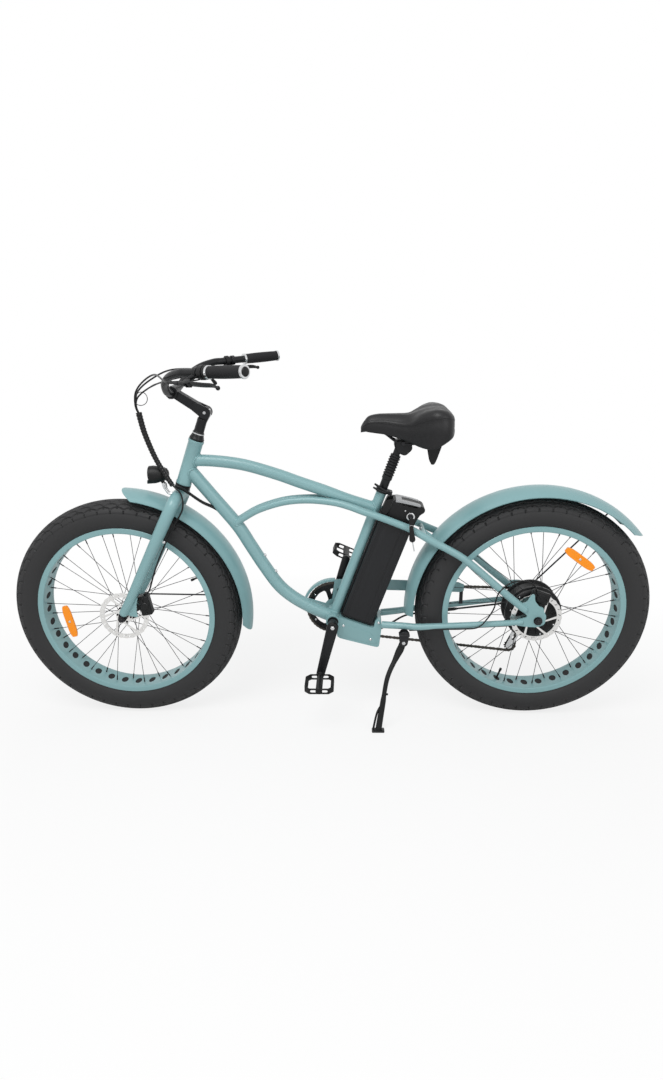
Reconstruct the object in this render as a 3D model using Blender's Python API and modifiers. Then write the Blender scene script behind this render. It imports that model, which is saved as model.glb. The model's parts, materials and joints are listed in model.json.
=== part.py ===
"""An electric beach cruiser with fat tyres, leaning on its kickstand.

Metres. The bicycle is drawn upright, X forward, Y to its left and Z up, with the ground at Z = 0 and the
middle of the wheelbase at X = 0. Everything hangs from one empty, which leans the bicycle onto its stand
and puts the middle of the underside of its bounding box at the world's origin.
"""

import math

import bmesh
import bpy
from mathutils import Matrix, Vector

# Driving dimensions
LEAN = math.radians(8)
WHEELBASE = 1.310
TYRE_RADIUS = 0.3725
TYRE_SECTION = 0.0515
FLANGE_RADIUS = 0.289
RIM_HALF_WIDTH = 0.041
SPOKES = 36
SPOKE_RADIUS = 0.0009
FENDER_RADIUS = 0.0865
FENDER_HALF_ANGLE = math.radians(43)
FENDER_SHEET = 0.0014
WHEEL_STEPS = 32
GAP = 0.0003

FRONT_AXLE = Vector((WHEELBASE / 2, 0, TYRE_RADIUS))
REAR_AXLE = Vector((-WHEELBASE / 2, 0, TYRE_RADIUS))
HEAD_TOP = Vector((0.3926, 0, 0.9217))
HEAD_BOTTOM = Vector((0.4406, 0, 0.7939))
HEAD_RADIUS = 0.0225
STEERER_RADIUS = 0.0143
BOTTOM_BRACKET = Vector((-0.017, 0, 0.345))
SHELL_RADIUS = 0.0225
SHELL_HALF_WIDTH = 0.046
SEAT_TOP = Vector((-0.171, 0, 0.763))
SEAT_TUBE_RADIUS = 0.016
POST_RADIUS = 0.0136
TOP_TUBE_RADIUS = 0.018
DOWN_TUBE_RADIUS = 0.0205
STAY_RADIUS = 0.0115
DROPOUT_Y = 0.0925

CRANK_LENGTH = 0.172
CRANK_ANGLE = math.radians(14)
SPINDLE_RADIUS = 0.0085
CRANK_ARM_Y = 0.0860
PEDAL_Y = 0.1480
CHAIN_Y = -0.069
CHAIN_HALF_HEIGHT = 0.0042
CHAIN_HALF_WIDTH = 0.0034
CHAIN_PITCH = 0.0127
CHAINRING_TEETH = 44
SPROCKETS = (28, 24, 22, 20, 18, 16, 14)
CHAIN_SPROCKET = 20
SPROCKET_PITCH = 0.0050
GUARD_Y = -0.0620
GUIDE_PULLEY = Vector((-0.648, CHAIN_Y, 0.286))
TENSION_PULLEY = Vector((-0.612, CHAIN_Y, 0.205))
PULLEY_RADIUS = 0.0205

MOTOR_RADIUS = 0.0825
ROTOR_RADIUS = 0.080
FRONT_ROTOR_Y = 0.060
REAR_ROTOR_Y = 0.072

BAR_RADIUS = 0.0111
BAR_CLAMP = Vector((0.4484, 0, 1.0721))
STEM_PIVOT = Vector((0.3560, 0, 1.0120))
GRIP_INNER = Vector((0.279, 0.281, 1.148))
GRIP_OUTER = Vector((0.174, 0.353, 1.154))
GRIP_RADIUS = 0.0165

# The same directions for every piece that follows them
UP = Vector((0, 0, 1))
LEFT = Vector((0, 1, 0))
STEERING = (HEAD_TOP - HEAD_BOTTOM).normalized()
SEATING = (SEAT_TOP - BOTTOM_BRACKET).normalized()
SEAT_BACK = Vector((-SEATING.z, 0, SEATING.x))
GRIP = (GRIP_OUTER - GRIP_INNER).normalized()

# Colours, roughness and metallic value of each finish
FINISHES = {
    "paint": ((0.23, 0.40, 0.41), 0.42, 0.0),
    "black": ((0.018, 0.018, 0.019), 0.45, 0.0),
    "rubber": ((0.030, 0.030, 0.031), 0.85, 0.0),
    "tyre": ((0.036, 0.036, 0.037), 0.90, 0.0),
    "steel": ((0.62, 0.62, 0.63), 0.28, 1.0),
    "dark_steel": ((0.05, 0.05, 0.055), 0.40, 0.9),
    "reflector": ((1.0, 0.30, 0.01), 0.25, 0.0),
    "vinyl": ((0.030, 0.030, 0.032), 0.55, 0.0),
}

for thing in list(bpy.data.objects):
    bpy.data.objects.remove(thing)

PARTS = bpy.data.collections.new("electric_beach_cruiser")
CUTTERS = bpy.data.collections.new("cutters")
for group in (PARTS, CUTTERS):
    bpy.context.scene.collection.children.link(group)
ROOT = bpy.data.objects.new("bicycle", None)
PARTS.objects.link(ROOT)


# Helpers that put shapes in place


def finish(name):
    """The material of that finish, made once."""
    material = bpy.data.materials.get(name)
    if material is None:
        colour, roughness, metallic = FINISHES[name]
        material = bpy.data.materials.new(name)
        material.use_nodes = True
        shader = material.node_tree.nodes["Principled BSDF"]
        shader.inputs["Base Color"].default_value = (*colour, 1)
        shader.inputs["Roughness"].default_value = roughness
        shader.inputs["Metallic"].default_value = metallic
    return material


def place(name, data, look, origin=(0, 0, 0), turn=None):
    """An object of the bicycle with its origin at that point."""
    thing = bpy.data.objects.new(name, data)
    PARTS.objects.link(thing)
    thing.parent = ROOT
    thing.location = origin
    if turn is not None:
        thing.rotation_mode = "QUATERNION"
        thing.rotation_quaternion = turn
    data.materials.append(finish(look))
    return thing


def mirrored(point):
    return Vector((point[0], -point[1], point[2]))


def sided(point, side):
    """The point, or its twin on the right where side is -1."""
    return Vector((point[0], point[1] * side, point[2]))


def smooth(points, steps=3):
    """A smooth curve through the points, with that many steps a span."""
    points = [Vector(p) for p in points]
    ends = [2 * points[0] - points[1]] + points + [2 * points[-1] - points[-2]]
    found = []
    for a, b, c, d in zip(ends, ends[1:], ends[2:], ends[3:]):
        for step in range(steps):
            t = step / steps
            bend = 2 * a - 5 * b + 4 * c - d
            twist = 3 * b - a - 3 * c + d
            found.append(0.5 * (2 * b + (c - a) * t + bend * t**2 + twist * t**3))
    return found + [points[-1]]


def tube(name, points, radius, look, origin=(0, 0, 0), end_radius=None, resolution=3, closed=False):
    """A round tube through the points, tapering evenly to end_radius."""
    curve = bpy.data.curves.new(name, "CURVE")
    curve.dimensions = "3D"
    curve.fill_mode = "FULL"
    curve.bevel_depth = radius
    curve.bevel_resolution = resolution
    curve.use_fill_caps = not closed
    line = curve.splines.new("POLY")
    line.points.add(len(points) - 1)
    line.use_cyclic_u = closed
    taper = (end_radius or radius) / radius
    for number, (spot, point) in enumerate(zip(line.points, points)):
        spot.co = (*(Vector(point) - Vector(origin)), 1)
        spot.radius = 1 + (taper - 1) * number / (len(points) - 1)
    return place(name, curve, look, origin)


def meshed(thing):
    """The object of a curve as a mesh object of the same name, place and finish, with its caps welded."""
    bpy.context.view_layer.update()
    graph = bpy.context.evaluated_depsgraph_get()
    mesh = bpy.data.meshes.new_from_object(thing.evaluated_get(graph))
    whole = bmesh.new()
    whole.from_mesh(mesh)
    bmesh.ops.remove_doubles(whole, verts=whole.verts, dist=0.00001)
    whole.to_mesh(mesh)
    whole.free()
    name = thing.name
    origin = thing.location.copy()
    turn = thing.rotation_quaternion.copy() if thing.rotation_mode == "QUATERNION" else None
    bpy.data.objects.remove(thing)
    solid = bpy.data.objects.new(name, mesh)
    PARTS.objects.link(solid)
    solid.parent = ROOT
    solid.location = origin
    if turn is not None:
        solid.rotation_mode = "QUATERNION"
        solid.rotation_quaternion = turn
    return solid


def rod(name, start, end, radius, look="black", end_radius=None, sides=10, origin=None):
    """A straight round bar, or a cone, between two points."""
    start = Vector(start)
    end = Vector(end)
    origin = start if origin is None else Vector(origin)
    mesh = bpy.data.meshes.new(name)
    shape = bmesh.new()
    turn = UP.rotation_difference(end - start).to_matrix().to_4x4()
    bmesh.ops.create_cone(
        shape,
        cap_ends=True,
        segments=sides,
        radius1=radius,
        radius2=radius if end_radius is None else end_radius,
        depth=(end - start).length,
        matrix=Matrix.Translation((start + end) / 2 - origin) @ turn,
    )
    shape.to_mesh(mesh)
    shape.free()
    return place(name, mesh, look, origin)


def block(name, centre, size, look="black", turn=None, bevel=0.0, origin=None):
    """A box of that size, turned about its centre, with rounded edges."""
    mesh = bpy.data.meshes.new(name)
    shape = bmesh.new()
    origin = Vector(centre) if origin is None else Vector(origin)
    spin = Matrix.Identity(4) if turn is None else turn.to_matrix().to_4x4()
    scale = Matrix.Diagonal((*size, 1))
    bmesh.ops.create_cube(shape, matrix=Matrix.Translation(Vector(centre) - origin) @ spin @ scale)
    shape.to_mesh(mesh)
    shape.free()
    thing = place(name, mesh, look, origin)
    if bevel:
        rounding = thing.modifiers.new("rounding", "BEVEL")
        rounding.width = bevel
        rounding.segments = 1
        rounding.limit_method = "ANGLE"
    return thing


def turned(name, profile, centre, axis, look, steps=24):
    """A solid of revolution. The closed profile holds (radius, height) pairs, outer side first, top down."""
    mesh = bpy.data.meshes.new(name)
    edges = [(i, (i + 1) % len(profile)) for i in range(len(profile))]
    mesh.from_pydata([(radius, 0, height) for radius, height in profile], edges, [])
    thing = place(name, mesh, look, centre, UP.rotation_difference(axis))
    screw = thing.modifiers.new("turning", "SCREW")
    screw.steps = steps
    screw.render_steps = steps
    screw.use_merge_vertices = True
    screw.merge_threshold = 0.00001
    return thing


def ring(name, outer, inner, low, high, centre, axis, look, steps=16):
    """A plain ring between two heights on its axis."""
    profile = [(outer, high), (outer, low), (inner, low), (inner, high)]
    return turned(name, profile, centre, axis, look, steps)


def flat(name, outlines, thickness, look, origin, turn):
    """A flat piece from an outline of points and the outlines of its holes, as thick on both sides."""
    curve = bpy.data.curves.new(name, "CURVE")
    curve.dimensions = "2D"
    curve.fill_mode = "BOTH"
    curve.extrude = thickness / 2
    for outline in outlines:
        line = curve.splines.new("POLY")
        line.points.add(len(outline) - 1)
        line.use_cyclic_u = True
        for spot, (across, up) in zip(line.points, outline):
            spot.co = (across, up, 0, 1)
    return place(name, curve, look, origin, turn)


def plate(name, outlines, y, thickness, look, origin=(0, 0, 0)):
    """A flat piece in the plane of the bicycle: a first outline of (x, z) points, then its holes."""
    moved = [[(x - origin[0], z - origin[2]) for x, z in outline] for outline in outlines]
    turn = Matrix.Rotation(math.pi / 2, 3, "X").to_quaternion()
    return flat(name, moved, thickness, look, (origin[0], y, origin[2]), turn)


def circle(centre, radius, count=24, start=0.0):
    """Points of a circle in the plane of the bicycle."""
    angles = [start + 2 * math.pi * i / count for i in range(count)]
    return [(centre[0] + radius * math.cos(a), centre[2] + radius * math.sin(a)) for a in angles]


def radial(axle, distance, degrees, y=0.0):
    """A point by its distance from an axle and its angle in the bicycle's plane."""
    angle = math.radians(degrees)
    return axle + Vector((distance * math.cos(angle), y, distance * math.sin(angle)))


def arm_outline(start, start_radius, end, end_radius, count=5):
    """The outline of a flat arm with round ends."""
    heading = math.atan2(end[2] - start[2], end[0] - start[0])
    outline = []
    for centre, radius, first in ((end, end_radius, -0.5), (start, start_radius, 0.5)):
        for i in range(count):
            angle = heading + math.pi * (first + i / (count - 1))
            outline.append((centre[0] + radius * math.cos(angle), centre[2] + radius * math.sin(angle)))
    return outline


def hidden(thing):
    """Moves an object to the cutters, out of the bicycle."""
    PARTS.objects.unlink(thing)
    CUTTERS.objects.link(thing)
    thing.hide_render = True
    thing.display_type = "WIRE"
    return thing


def combine(solid, others, operation):
    for other in others:
        if other.type == "CURVE":
            other = meshed(other)
        hidden(other)
        change = solid.modifiers.new(other.name, "BOOLEAN")
        change.operation = operation
        change.solver = "EXACT"
        change.object = other
    return solid


def fuse(solid, *others):
    """The solid with the others welded on."""
    return combine(solid, others, "UNION")


def carve(solid, *others):
    """The solid with the others cut out of it."""
    return combine(solid, others, "DIFFERENCE")


# Frame

DOWN_TUBE_PATH = [
    (0.422, 0, 0.842),
    (0.351, 0, 0.750),
    (0.281, 0, 0.659),
    (0.242, 0, 0.592),
    (0.203, 0, 0.524),
    (0.160, 0, 0.458),
    (0.118, 0, 0.417),
    (0.064, 0, 0.382),
    (0.012, 0, 0.356),
    (-0.014, 0, 0.346),
]
TOP_TUBE_PATH = [
    (0.412, 0, 0.867),
    (0.338, 0, 0.864),
    (0.249, 0, 0.851),
    (0.152, 0, 0.822),
    (0.079, 0, 0.795),
    (0.006, 0, 0.769),
    (-0.068, 0, 0.740),
    (-0.156, 0, 0.711),
]
ARCH_PATH = [
    (0.288, 0.0108, 0.664),
    (0.260, 0.0112, 0.684),
    (0.207, 0.0122, 0.713),
    (0.131, 0.0128, 0.736),
    (0.056, 0.0145, 0.7425),
    (-0.019, 0.0225, 0.7375),
    (-0.068, 0.0315, 0.7272),
    (-0.117, 0.0410, 0.711),
    (-0.166, 0.0490, 0.696),
    (-0.214, 0.0525, 0.678),
    (-0.262, 0.0560, 0.658),
    (-0.326, 0.0745, 0.625),
    (-0.380, 0.0825, 0.598),
    (-0.4335, 0.0860, 0.563),
    (-0.545, 0.0905, 0.466),
    (-0.612, 0.0920, 0.410),
]
CHAINSTAY_PATH = [
    (-0.1750, 0.0470, 0.336),
    (-0.240, 0.0600, 0.338),
    (-0.285, 0.0715, 0.340),
    (-0.360, 0.0765, 0.345),
    (-0.450, 0.0840, 0.353),
    (-0.560, 0.0910, 0.363),
    (-0.605, 0.0922, 0.367),
]
DROPOUT_OUTLINE = [
    (-0.582, 0.358),
    (-0.620, 0.352),
    (-0.655, 0.350),
    (-0.677, 0.360),
    (-0.680, 0.388),
    (-0.673, 0.400),
    (-0.668, 0.417),
    (-0.657, 0.419),
    (-0.641, 0.439),
    (-0.639, 0.462),
    (-0.628, 0.457),
    (-0.617, 0.434),
    (-0.598, 0.430),
    (-0.598, 0.408),
    (-0.621, 0.391),
    (-0.619, 0.383),
    (-0.590, 0.376),
]
DROPOUT_RIGHT_OUTLINE = DROPOUT_OUTLINE[:8] + [(-0.641, 0.434)] + DROPOUT_OUTLINE[11:]
DROPOUT_THICKNESS = 0.006
HEAD_LENGTH = (HEAD_TOP - HEAD_BOTTOM).length
CROSS_TUBE = Vector((-0.1485, 0, 0.7015))
CROSS_RADIUS = 0.008
BOSS_SPOTS = (Vector((0.1955, 0, 0.5600)), Vector((0.1630, 0, 0.5055)))
BOSS_OUT = Vector((-0.8590, 0, 0.5120)).normalized()
BOSS_RADIUS = 0.0055


def head_tool(name):
    """What the head tube takes out of the tubes that meet it."""
    return rod(name, HEAD_BOTTOM - STEERING * 0.02, HEAD_TOP + STEERING * 0.02, HEAD_RADIUS + GAP, sides=24)


def build_head_tube():
    """The head tube with its reinforced ends and the headset's upper cup."""
    half = HEAD_LENGTH / 2
    lip = HEAD_RADIUS + 0.0015
    profile = [
        (HEAD_RADIUS, half + 0.008),
        (HEAD_RADIUS, half + 0.001),
        (lip, half),
        (lip, half - 0.010),
        (HEAD_RADIUS, half - 0.014),
        (HEAD_RADIUS, 0.014 - half),
        (lip, 0.010 - half),
        (lip, -half),
        (0.0185, -half),
        (0.0185, half + 0.008),
    ]
    turned("head_tube", profile, (HEAD_TOP + HEAD_BOTTOM) / 2, STEERING, "paint", 12)


def shell_tool(name):
    """What the bottom bracket's shell takes out of its neighbours."""
    reach = LEFT * 0.06
    return rod(name, BOTTOM_BRACKET - reach, BOTTOM_BRACKET + reach, SHELL_RADIUS + 2 * GAP, sides=20)


def seat_tube_tool(name):
    return rod(name, BOTTOM_BRACKET, SEAT_TOP + SEATING * 0.05, SEAT_TUBE_RADIUS + 2 * GAP, sides=16)


def down_tube_tool(name):
    return tube(name, DOWN_TUBE_PATH, DOWN_TUBE_RADIUS + GAP, "paint")


def build_top_tube():
    solid = meshed(tube("top_tube", TOP_TUBE_PATH, TOP_TUBE_RADIUS, "paint"))
    reach = LEFT * 0.05
    cross_tool = rod("cross_room", CROSS_TUBE - reach, CROSS_TUBE + reach, CROSS_RADIUS + 2 * GAP)
    carve(solid, head_tool("head_room_top"), seat_tube_tool("seat_room_top"), cross_tool)


def build_down_tube():
    solid = meshed(tube("down_tube", DOWN_TUBE_PATH, DOWN_TUBE_RADIUS, "paint"))
    for number, spot in enumerate(BOSS_SPOTS):
        fuse(solid, rod(f"cage_boss_{number}", spot - BOSS_OUT * 0.022, spot, BOSS_RADIUS, sides=12))
    top_tool = tube("top_room_down", TOP_TUBE_PATH, TOP_TUBE_RADIUS + GAP, "paint")
    tools = (head_tool("head_room_down"), shell_tool("shell_room_down"), seat_tube_tool("seat_room_down"))
    carve(solid, *tools, top_tool)


def build_seat_tube():
    """The seat tube with the bottom bracket's shell and the cross tube that carries the arch's tubes."""
    top = SEAT_TOP + SEATING * 0.012
    solid = rod("seat_tube", BOTTOM_BRACKET, top, SEAT_TUBE_RADIUS, "paint", sides=12)
    half_shell = LEFT * SHELL_HALF_WIDTH
    shell = rod("shell", BOTTOM_BRACKET - half_shell, BOTTOM_BRACKET + half_shell, SHELL_RADIUS, sides=16)
    cross = rod("cross", CROSS_TUBE - LEFT * 0.0455, CROSS_TUBE + LEFT * 0.0455, CROSS_RADIUS)
    post_bore = rod("post_bore", top - SEATING * 0.30, top + SEATING * 0.01, POST_RADIUS + 3 * GAP, sides=12)
    spindle_bore = rod(
        "spindle_bore",
        BOTTOM_BRACKET - half_shell * 1.1,
        BOTTOM_BRACKET + half_shell * 1.1,
        SPINDLE_RADIUS + GAP,
        sides=12,
    )
    fuse(solid, shell, cross)
    carve(solid, post_bore, spindle_bore)
    for side in (1, -1):
        path = [sided(p, side) for p in ARCH_PATH]
        carve(solid, tube(f"stay_room_{side}", path, STAY_RADIUS + GAP, "paint", resolution=2))


def build_arch_stay(side, name):
    """One tube of the arch that leaves the down tube, passes the seat tube and becomes the seat stay."""
    path = [sided(p, side) for p in ARCH_PATH]
    solid = meshed(tube(name, path, STAY_RADIUS - 0.0008, "paint", end_radius=STAY_RADIUS, resolution=2))
    down_tool = down_tube_tool(f"{name}_down_room")
    slot = block(
        f"{name}_slot",
        (-0.622, side * DROPOUT_Y, 0.400),
        (0.10, DROPOUT_THICKNESS + 2 * GAP, 0.09),
    )
    carve(solid, down_tool, slot)


def build_chainstay(side, name, outline):
    path = [sided(p, side) for p in CHAINSTAY_PATH]
    solid = meshed(tube(name, path, STAY_RADIUS, "paint", end_radius=0.0085))
    dropout = plate(f"{name}_dropout", [outline], side * DROPOUT_Y, DROPOUT_THICKNESS, "paint")
    hole_start = REAR_AXLE + LEFT * side * 0.08
    axle_hole = rod(f"{name}_axle_hole", hole_start, hole_start + LEFT * side * 0.03, 0.0068)
    fuse(solid, dropout)
    if side < 0:
        hanger = arm_outline((-0.663, 0, 0.362), 0.013, (-0.668, 0, 0.330), 0.009)
        fuse(solid, plate("hanger", [hanger], -DROPOUT_Y, 0.005, "paint"))
    carve(solid, axle_hole)


def build_stay_bridge():
    """The bar between the seat stays, with the bolt that holds the rear fender."""
    middle = radial(REAR_AXLE, 0.4442, 36.95)
    reach = LEFT * 0.0522
    solid = rod("stay_bridge", middle - reach, middle + reach, 0.0075, "paint")
    sheet = TYRE_RADIUS - TYRE_SECTION + FENDER_RADIUS + FENDER_SHEET / 2
    fuse(solid, rod("bridge_bolt", middle, radial(REAR_AXLE, sheet + 2 * GAP, 36.95), 0.0055, sides=8))


def build_controller_case():
    """The flat box behind the bottom bracket that holds the motor's controller."""
    outline = [
        (-0.030, 0.362),
        (-0.1480, 0.3190),
        (-0.1525, 0.344),
        (-0.160, 0.352),
        (-0.1700, 0.350),
        (-0.1735, 0.338),
        (-0.1735, 0.322),
        (-0.166, 0.256),
        (-0.158, 0.252),
        (-0.040, 0.284),
        (-0.029, 0.292),
    ]
    solid = meshed(plate("controller_case", [outline], 0, 0.084, "paint"))
    carve(solid, shell_tool("shell_room_case"), seat_tube_tool("seat_room_case"))


def along_seat(height, back, y=0.0):
    """A point by its height along the seat tube's line and its distance behind it."""
    return BOTTOM_BRACKET + SEATING * height + SEAT_BACK * back + LEFT * y


SEAT_TURN = Matrix((SEAT_BACK, LEFT, SEAT_BACK.cross(LEFT))).transposed().to_quaternion()
CLAMP_EARS = SEAT_TOP + SEAT_BACK * 0.0245 + SEATING * 0.0085


def build_battery_dock():
    """The rail on the seat tube and the base that the battery slides down onto."""
    solid = block("battery_dock", along_seat(0.208, 0.0182), (0.0032, 0.040, 0.356), "black", SEAT_TURN)
    base = block("dock_base", along_seat(0.0292, 0.0700), (0.107, 0.070, 0.0048), "black", SEAT_TURN)
    fuse(solid, base)


def build_seat_clamp():
    """The split collar round the top of the seat tube, with the ears that the lever draws together."""
    solid = ring("seat_clamp", 0.0200, 0.0168, 0.0, 0.014, SEAT_TOP, SEATING, "black")
    fuse(solid, block("clamp_ears", CLAMP_EARS, (0.0130, 0.020, 0.012), "black", SEAT_TURN))


def build_frame():
    build_head_tube()
    build_top_tube()
    build_down_tube()
    build_seat_tube()
    build_arch_stay(1, "arch_stay_left")
    build_arch_stay(-1, "arch_stay_right")
    build_chainstay(1, "chainstay_left", DROPOUT_OUTLINE)
    build_chainstay(-1, "chainstay_right", DROPOUT_RIGHT_OUTLINE)
    build_stay_bridge()
    build_controller_case()
    build_battery_dock()
    build_seat_clamp()


# Fenders


def build_fender(name, axle, start, end, start_cut, end_cut):
    """A curved sheet round a tyre, from one angle to the other, its corners cut back by these angles."""
    across = 6
    along = 14
    mesh = bpy.data.meshes.new(name)
    points = []
    for i in range(across + 1):
        share = 2 * i / across - 1
        angle = share * FENDER_HALF_ANGLE
        radius = TYRE_RADIUS - TYRE_SECTION + FENDER_RADIUS * math.cos(angle)
        y = FENDER_RADIUS * math.sin(angle)
        first = math.radians(start + start_cut * share**4)
        last = math.radians(end - end_cut * share**4)
        for j in range(along + 1):
            turn = first + (last - first) * j / along
            points.append((radius * math.cos(turn), y, radius * math.sin(turn)))
    width = along + 1
    faces = [
        (i * width + j, i * width + j + 1, (i + 1) * width + j + 1, (i + 1) * width + j)
        for i in range(across)
        for j in range(along)
    ]
    mesh.from_pydata(points, [], faces)
    thing = place(name, mesh, "paint", axle)
    sheet = thing.modifiers.new("sheet", "SOLIDIFY")
    sheet.thickness = FENDER_SHEET
    sheet.offset = 0
    return thing


def fender_edge(axle, degrees, side):
    """A point on a fender's edge."""
    distance = TYRE_RADIUS - TYRE_SECTION + FENDER_RADIUS * math.cos(FENDER_HALF_ANGLE)
    return radial(axle, distance, degrees, side * FENDER_RADIUS * math.sin(FENDER_HALF_ANGLE))


def build_fenders():
    """Both sheets, each with the stay rod on the right, and the bolt that hangs the front one."""
    front = build_fender("front_fender", FRONT_AXLE, 92, 190, 6, 5)
    rear = build_fender("rear_fender", REAR_AXLE, -1.5, 142, 1, 6)
    for solid, start, end in (
        (front, Vector((0.628, -0.0850, 0.388)), fender_edge(FRONT_AXLE, 177, -1)),
        (rear, Vector((-0.668, -0.0992, 0.402)), fender_edge(REAR_AXLE, 128, -1)),
    ):
        past = end + (end - start).normalized() * 0.003
        fuse(solid, rod(f"{solid.name}_stay", start, past, 0.0028, sides=6))
    middle = TYRE_RADIUS - TYRE_SECTION + FENDER_RADIUS
    bolt_low = radial(FRONT_AXLE, middle, CROWN_ANGLE)
    bolt_high = radial(FRONT_AXLE, middle + 0.0110, CROWN_ANGLE)
    fuse(front, rod("crown_bolt", bolt_low, bolt_high, 0.0060, sides=8))


# Fork and steering

BLADE_PATH = [
    (0.4526, 0.0, 0.7621),
    (0.4535, 0.0320, 0.7615),
    (0.4580, 0.0600, 0.7530),
    (0.4690, 0.0775, 0.7300),
    (0.5080, 0.0825, 0.6550),
    (0.5640, 0.0825, 0.5470),
    (0.6180, 0.0820, 0.4430),
    (0.6470, 0.0800, 0.3930),
]
BLADE_RADIUS = 0.0198
BLADE_END_RADIUS = 0.0145
FORK_END_Y = 0.0780
CROWN_ANGLE = 117.45
LAMP_PIVOT = Vector((0.5010, 0, 0.7920))
LAMP_CENTRE = Vector((0.5140, 0, 0.8240))


def build_fork():
    """Steerer, unicrown blades, fork ends, axle and the lamp's bracket."""
    crown = HEAD_BOTTOM - STEERING * 0.034
    top = HEAD_TOP + STEERING * 0.0095
    solid = rod("fork", crown, top, STEERER_RADIUS, "paint", sides=12, origin=HEAD_BOTTOM)
    seat = HEAD_BOTTOM - STEERING * GAP
    fuse(solid, rod("crown_race", seat - STEERING * 0.016, seat, HEAD_RADIUS, sides=14))
    for side in (1, -1):
        path = [sided(p, side) for p in BLADE_PATH]
        blade = tube(f"blade_{side}", path, BLADE_RADIUS, "paint", (0, 0, 0), BLADE_END_RADIUS, 2)
        tip = arm_outline((0.6440, 0, 0.4020), 0.0125, FRONT_AXLE, 0.0130)
        end = plate(f"fork_end_{side}", [tip], side * FORK_END_Y, 0.006, "black")
        fuse(solid, blade, end)
    tab = [(0.640, 0.425), (0.610, 0.450), (0.597, 0.444), (0.603, 0.425), (0.606, 0.392)]
    tab += [(0.602, 0.377), (0.640, 0.385)]
    fuse(solid, plate("brake_tab", [tab], 0.0802, 0.005, "paint"))
    axle = rod("front_axle", FRONT_AXLE - LEFT * 0.0955, FRONT_AXLE + LEFT * 0.0955, 0.006)
    nuts = []
    for side in (1, -1):
        start = FRONT_AXLE + LEFT * side * (FORK_END_Y + 0.002)
        nuts.append(rod(f"front_nut_{side}", start, start + LEFT * side * 0.011, 0.011, sides=6))
    fuse(solid, axle, *nuts)
    strap = tube(
        "lamp_strap",
        [(0.4620, 0, 0.7640), (0.4860, 0, 0.7640), (0.4940, 0, 0.7720), (0.5000, 0, 0.7840)],
        0.0038,
        "steel",
        resolution=1,
    )
    fuse(solid, strap)
    bore = rod("quill_bore", HEAD_TOP - STEERING * 0.08, HEAD_TOP + STEERING * 0.02, 0.0113, sides=12)
    carve(solid, bore)


def build_stem_riser():
    """The quill, the cone over the headset and the upright that carries the tilting arm."""
    foot = HEAD_TOP + STEERING * 0.0102
    top = STEM_PIVOT - STEERING * 0.0215
    reach = (top - foot).dot(STEERING)
    profile = [
        (0.0140, reach),
        (0.0140, 0.026),
        (0.0170, 0.018),
        (0.0225, 0.004),
        (0.0225, 0.0),
        (0.0108, 0.0),
        (0.0108, -0.060),
        (0.0, -0.060),
        (0.0, reach),
    ]
    solid = turned("stem_riser", profile, foot, STEERING, "black", 12)
    tongue = [arm_outline(STEM_PIVOT - STEERING * 0.0320, 0.0110, STEM_PIVOT, 0.0175)]
    fuse(solid, plate("stem_tongue", tongue, 0, 0.018, "black"))


def build_stem_arm():
    """The arm that tilts at the riser's head and clamps the handlebar."""
    reach = LEFT * 0.022
    solid = rod("stem_arm", BAR_CLAMP - reach, BAR_CLAMP + reach, 0.0185, sides=16, origin=STEM_PIVOT)
    reach = LEFT * 0.0190
    knuckle = rod("stem_knuckle", STEM_PIVOT - reach, STEM_PIVOT + reach, 0.0200, sides=16)
    beam = plate("stem_beam", [arm_outline(STEM_PIVOT, 0.0165, BAR_CLAMP, 0.0135)], 0, 0.034, "black")
    fuse(solid, beam, knuckle)
    reach = LEFT * 0.0094
    tongue_room = rod("tongue_room", STEM_PIVOT - reach, STEM_PIVOT + reach, 0.0260, sides=20)
    reach = LEFT * 0.03
    bar_bore = rod("bar_bore", BAR_CLAMP - reach, BAR_CLAMP + reach, BAR_RADIUS + 2 * GAP, sides=16)
    carve(solid, tongue_room, bar_bore)


# Handlebar and its controls


def on_grip_line(distance, side=1):
    """A point on the straight end of the bar, that far inboard of the grip."""
    return sided(GRIP_INNER - GRIP * distance, side)


def build_handlebar():
    half = [
        (BAR_CLAMP.x, 0.035, BAR_CLAMP.z),
        (0.4465, 0.075, 1.0820),
        (0.4330, 0.132, 1.1080),
        (0.4040, 0.184, 1.1310),
        on_grip_line(0.106),
        on_grip_line(0.074),
    ]
    left = smooth(half, 2) + [on_grip_line(0.0), GRIP_OUTER + GRIP * 0.001]
    path = [mirrored(p) for p in reversed(left)] + left
    tube("handlebar", path, BAR_RADIUS, "black", origin=BAR_CLAMP, resolution=2)


def build_grip(side, name):
    axis = sided(GRIP, side)
    length = (GRIP_OUTER - GRIP_INNER).length
    profile = [
        (GRIP_RADIUS - 0.001, length + 0.006),
        (GRIP_RADIUS + 0.001, length + 0.002),
        (GRIP_RADIUS + 0.001, length - 0.006),
        (GRIP_RADIUS, length - 0.008),
        (GRIP_RADIUS, 0.010),
        (GRIP_RADIUS + 0.001, 0.008),
        (GRIP_RADIUS + 0.001, 0.0),
        (BAR_RADIUS + 3 * GAP, 0.0),
        (BAR_RADIUS + 3 * GAP, length + 0.002),
        (0.0, length + 0.002),
        (0.0, length + 0.006),
    ]
    turned(name, profile, sided(GRIP_INNER, side), axis, "rubber", 10)


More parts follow.
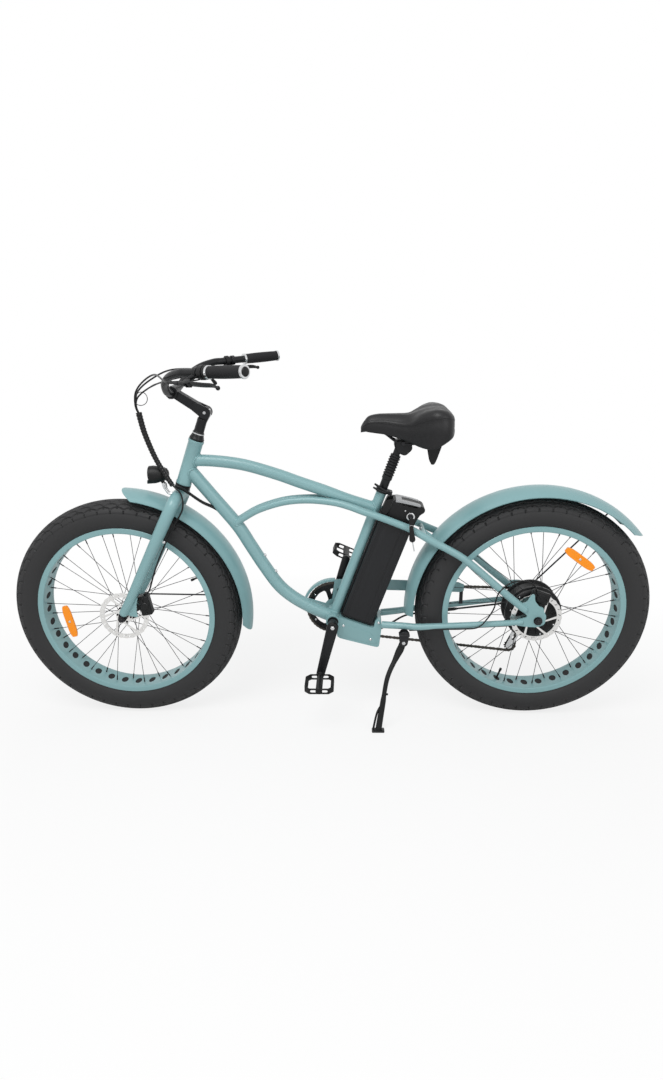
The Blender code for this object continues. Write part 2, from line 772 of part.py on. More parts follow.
# Directions of the left lever: out from the bar, and the axis it turns on
FLAT_OUT = Vector((GRIP.y, -GRIP.x, 0)).normalized()
LEVER_OUT = FLAT_OUT * math.cos(math.radians(43)) - UP * math.sin(math.radians(43))
LEVER_OUT = (LEVER_OUT - GRIP * LEVER_OUT.dot(GRIP)).normalized()
LEVER_AXIS = GRIP.cross(LEVER_OUT)
LEVER_PIVOT = GRIP_INNER - GRIP * 0.044 + LEVER_OUT * 0.036
THROTTLE_SPOT = 0.0055
HOUSING_SPOT = 0.0185
PERCH_SPOT = 0.0400
SHIFTER_SPOT = 0.0600


def ring_at(name, distance, side, outer, half_width):
    """A clamp ring round the straight end of the bar."""
    centre = on_grip_line(distance, side)
    inner = BAR_RADIUS + 3 * GAP
    return ring(name, outer, inner, -half_width, half_width, centre, sided(GRIP, side), "black", 12)


def build_control(side, name):
    """A brake lever's clamp with its post, the two ears the lever turns in and the cable's adjuster."""
    pivot = sided(LEVER_PIVOT, side)
    axis = sided(LEVER_AXIS, side)
    along = sided(GRIP, side)
    solid = ring_at(name, PERCH_SPOT, side, 0.0150, 0.0065)
    post = rod(f"{name}_post", on_grip_line(PERCH_SPOT, side), pivot - along * 0.022, 0.0070, sides=8)
    start = pivot - along * 0.0110
    body = rod(f"{name}_body", start, pivot - along * 0.036, 0.0088, end_radius=0.0060, sides=8)
    start = pivot - along * 0.034
    adjuster = rod(f"{name}_adjuster", start, pivot - along * 0.0595, 0.0042, sides=6)
    turn = Matrix((along, axis, along.cross(axis))).transposed().to_quaternion()
    ears = []
    for layer in (1, -1):
        spot = pivot - along * 0.0045 + axis * layer * 0.0072
        ears.append(block(f"{name}_ear_{layer}", spot, (0.022, 0.0028, 0.014), turn=turn))
    fuse(solid, post, body, adjuster, *ears)
    return solid


def bore_for_bar(solid, side):
    """Opens a control's rings where its other pieces fill them."""
    inner = on_grip_line(0.072, side)
    outer = on_grip_line(-0.004, side)
    carve(solid, rod(f"{solid.name}_bore", inner, outer, BAR_RADIUS + 3 * GAP, sides=12))


def build_brake_lever(side, name):
    """The blade, with its ball end, that turns between the perch's ears."""
    pivot = sided(LEVER_PIVOT, side)
    axis = sided(LEVER_AXIS, side)
    out = sided(LEVER_OUT, side)
    along = sided(GRIP, side)
    solid = rod(name, pivot - axis * 0.0055, pivot + axis * 0.0055, 0.0075, origin=pivot)
    reaches = ((0.0, 0.0), (0.022, 0.003), (0.055, 0.006), (0.090, 0.008), (0.113, 0.016))
    path = [pivot + along * reach + out * rise for reach, rise in reaches]
    blade = tube(f"{name}_blade", path, 0.0050, "black", end_radius=0.0042, resolution=1)
    ball = rod(f"{name}_ball", path[-1] - along * 0.006, path[-1] + along * 0.007, 0.0070, sides=6)
    fuse(solid, blade, ball)


def shifter_frame():
    """The middle of the shifter's pod and its directions: along the bar, across and up."""
    along = sided(GRIP, -1)
    across = UP.cross(along).normalized()
    upward = along.cross(across)
    centre = on_grip_line(0.052, -1) - upward * 0.0275 - sided(FLAT_OUT, -1) * 0.009
    return centre, along, across, upward


def build_controls():
    left = build_control(1, "control_left")
    housing = ring_at("throttle_housing", HOUSING_SPOT, 1, 0.0190, 0.0075)
    bridge = LEVER_OUT * 0.0148
    start = on_grip_line(0.022) + bridge
    link = rod("housing_link", start, on_grip_line(0.037) + bridge, 0.0025, sides=6)
    fuse(left, housing, link)
    bore_for_bar(left, 1)
    right = build_control(-1, "control_right")
    centre, along, across, upward = shifter_frame()
    turn = Matrix((along, across, upward)).transposed().to_quaternion()
    pod = block("shifter_pod", centre, (0.050, 0.036, 0.022), turn=turn)
    clamp = ring_at("shifter_ring", SHIFTER_SPOT, -1, 0.0160, 0.0060)
    spot = on_grip_line(SHIFTER_SPOT, -1)
    neck = rod("shifter_neck", spot, spot - upward * 0.022, 0.0060, sides=6)
    bridge = sided(LEVER_OUT, -1) * -0.0140
    start = on_grip_line(0.042, -1) + bridge
    link = rod("shifter_link", start, on_grip_line(0.058, -1) + bridge, 0.0025, sides=6)
    fuse(right, clamp, neck, pod, link)
    bore_for_bar(right, -1)


def build_throttle_lever():
    """The thumb paddle that turns round the bar beside its housing."""
    solid = ring_at("throttle_lever", THROTTLE_SPOT, 1, 0.0180, 0.0034)
    hub = on_grip_line(THROTTLE_SPOT)
    start = hub + LEVER_AXIS * 0.0150
    tip = hub + LEVER_AXIS * 0.040
    fuse(solid, rod("throttle_paddle", start, tip, 0.0030, end_radius=0.0050, sides=6))


def build_shift_lever():
    """The thumb lever under the shifter's pod."""
    centre, along, across, upward = shifter_frame()
    hub_top = centre - upward * 0.0116
    solid = rod("shift_lever", hub_top - upward * 0.0050, hub_top, 0.0085, origin=centre)
    tip = hub_top - upward * 0.0075 + along * 0.034 - sided(FLAT_OUT, -1) * 0.018
    fuse(solid, rod("shift_paddle", hub_top - upward * 0.0026, tip, 0.0023, end_radius=0.0045, sides=6))


def build_headlight():
    """The lamp's housing, lens, visor and the lug that turns on its bracket."""
    aim = Vector((0.985, 0, -0.05)).normalized()
    profile = [
        (0.0270, 0.0290),
        (0.0275, 0.0110),
        (0.0230, -0.0060),
        (0.0150, -0.0240),
        (0.0060, -0.0300),
        (0.0, -0.0300),
        (0.0, 0.0250),
        (0.0240, 0.0250),
        (0.0250, 0.0290),
    ]
    solid = turned("headlight", profile, LAMP_CENTRE, aim, "black", 12)
    lug = rod("lamp_lug", LAMP_PIVOT - LEFT * 0.0040, LAMP_PIVOT + LEFT * 0.0040, 0.0065)
    neck = rod("lamp_neck", LAMP_PIVOT, LAMP_CENTRE - aim * 0.006 - UP * 0.018, 0.0055)
    fuse(solid, lug, neck)


# Wheels


def tyre_profile():
    """Round outside, with a corner where the leaning tyre stands, a hollow, and two beads in the rim."""
    centre = TYRE_RADIUS - TYRE_SECTION
    half = [LEAN + math.radians(29.5) * i for i in range(5)]
    angles = half[::-1] + [-a for a in half]
    outer = [(centre + TYRE_SECTION * math.cos(a), TYRE_SECTION * math.sin(a)) for a in angles]
    wall = TYRE_SECTION - 0.006
    inner = [
        (centre + wall * math.cos(a), wall * math.sin(a))
        for a in (math.radians(-122), 0, math.radians(122))
    ]
    bead = [(0.2893, -0.0383), (0.2800, -0.0383), (0.2800, -0.0335)]
    return outer + bead + inner + [(r, -y) for r, y in reversed(bead)]


def rim_profile():
    """A flange each side, the shelves for the beads, the well and the broad face towards the hub."""
    edge = RIM_HALF_WIDTH
    top = [
        (FLANGE_RADIUS, edge),
        (FLANGE_RADIUS, edge - 0.0022),
        (0.2797, edge - 0.0022),
        (0.2735, 0.0270),
    ]
    inner = [(0.2707, -edge), (0.2707, edge)]
    return top + [(r, -y) for r, y in reversed(top)] + inner


def add_spokes(hub, axle, flanges, flange_radius, cross_angle):
    """Crossed spokes from two flanges to the rim, as one mesh, welded to the hub."""
    mesh = bpy.data.meshes.new(f"{hub.name}_spokes")
    shape = bmesh.new()
    for number in range(SPOKES):
        left = number % 2 == 0
        leading = number % 4 < 2
        rim_angle = 2 * math.pi * (number + 0.5) / SPOKES
        hub_angle = rim_angle + cross_angle * (1 if leading else -1)
        flange_y = flanges[0] if left else flanges[1]
        layer = 0.0024 * (1 if leading else -1)
        rim_y = (0.012 if left else -0.012) + layer * 0.3
        start = Vector((math.cos(hub_angle), 0, math.sin(hub_angle))) * flange_radius
        end = Vector((math.cos(rim_angle), 0, math.sin(rim_angle))) * 0.2690
        start.y = flange_y + layer
        end.y = rim_y
        turn = UP.rotation_difference(end - start).to_matrix().to_4x4()
        bmesh.ops.create_cone(
            shape,
            cap_ends=True,
            segments=3,
            radius1=SPOKE_RADIUS,
            radius2=SPOKE_RADIUS,
            depth=(end - start).length,
            matrix=Matrix.Translation((start + end) / 2) @ turn,
        )
    shape.to_mesh(mesh)
    shape.free()
    fuse(hub, place(f"{hub.name}_spokes", mesh, "dark_steel", axle))


def build_rotor(name, axle, y, look="steel"):
    """A brake disc with a wavy rim and six swept windows."""
    waves = []
    for i in range(24):
        point = radial(axle, ROTOR_RADIUS - 0.0022 * (i % 2), 15 * i)
        waves.append((point.x, point.z))
    windows = []
    for number in range(6):
        first = 60 * number
        corners = [(0.0640, first + 4), (0.0640, first + 50)]
        corners += [(0.0270, first + 66), (0.0270, first + 34)]
        spots = [radial(axle, distance, degrees) for distance, degrees in corners]
        windows.append([(p.x, p.z) for p in spots])
    plate(name, [waves, *windows, circle(axle, 0.0125, 12)], y, 0.0018, look, axle)


def build_reflector(name, axle, angle, distance, y):
    """A long amber reflector clipped across the spokes."""
    turn = math.radians(angle)
    middle = axle + Vector((distance * math.cos(turn), y, distance * math.sin(turn)))
    facing = Matrix.Rotation(-turn, 3, "Y").to_quaternion()
    block(name, middle, (0.027, 0.0080, 0.112), "reflector", facing, 0.003, origin=axle)


def build_front_wheel():
    turned("front_tyre", tyre_profile(), FRONT_AXLE, LEFT, "tyre", WHEEL_STEPS)
    turned("front_rim", rim_profile(), FRONT_AXLE, LEFT, "paint", WHEEL_STEPS)
    profile = [
        (0.0085, 0.0745),
        (0.0085, 0.0650),
        (0.0118, 0.0650),
        (0.0118, 0.0560),
        (0.0150, 0.0560),
        (0.0150, 0.0400),
        (0.0290, 0.0385),
        (0.0290, 0.0310),
        (0.0150, 0.0270),
        (0.0150, -0.0270),
        (0.0290, -0.0310),
        (0.0290, -0.0385),
        (0.0150, -0.0400),
        (0.0150, -0.0620),
        (0.0085, -0.0640),
        (0.0085, -0.0745),
        (0.0064, -0.0745),
        (0.0064, 0.0745),
    ]
    hub = turned("front_hub", profile, FRONT_AXLE, LEFT, "dark_steel", 10)
    add_spokes(hub, FRONT_AXLE, (0.0348, -0.0348), 0.0265, math.radians(60))
    build_rotor("front_rotor", FRONT_AXLE, FRONT_ROTOR_Y)
    build_reflector("front_reflector", FRONT_AXLE, -10.5, 0.201, 0.0235)


def build_rear_wheel():
    turned("rear_tyre", tyre_profile(), REAR_AXLE, LEFT, "tyre", WHEEL_STEPS)
    turned("rear_rim", rim_profile(), REAR_AXLE, LEFT, "paint", WHEEL_STEPS)
    profile = [
        (0.0115, 0.0760),
        (0.0115, 0.0640),
        (0.0290, 0.0600),
        (0.0420, 0.0480),
        (0.0700, 0.0450),
        (MOTOR_RADIUS, 0.0380),
        (0.0890, 0.0365),
        (0.0890, 0.0285),
        (MOTOR_RADIUS, 0.0270),
        (MOTOR_RADIUS, -0.0200),
        (0.0890, -0.0215),
        (0.0890, -0.0290),
        (MOTOR_RADIUS, -0.0305),
        (0.0660, -0.0400),
        (0.0300, -0.0440),
        (0.0180, -0.0525),
        (0.0074, -0.0525),
        (0.0074, 0.0760),
    ]
    hub = turned("hub_motor", profile, REAR_AXLE, LEFT, "black", 14)
    add_spokes(hub, REAR_AXLE, (0.0322, -0.0252), 0.0868, math.radians(20))
    build_rotor("rear_rotor", REAR_AXLE, REAR_ROTOR_Y)
    build_reflector("rear_reflector", REAR_AXLE, 126.5, 0.222, 0.0270)
    reach = LEFT * 0.108
    axle = rod("rear_axle", REAR_AXLE - reach, REAR_AXLE + reach, 0.0060, "dark_steel", origin=REAR_AXLE)
    for side in (1, -1):
        nut = REAR_AXLE + LEFT * side * (DROPOUT_Y + 0.0034)
        fuse(axle, rod(f"rear_nut_{side}", nut, nut + LEFT * side * 0.0090, 0.0125, sides=6))


# Brakes


def build_caliper(name, centre, size, axle, rotor_y, tilt):
    """A caliper body with the slot that the disc runs in."""
    turn = Matrix.Rotation(math.radians(tilt), 3, "Y").to_quaternion()
    solid = block(name, centre, size, "black", turn, 0.004)
    cap_end = Vector(centre) - LEFT * (size[1] / 2 + 0.003)
    fuse(solid, rod(f"{name}_cap", cap_end, centre, 0.0130, sides=10))
    slot = rod(
        f"{name}_slot",
        axle + LEFT * (rotor_y - 0.0022),
        axle + LEFT * (rotor_y + 0.0022),
        ROTOR_RADIUS + 0.0025,
        sides=24,
    )
    carve(solid, slot)


def build_brakes():
    place_front = ((0.5800, 0.0620, 0.4130), (0.036, 0.030, 0.066), FRONT_AXLE, FRONT_ROTOR_Y)
    place_rear = ((-0.6620, 0.0700, 0.4415), (0.060, 0.0170, 0.040), REAR_AXLE, REAR_ROTOR_Y)
    build_caliper("front_brake_caliper", *place_front, 10)
    build_caliper("rear_brake_caliper", *place_rear, -20)


# Drive


def pitch_radius(teeth):
    return CHAIN_PITCH / (2 * math.sin(math.pi / teeth))


def belt_path(wheels, step):
    """A closed line round (centre, radius) pairs. One with a negative radius is passed clockwise."""
    count = len(wheels)
    touches = []
    for i in range(count):
        (a, ra), (b, rb) = wheels[i], wheels[(i + 1) % count]
        dx, dz = b[0] - a[0], b[2] - a[2]
        length = math.hypot(dx, dz)
        heading = math.atan2(dz, dx) - math.asin((rb - ra) / length)
        normal = heading - math.pi / 2
        touches.append(normal)
    path = []
    for i in range(count):
        centre, radius = wheels[i]
        sweep = (touches[i] - touches[i - 1]) % (2 * math.pi)
        if radius < 0:
            sweep -= 2 * math.pi
        parts = max(2, round(abs(sweep * radius) / step), math.ceil(abs(sweep) / 0.4))
        for j in range(parts + 1):
            angle = touches[i - 1] + sweep * j / parts
            path.append((centre[0] + radius * math.cos(angle), centre[2] + radius * math.sin(angle)))
    return path


def chain_line(offset):
    """The chain's line, or a line that far outside it."""
    wheels = [
        (BOTTOM_BRACKET, pitch_radius(CHAINRING_TEETH) + offset),
        (REAR_AXLE, pitch_radius(CHAIN_SPROCKET) + offset),
        (GUIDE_PULLEY, offset - PULLEY_RADIUS),
        (TENSION_PULLEY, PULLEY_RADIUS + offset),
    ]
    return belt_path(wheels, 0.018)


def build_chain():
    """The closed loop as a band as tall and as wide as the links."""
    band = [chain_line(CHAIN_HALF_HEIGHT), chain_line(-CHAIN_HALF_HEIGHT)]
    plate("chain", band, CHAIN_Y, 2 * CHAIN_HALF_WIDTH, "dark_steel")


def disc_radius(teeth):
    """A sprocket's radius as a plain disc, inside the band of the chain."""
    return pitch_radius(teeth) - CHAIN_HALF_HEIGHT - 0.0012


def crank_end(side):
    """Where a crank's pedal is screwed in: the left one points down, the right one up."""
    reach = Vector((math.sin(CRANK_ANGLE), 0, -math.cos(CRANK_ANGLE))) * CRANK_LENGTH * side
    return BOTTOM_BRACKET + reach


def build_cranks():
    spindle = (BOTTOM_BRACKET - LEFT * 0.0790, BOTTOM_BRACKET + LEFT * CRANK_ARM_Y)
    left = rod("crank_left", *spindle, SPINDLE_RADIUS, sides=12, origin=BOTTOM_BRACKET)
    boss_start = BOTTOM_BRACKET + LEFT * 0.0640
    fuse(left, rod("crank_boss", boss_start, boss_start + LEFT * 0.018, 0.0150, sides=12))
    right = ring("crank_right", 0.0200, 0.0092, 0.0640, CRANK_ARM_Y, BOTTOM_BRACKET, -LEFT, "black", 14)
    for side, solid in ((1, left), (-1, right)):
        end = crank_end(side)
        outline = arm_outline(BOTTOM_BRACKET, 0.0185, end, 0.0135)
        arm = plate(f"crank_arm_{side}", [outline], side * CRANK_ARM_Y, 0.0130, "black")
        pin = rod(f"pedal_pin_{side}", end + LEFT * side * CRANK_ARM_Y, end + LEFT * side * 0.184, 0.0045)
        fuse(solid, arm, pin)
    disc = [circle(BOTTOM_BRACKET, disc_radius(CHAINRING_TEETH), 30)]
    for number in range(5):
        first = 72 * number
        corners = [(0.0690, first + 6), (0.0710, first + 26), (0.0710, first + 46), (0.0690, first + 66)]
        corners += [(0.0300, first + 56), (0.0300, first + 16)]
        spots = [radial(BOTTOM_BRACKET, distance, degrees) for distance, degrees in corners]
        disc.append([(p.x, p.z) for p in spots])
    disc.append(circle(BOTTOM_BRACKET, 0.0150, 12))
    fuse(right, plate("chainring", disc, CHAIN_Y, 0.0040, "black"))
    spindle_end = BOTTOM_BRACKET - LEFT * 0.0794
    carve(right, rod("spindle_room", spindle_end, spindle_end + LEFT * 0.03, 0.0092, sides=12))


def build_pedal(side, name):
    """A platform with two windows, round the pin that the crank carries."""
    centre = crank_end(side) + LEFT * side * PEDAL_Y
    half = 0.046
    corner = 0.016
    outline = [
        (half, half - corner),
        (half - corner, half),
        (corner - half, half),
        (-half, half - corner),
        (-half, corner - half),
        (corner - half, -half),
        (half - corner, -half),
        (half, corner - half),
    ]
    windows = []
    for turn in (1, -1):
        for row in (1, -1):
            near, far = 0.0120, half - 0.0075
            low, high = 0.0035, half - 0.0075
            spots = [(near, low), (far, low), (far, high - 0.008), (far - 0.008, high), (near, high)]
            windows.append([(turn * x, row * y) for x, y in spots])
    tilt = Matrix.Rotation(math.radians(0 if side == 1 else -24), 3, "Y").to_quaternion()
    solid = meshed(flat(name, [outline, *windows], 0.018, "black", centre, tilt))
    out = LEFT * side
    barrel = rod(f"{name}_barrel", centre - out * 0.0500, centre + out * 0.0450, 0.0105, sides=12)
    bore = rod(f"{name}_bore", centre - out * 0.0520, centre + out * 0.0380, 0.0050)
    fuse(solid, barrel)
    carve(solid, bore)


def build_freewheel():
    """Seven sprockets as one stepped solid, each drawn inside its teeth."""
    half = 0.0009
    first = CHAIN_Y + SPROCKETS.index(CHAIN_SPROCKET) * SPROCKET_PITCH
    profile = []
    top = first + half
    for number, teeth in enumerate(SPROCKETS):
        low = first - number * SPROCKET_PITCH - half
        profile += [(disc_radius(teeth), top), (disc_radius(teeth), low)]
        top = low
    profile += [(0.0074, low), (0.0074, first + half)]
    turned("freewheel", profile, REAR_AXLE, LEFT, "steel", 10)


def build_derailleur():
    """The body on the hanger, the cage's two plates and its two pulleys."""
    knuckle = Vector((-0.668, -(DROPOUT_Y + 0.0029), 0.330))
    solid = rod("rear_derailleur", knuckle, knuckle - LEFT * 0.016, 0.0095, "steel", sides=10)
    cage = arm_outline(GUIDE_PULLEY, 0.0120, TENSION_PULLEY, 0.0120)
    pieces = []
    for side in (1, -1):
        pieces.append(plate(f"cage_{side}", [cage], CHAIN_Y + side * 0.0064, 0.0016, "steel"))
    reach = LEFT * 0.0060
    for number, spot in enumerate((GUIDE_PULLEY, TENSION_PULLEY)):
        radius = PULLEY_RADIUS - CHAIN_HALF_HEIGHT - 0.0012
        pieces.append(rod(f"pulley_{number}", spot - reach, spot + reach, radius, sides=10))
    path = [
        knuckle - LEFT * 0.0090,
        knuckle + Vector((-0.006, -0.0060, -0.021)),
        Vector((-0.662, CHAIN_Y - 0.0180, 0.291)),
        GUIDE_PULLEY - LEFT * 0.0064,
    ]
    fuse(solid, tube("parallelogram", path, 0.0062, "steel", resolution=2), *pieces)


def build_chain_guard():
    """The painted guard: a quarter ring over the chainring, two arms and a bar along the chain's top run."""
    degrees = [14 + 79 * i / 8 for i in range(9)]

    def arc(distance):
        return [(p.x, p.z) for p in (radial(BOTTOM_BRACKET, distance, d) for d in degrees)]

    middle = BOTTOM_BRACKET + LEFT * GUARD_Y
    solid = ring("chain_guard", 0.0340, 0.0105, -0.0011, 0.0011, middle, LEFT, "paint", 14)
    neck = ring("guard_neck", 0.0200, 0.0105, -0.0010, 0.0155, middle, LEFT, "paint", 14)
    top = arc(0.1045)[-1]
    bar_low = [(-0.449, 0.4080), (-0.437, 0.4030), (-0.120, 0.4130), (-0.030, 0.4160)]
    bar = [top, (-0.120, 0.4515), (-0.430, 0.4385), (-0.449, 0.4300), *bar_low]
    pieces = [
        neck,
        plate("guard_band", [arc(0.1045) + arc(0.0965)[::-1]], GUARD_Y, 0.0020, "paint"),
        plate("guard_lip", [arc(0.1042) + arc(0.1020)[::-1]], GUARD_Y - 0.0074, 0.0158, "paint"),
        plate("guard_bar", [bar], GUARD_Y, 0.0018, "paint"),
        rod("guard_strut", (-0.4430, GUARD_Y, 0.4120), (-0.4400, GUARD_Y - 0.0080, 0.3620), 0.0036, sides=6),
    ]
    for number, angle in enumerate((20, 95)):
        start = radial(BOTTOM_BRACKET, 0.028, angle)
        end = radial(BOTTOM_BRACKET, 0.098, angle)
        arm = arm_outline(start, 0.0085, end, 0.0055, 3)
        pieces.append(plate(f"guard_arm_{number}", [arm], GUARD_Y, 0.0014, "paint"))
    stay = [sided(p, -1) for p in CHAINSTAY_PATH]
    fuse(solid, *pieces)
    carve(solid, tube("stay_room_guard", stay, STAY_RADIUS + GAP, "paint", end_radius=0.0085 + GAP))


# Seat


def build_seatpost():
    """The outer post in the seat tube, with the collar that the sprung inner post slides in."""
    bottom = -0.170
    top = 0.0560
    profile = [
        (0.0158, top),
        (0.0158, top - 0.010),
        (POST_RADIUS, top - 0.013),
        (POST_RADIUS, bottom),
        (0.0113, bottom),
        (0.0113, top),
    ]
    turned("seatpost", profile, SEAT_TOP, SEATING, "black", 16)


def build_seat_boot():
    """The ribbed rubber bellows over the sliding joint."""
    low = 0.0565
    high = 0.1165
    ribs = 7
    rise = (high - low) / (2 * ribs)
    outer = [(0.0170 if i % 2 else 0.0138, low + rise * i) for i in range(2 * ribs + 1)]
    profile = list(reversed(outer)) + [(0.0117, low), (0.0117, high)]
    turned("seat_boot", profile, SEAT_TOP, SEATING, "rubber", 10)


SADDLE_STATIONS = [
    # x, half width, top, edge, skirt, keel
    (-0.1085, 0.012, 0.972, 0.967, 0.960, 0.962),
    (-0.1230, 0.022, 0.988, 0.980, 0.956, 0.958),
    (-0.1500, 0.028, 1.000, 0.990, 0.950, 0.954),
    (-0.1950, 0.034, 1.005, 0.993, 0.943, 0.950),
    (-0.2350, 0.054, 1.005, 0.995, 0.931, 0.946),
    (-0.2750, 0.090, 1.008, 1.004, 0.921, 0.944),
    (-0.3150, 0.117, 1.016, 1.016, 0.920, 0.944),
    (-0.3500, 0.119, 1.020, 1.018, 0.930, 0.948),
    (-0.3720, 0.096, 1.012, 1.006, 0.944, 0.955),
    (-0.3780, 0.060, 1.000, 0.996, 0.960, 0.965),
]


def build_saddle():
    """A broad sprung saddle: a crown that drops to the nose, deep skirts and a hollow underside."""
    mesh = bpy.data.meshes.new("saddle")
    shape = bmesh.new()
    rings = []
    for x, half, top, edge, skirt, keel in SADDLE_STATIONS:
        section = [
            (0.0, top),
            (0.52 * half, top + 0.002),
            (0.94 * half, edge),
            (1.02 * half, skirt + 0.35 * (edge - skirt)),
            (0.86 * half, skirt),
            (0.0, keel),
        ]
        rings.append([shape.verts.new((x, y, z)) for y, z in section])
    for a, b in zip(rings, rings[1:]):
        for i in range(len(a) - 1):
            shape.faces.new((a[i], b[i], b[i + 1], a[i + 1]))
    for end in (rings[0], rings[-1]):
        for quad in ((0, 1, 4, 5), (1, 2, 3, 4)):
            shape.faces.new([end[i] for i in quad])
    bmesh.ops.recalc_face_normals(shape, faces=shape.faces)
    shape.to_mesh(mesh)
    shape.free()
    thing = place("saddle", mesh, "vinyl")
    mirror = thing.modifiers.new("mirror", "MIRROR")
    mirror.use_axis = (False, True, False)
    mirror.use_clip = True
    mirror.merge_threshold = 0.0001
    soft = thing.modifiers.new("rounding", "SUBSURF")
    soft.levels = 1
    soft.render_levels = 1


def build_saddle_frame():
    """The sprung inner post, the clamp on it, the two rails and the bumper behind."""
    bottom = SEAT_TOP - SEATING * 0.060
    head = SEAT_TOP + SEATING * 0.1420
    solid = rod("saddle_frame", bottom, head, 0.0109, "black", sides=12)
    cap = rod("post_cap", SEAT_TOP + SEATING * 0.1168, SEAT_TOP + SEATING * 0.1230, 0.0155, sides=12)
    clamp = block("rail_clamp", (-0.2330, 0, 0.9130), (0.052, 0.046, 0.028))
    fuse(solid, cap, clamp)
    for side in (1, -1):
        rail = [
            (-0.186, side * 0.010, 0.9400),
            (-0.208, side * 0.016, 0.9240),
            (-0.233, side * 0.020, 0.9160),
            (-0.275, side * 0.023, 0.9150),
            (-0.315, side * 0.026, 0.9220),
            (-0.333, side * 0.028, 0.9290),
        ]
        fuse(solid, tube(f"rail_{side}", rail, 0.0036, "black", resolution=1))
    wedge = [(-0.3060, 0.9200), (-0.3500, 0.9200), (-0.3490, 0.9080)]
    wedge += [(-0.3300, 0.8500), (-0.3170, 0.8500), (-0.3070, 0.9080)]
    bumper = plate("bumper", [wedge], 0, 0.030, "black")
    cross = rod("bumper_bar", (-0.3200, -0.036, 0.9240), (-0.3200, 0.036, 0.9240), 0.0045, sides=8)
    fuse(solid, bumper, cross)


def build_seat_lever():
    """The quick-release lever that lies along the collar and swings out."""
    pivot = CLAMP_EARS + LEFT * 0.0165
    solid = rod("seat_lever", pivot - SEATING * 0.0060, pivot + SEATING * 0.0060, 0.0058, origin=pivot)
    path = [
        pivot,
        pivot - SEAT_BACK * 0.016 + LEFT * 0.0070,
        pivot - SEAT_BACK * 0.036 + LEFT * 0.0085 + SEATING * 0.002,
        pivot - SEAT_BACK * 0.060 + LEFT * 0.0050 + SEATING * 0.006,
    ]
    fuse(solid, tube("lever_blade", smooth(path, 2), 0.0038, "black", resolution=1, end_radius=0.0032))


# Battery

BATTERY_LOW = 0.0321
BATTERY_HIGH = 0.390
BATTERY_FRONT = 0.0202
BATTERY_DEPTH = 0.105
BATTERY_WIDTH = 0.076
LOCK = along_seat(0.4107, 0.1066)
HEAD_OUTLINE = [
    # distance behind the seat tube's line, height along it
    (0.0215, 0.380),
    (0.1260, 0.380),
    (0.1330, 0.425),
    (0.1420, 0.436),
    (0.1420, 0.444),
    (0.1310, 0.4520),
    (0.0650, 0.4470),
    (0.0350, 0.4420),
    (0.0240, 0.4340),
]


def build_battery():
    """The sliding pack: its case, its head, the lock's barrel and the room for the seat clamp's ears."""
    middle = BATTERY_FRONT + BATTERY_DEPTH / 2
    solid = block(
        "battery",
        along_seat((BATTERY_LOW + BATTERY_HIGH) / 2, middle),
        (BATTERY_DEPTH, BATTERY_WIDTH, BATTERY_HIGH - BATTERY_LOW),
        "black",
        SEAT_TURN,
        0.006,
    )
    points = [along_seat(height, back) for back, height in HEAD_OUTLINE]
    cap = plate("battery_head", [[(p.x, p.z) for p in points]], 0, BATTERY_WIDTH - 0.006, "black")
    barrel = rod("lock_barrel", LOCK + LEFT * 0.030, LOCK + LEFT * 0.0395, 0.0120, sides=14)
    hole = rod("lock_hole", LOCK + LEFT * 0.0330, LOCK + LEFT * 0.045, 0.0070)
    room = block("ears_room", along_seat(0.4400, 0.0155, 0.0190), (0.046, 0.0630, 0.099), turn=SEAT_TURN)
    fuse(solid, cap, barrel)
    carve(solid, hole, room)


def build_battery_key():
    """The key in the lock, its bow outside the frame's tube, the fob and the spare key below it."""
    y = 0.0800
    start = LOCK + LEFT * 0.0335
    solid = rod("battery_key", start, LOCK + LEFT * y, 0.0040, "steel", sides=8, origin=LOCK)
    bow = arm_outline(LOCK, 0.0075, LOCK + Vector((0.0004, 0, -0.0170)), 0.0045)
    fob_top = LOCK + Vector((0.0004, 0, -0.0200))
    fob = arm_outline(fob_top, 0.0045, LOCK + Vector((-0.0030, 0, -0.0600)), 0.0085)
    spare_start = LOCK + Vector((-0.0035, y, -0.0650))
    spare_end = LOCK + Vector((-0.0095, y, -0.0965))
    pieces = [
        plate("key_bow", [bow], y, 0.0030, "black"),
        plate("key_fob", [fob], y, 0.0050, "black"),
        rod("spare_key", spare_start, spare_end, 0.0018, sides=6),
    ]
    fuse(solid, *pieces)


# Kickstand

STAND_PIVOT = Vector((-0.2420, 0.0780, 0.2920))
STAND_FOOT = Vector((-0.1600, 0.1740, 0.0))


def ground_height(y):
    """The height of the leaning bicycle's ground plane at that Y, in the upright frame."""
    return TYRE_SECTION - TYRE_SECTION / math.cos(LEAN) + y * math.tan(LEAN)


def build_kickstand_bracket():
    """The two cheeks under the left chainstay and the plate that bolts them to it."""
    solid = block("kickstand_bracket", (-0.2440, 0.0780, 0.3170), (0.030, 0.026, 0.0060), "black")
    cheek = arm_outline((-0.2440, 0, 0.3160), 0.0150, STAND_PIVOT, 0.0130)
    for number, y in enumerate((0.0675, 0.0885)):
        fuse(solid, plate(f"bracket_cheek_{number}", [cheek], y, 0.0040, "black"))
    stay_room = tube("stay_room_stand", CHAINSTAY_PATH, STAY_RADIUS + GAP, "paint", end_radius=0.0085)
    reach = LEFT * 0.03
    carve(solid, stay_room, rod("stand_pin_hole", STAND_PIVOT - reach, STAND_PIVOT + reach, 0.0052))


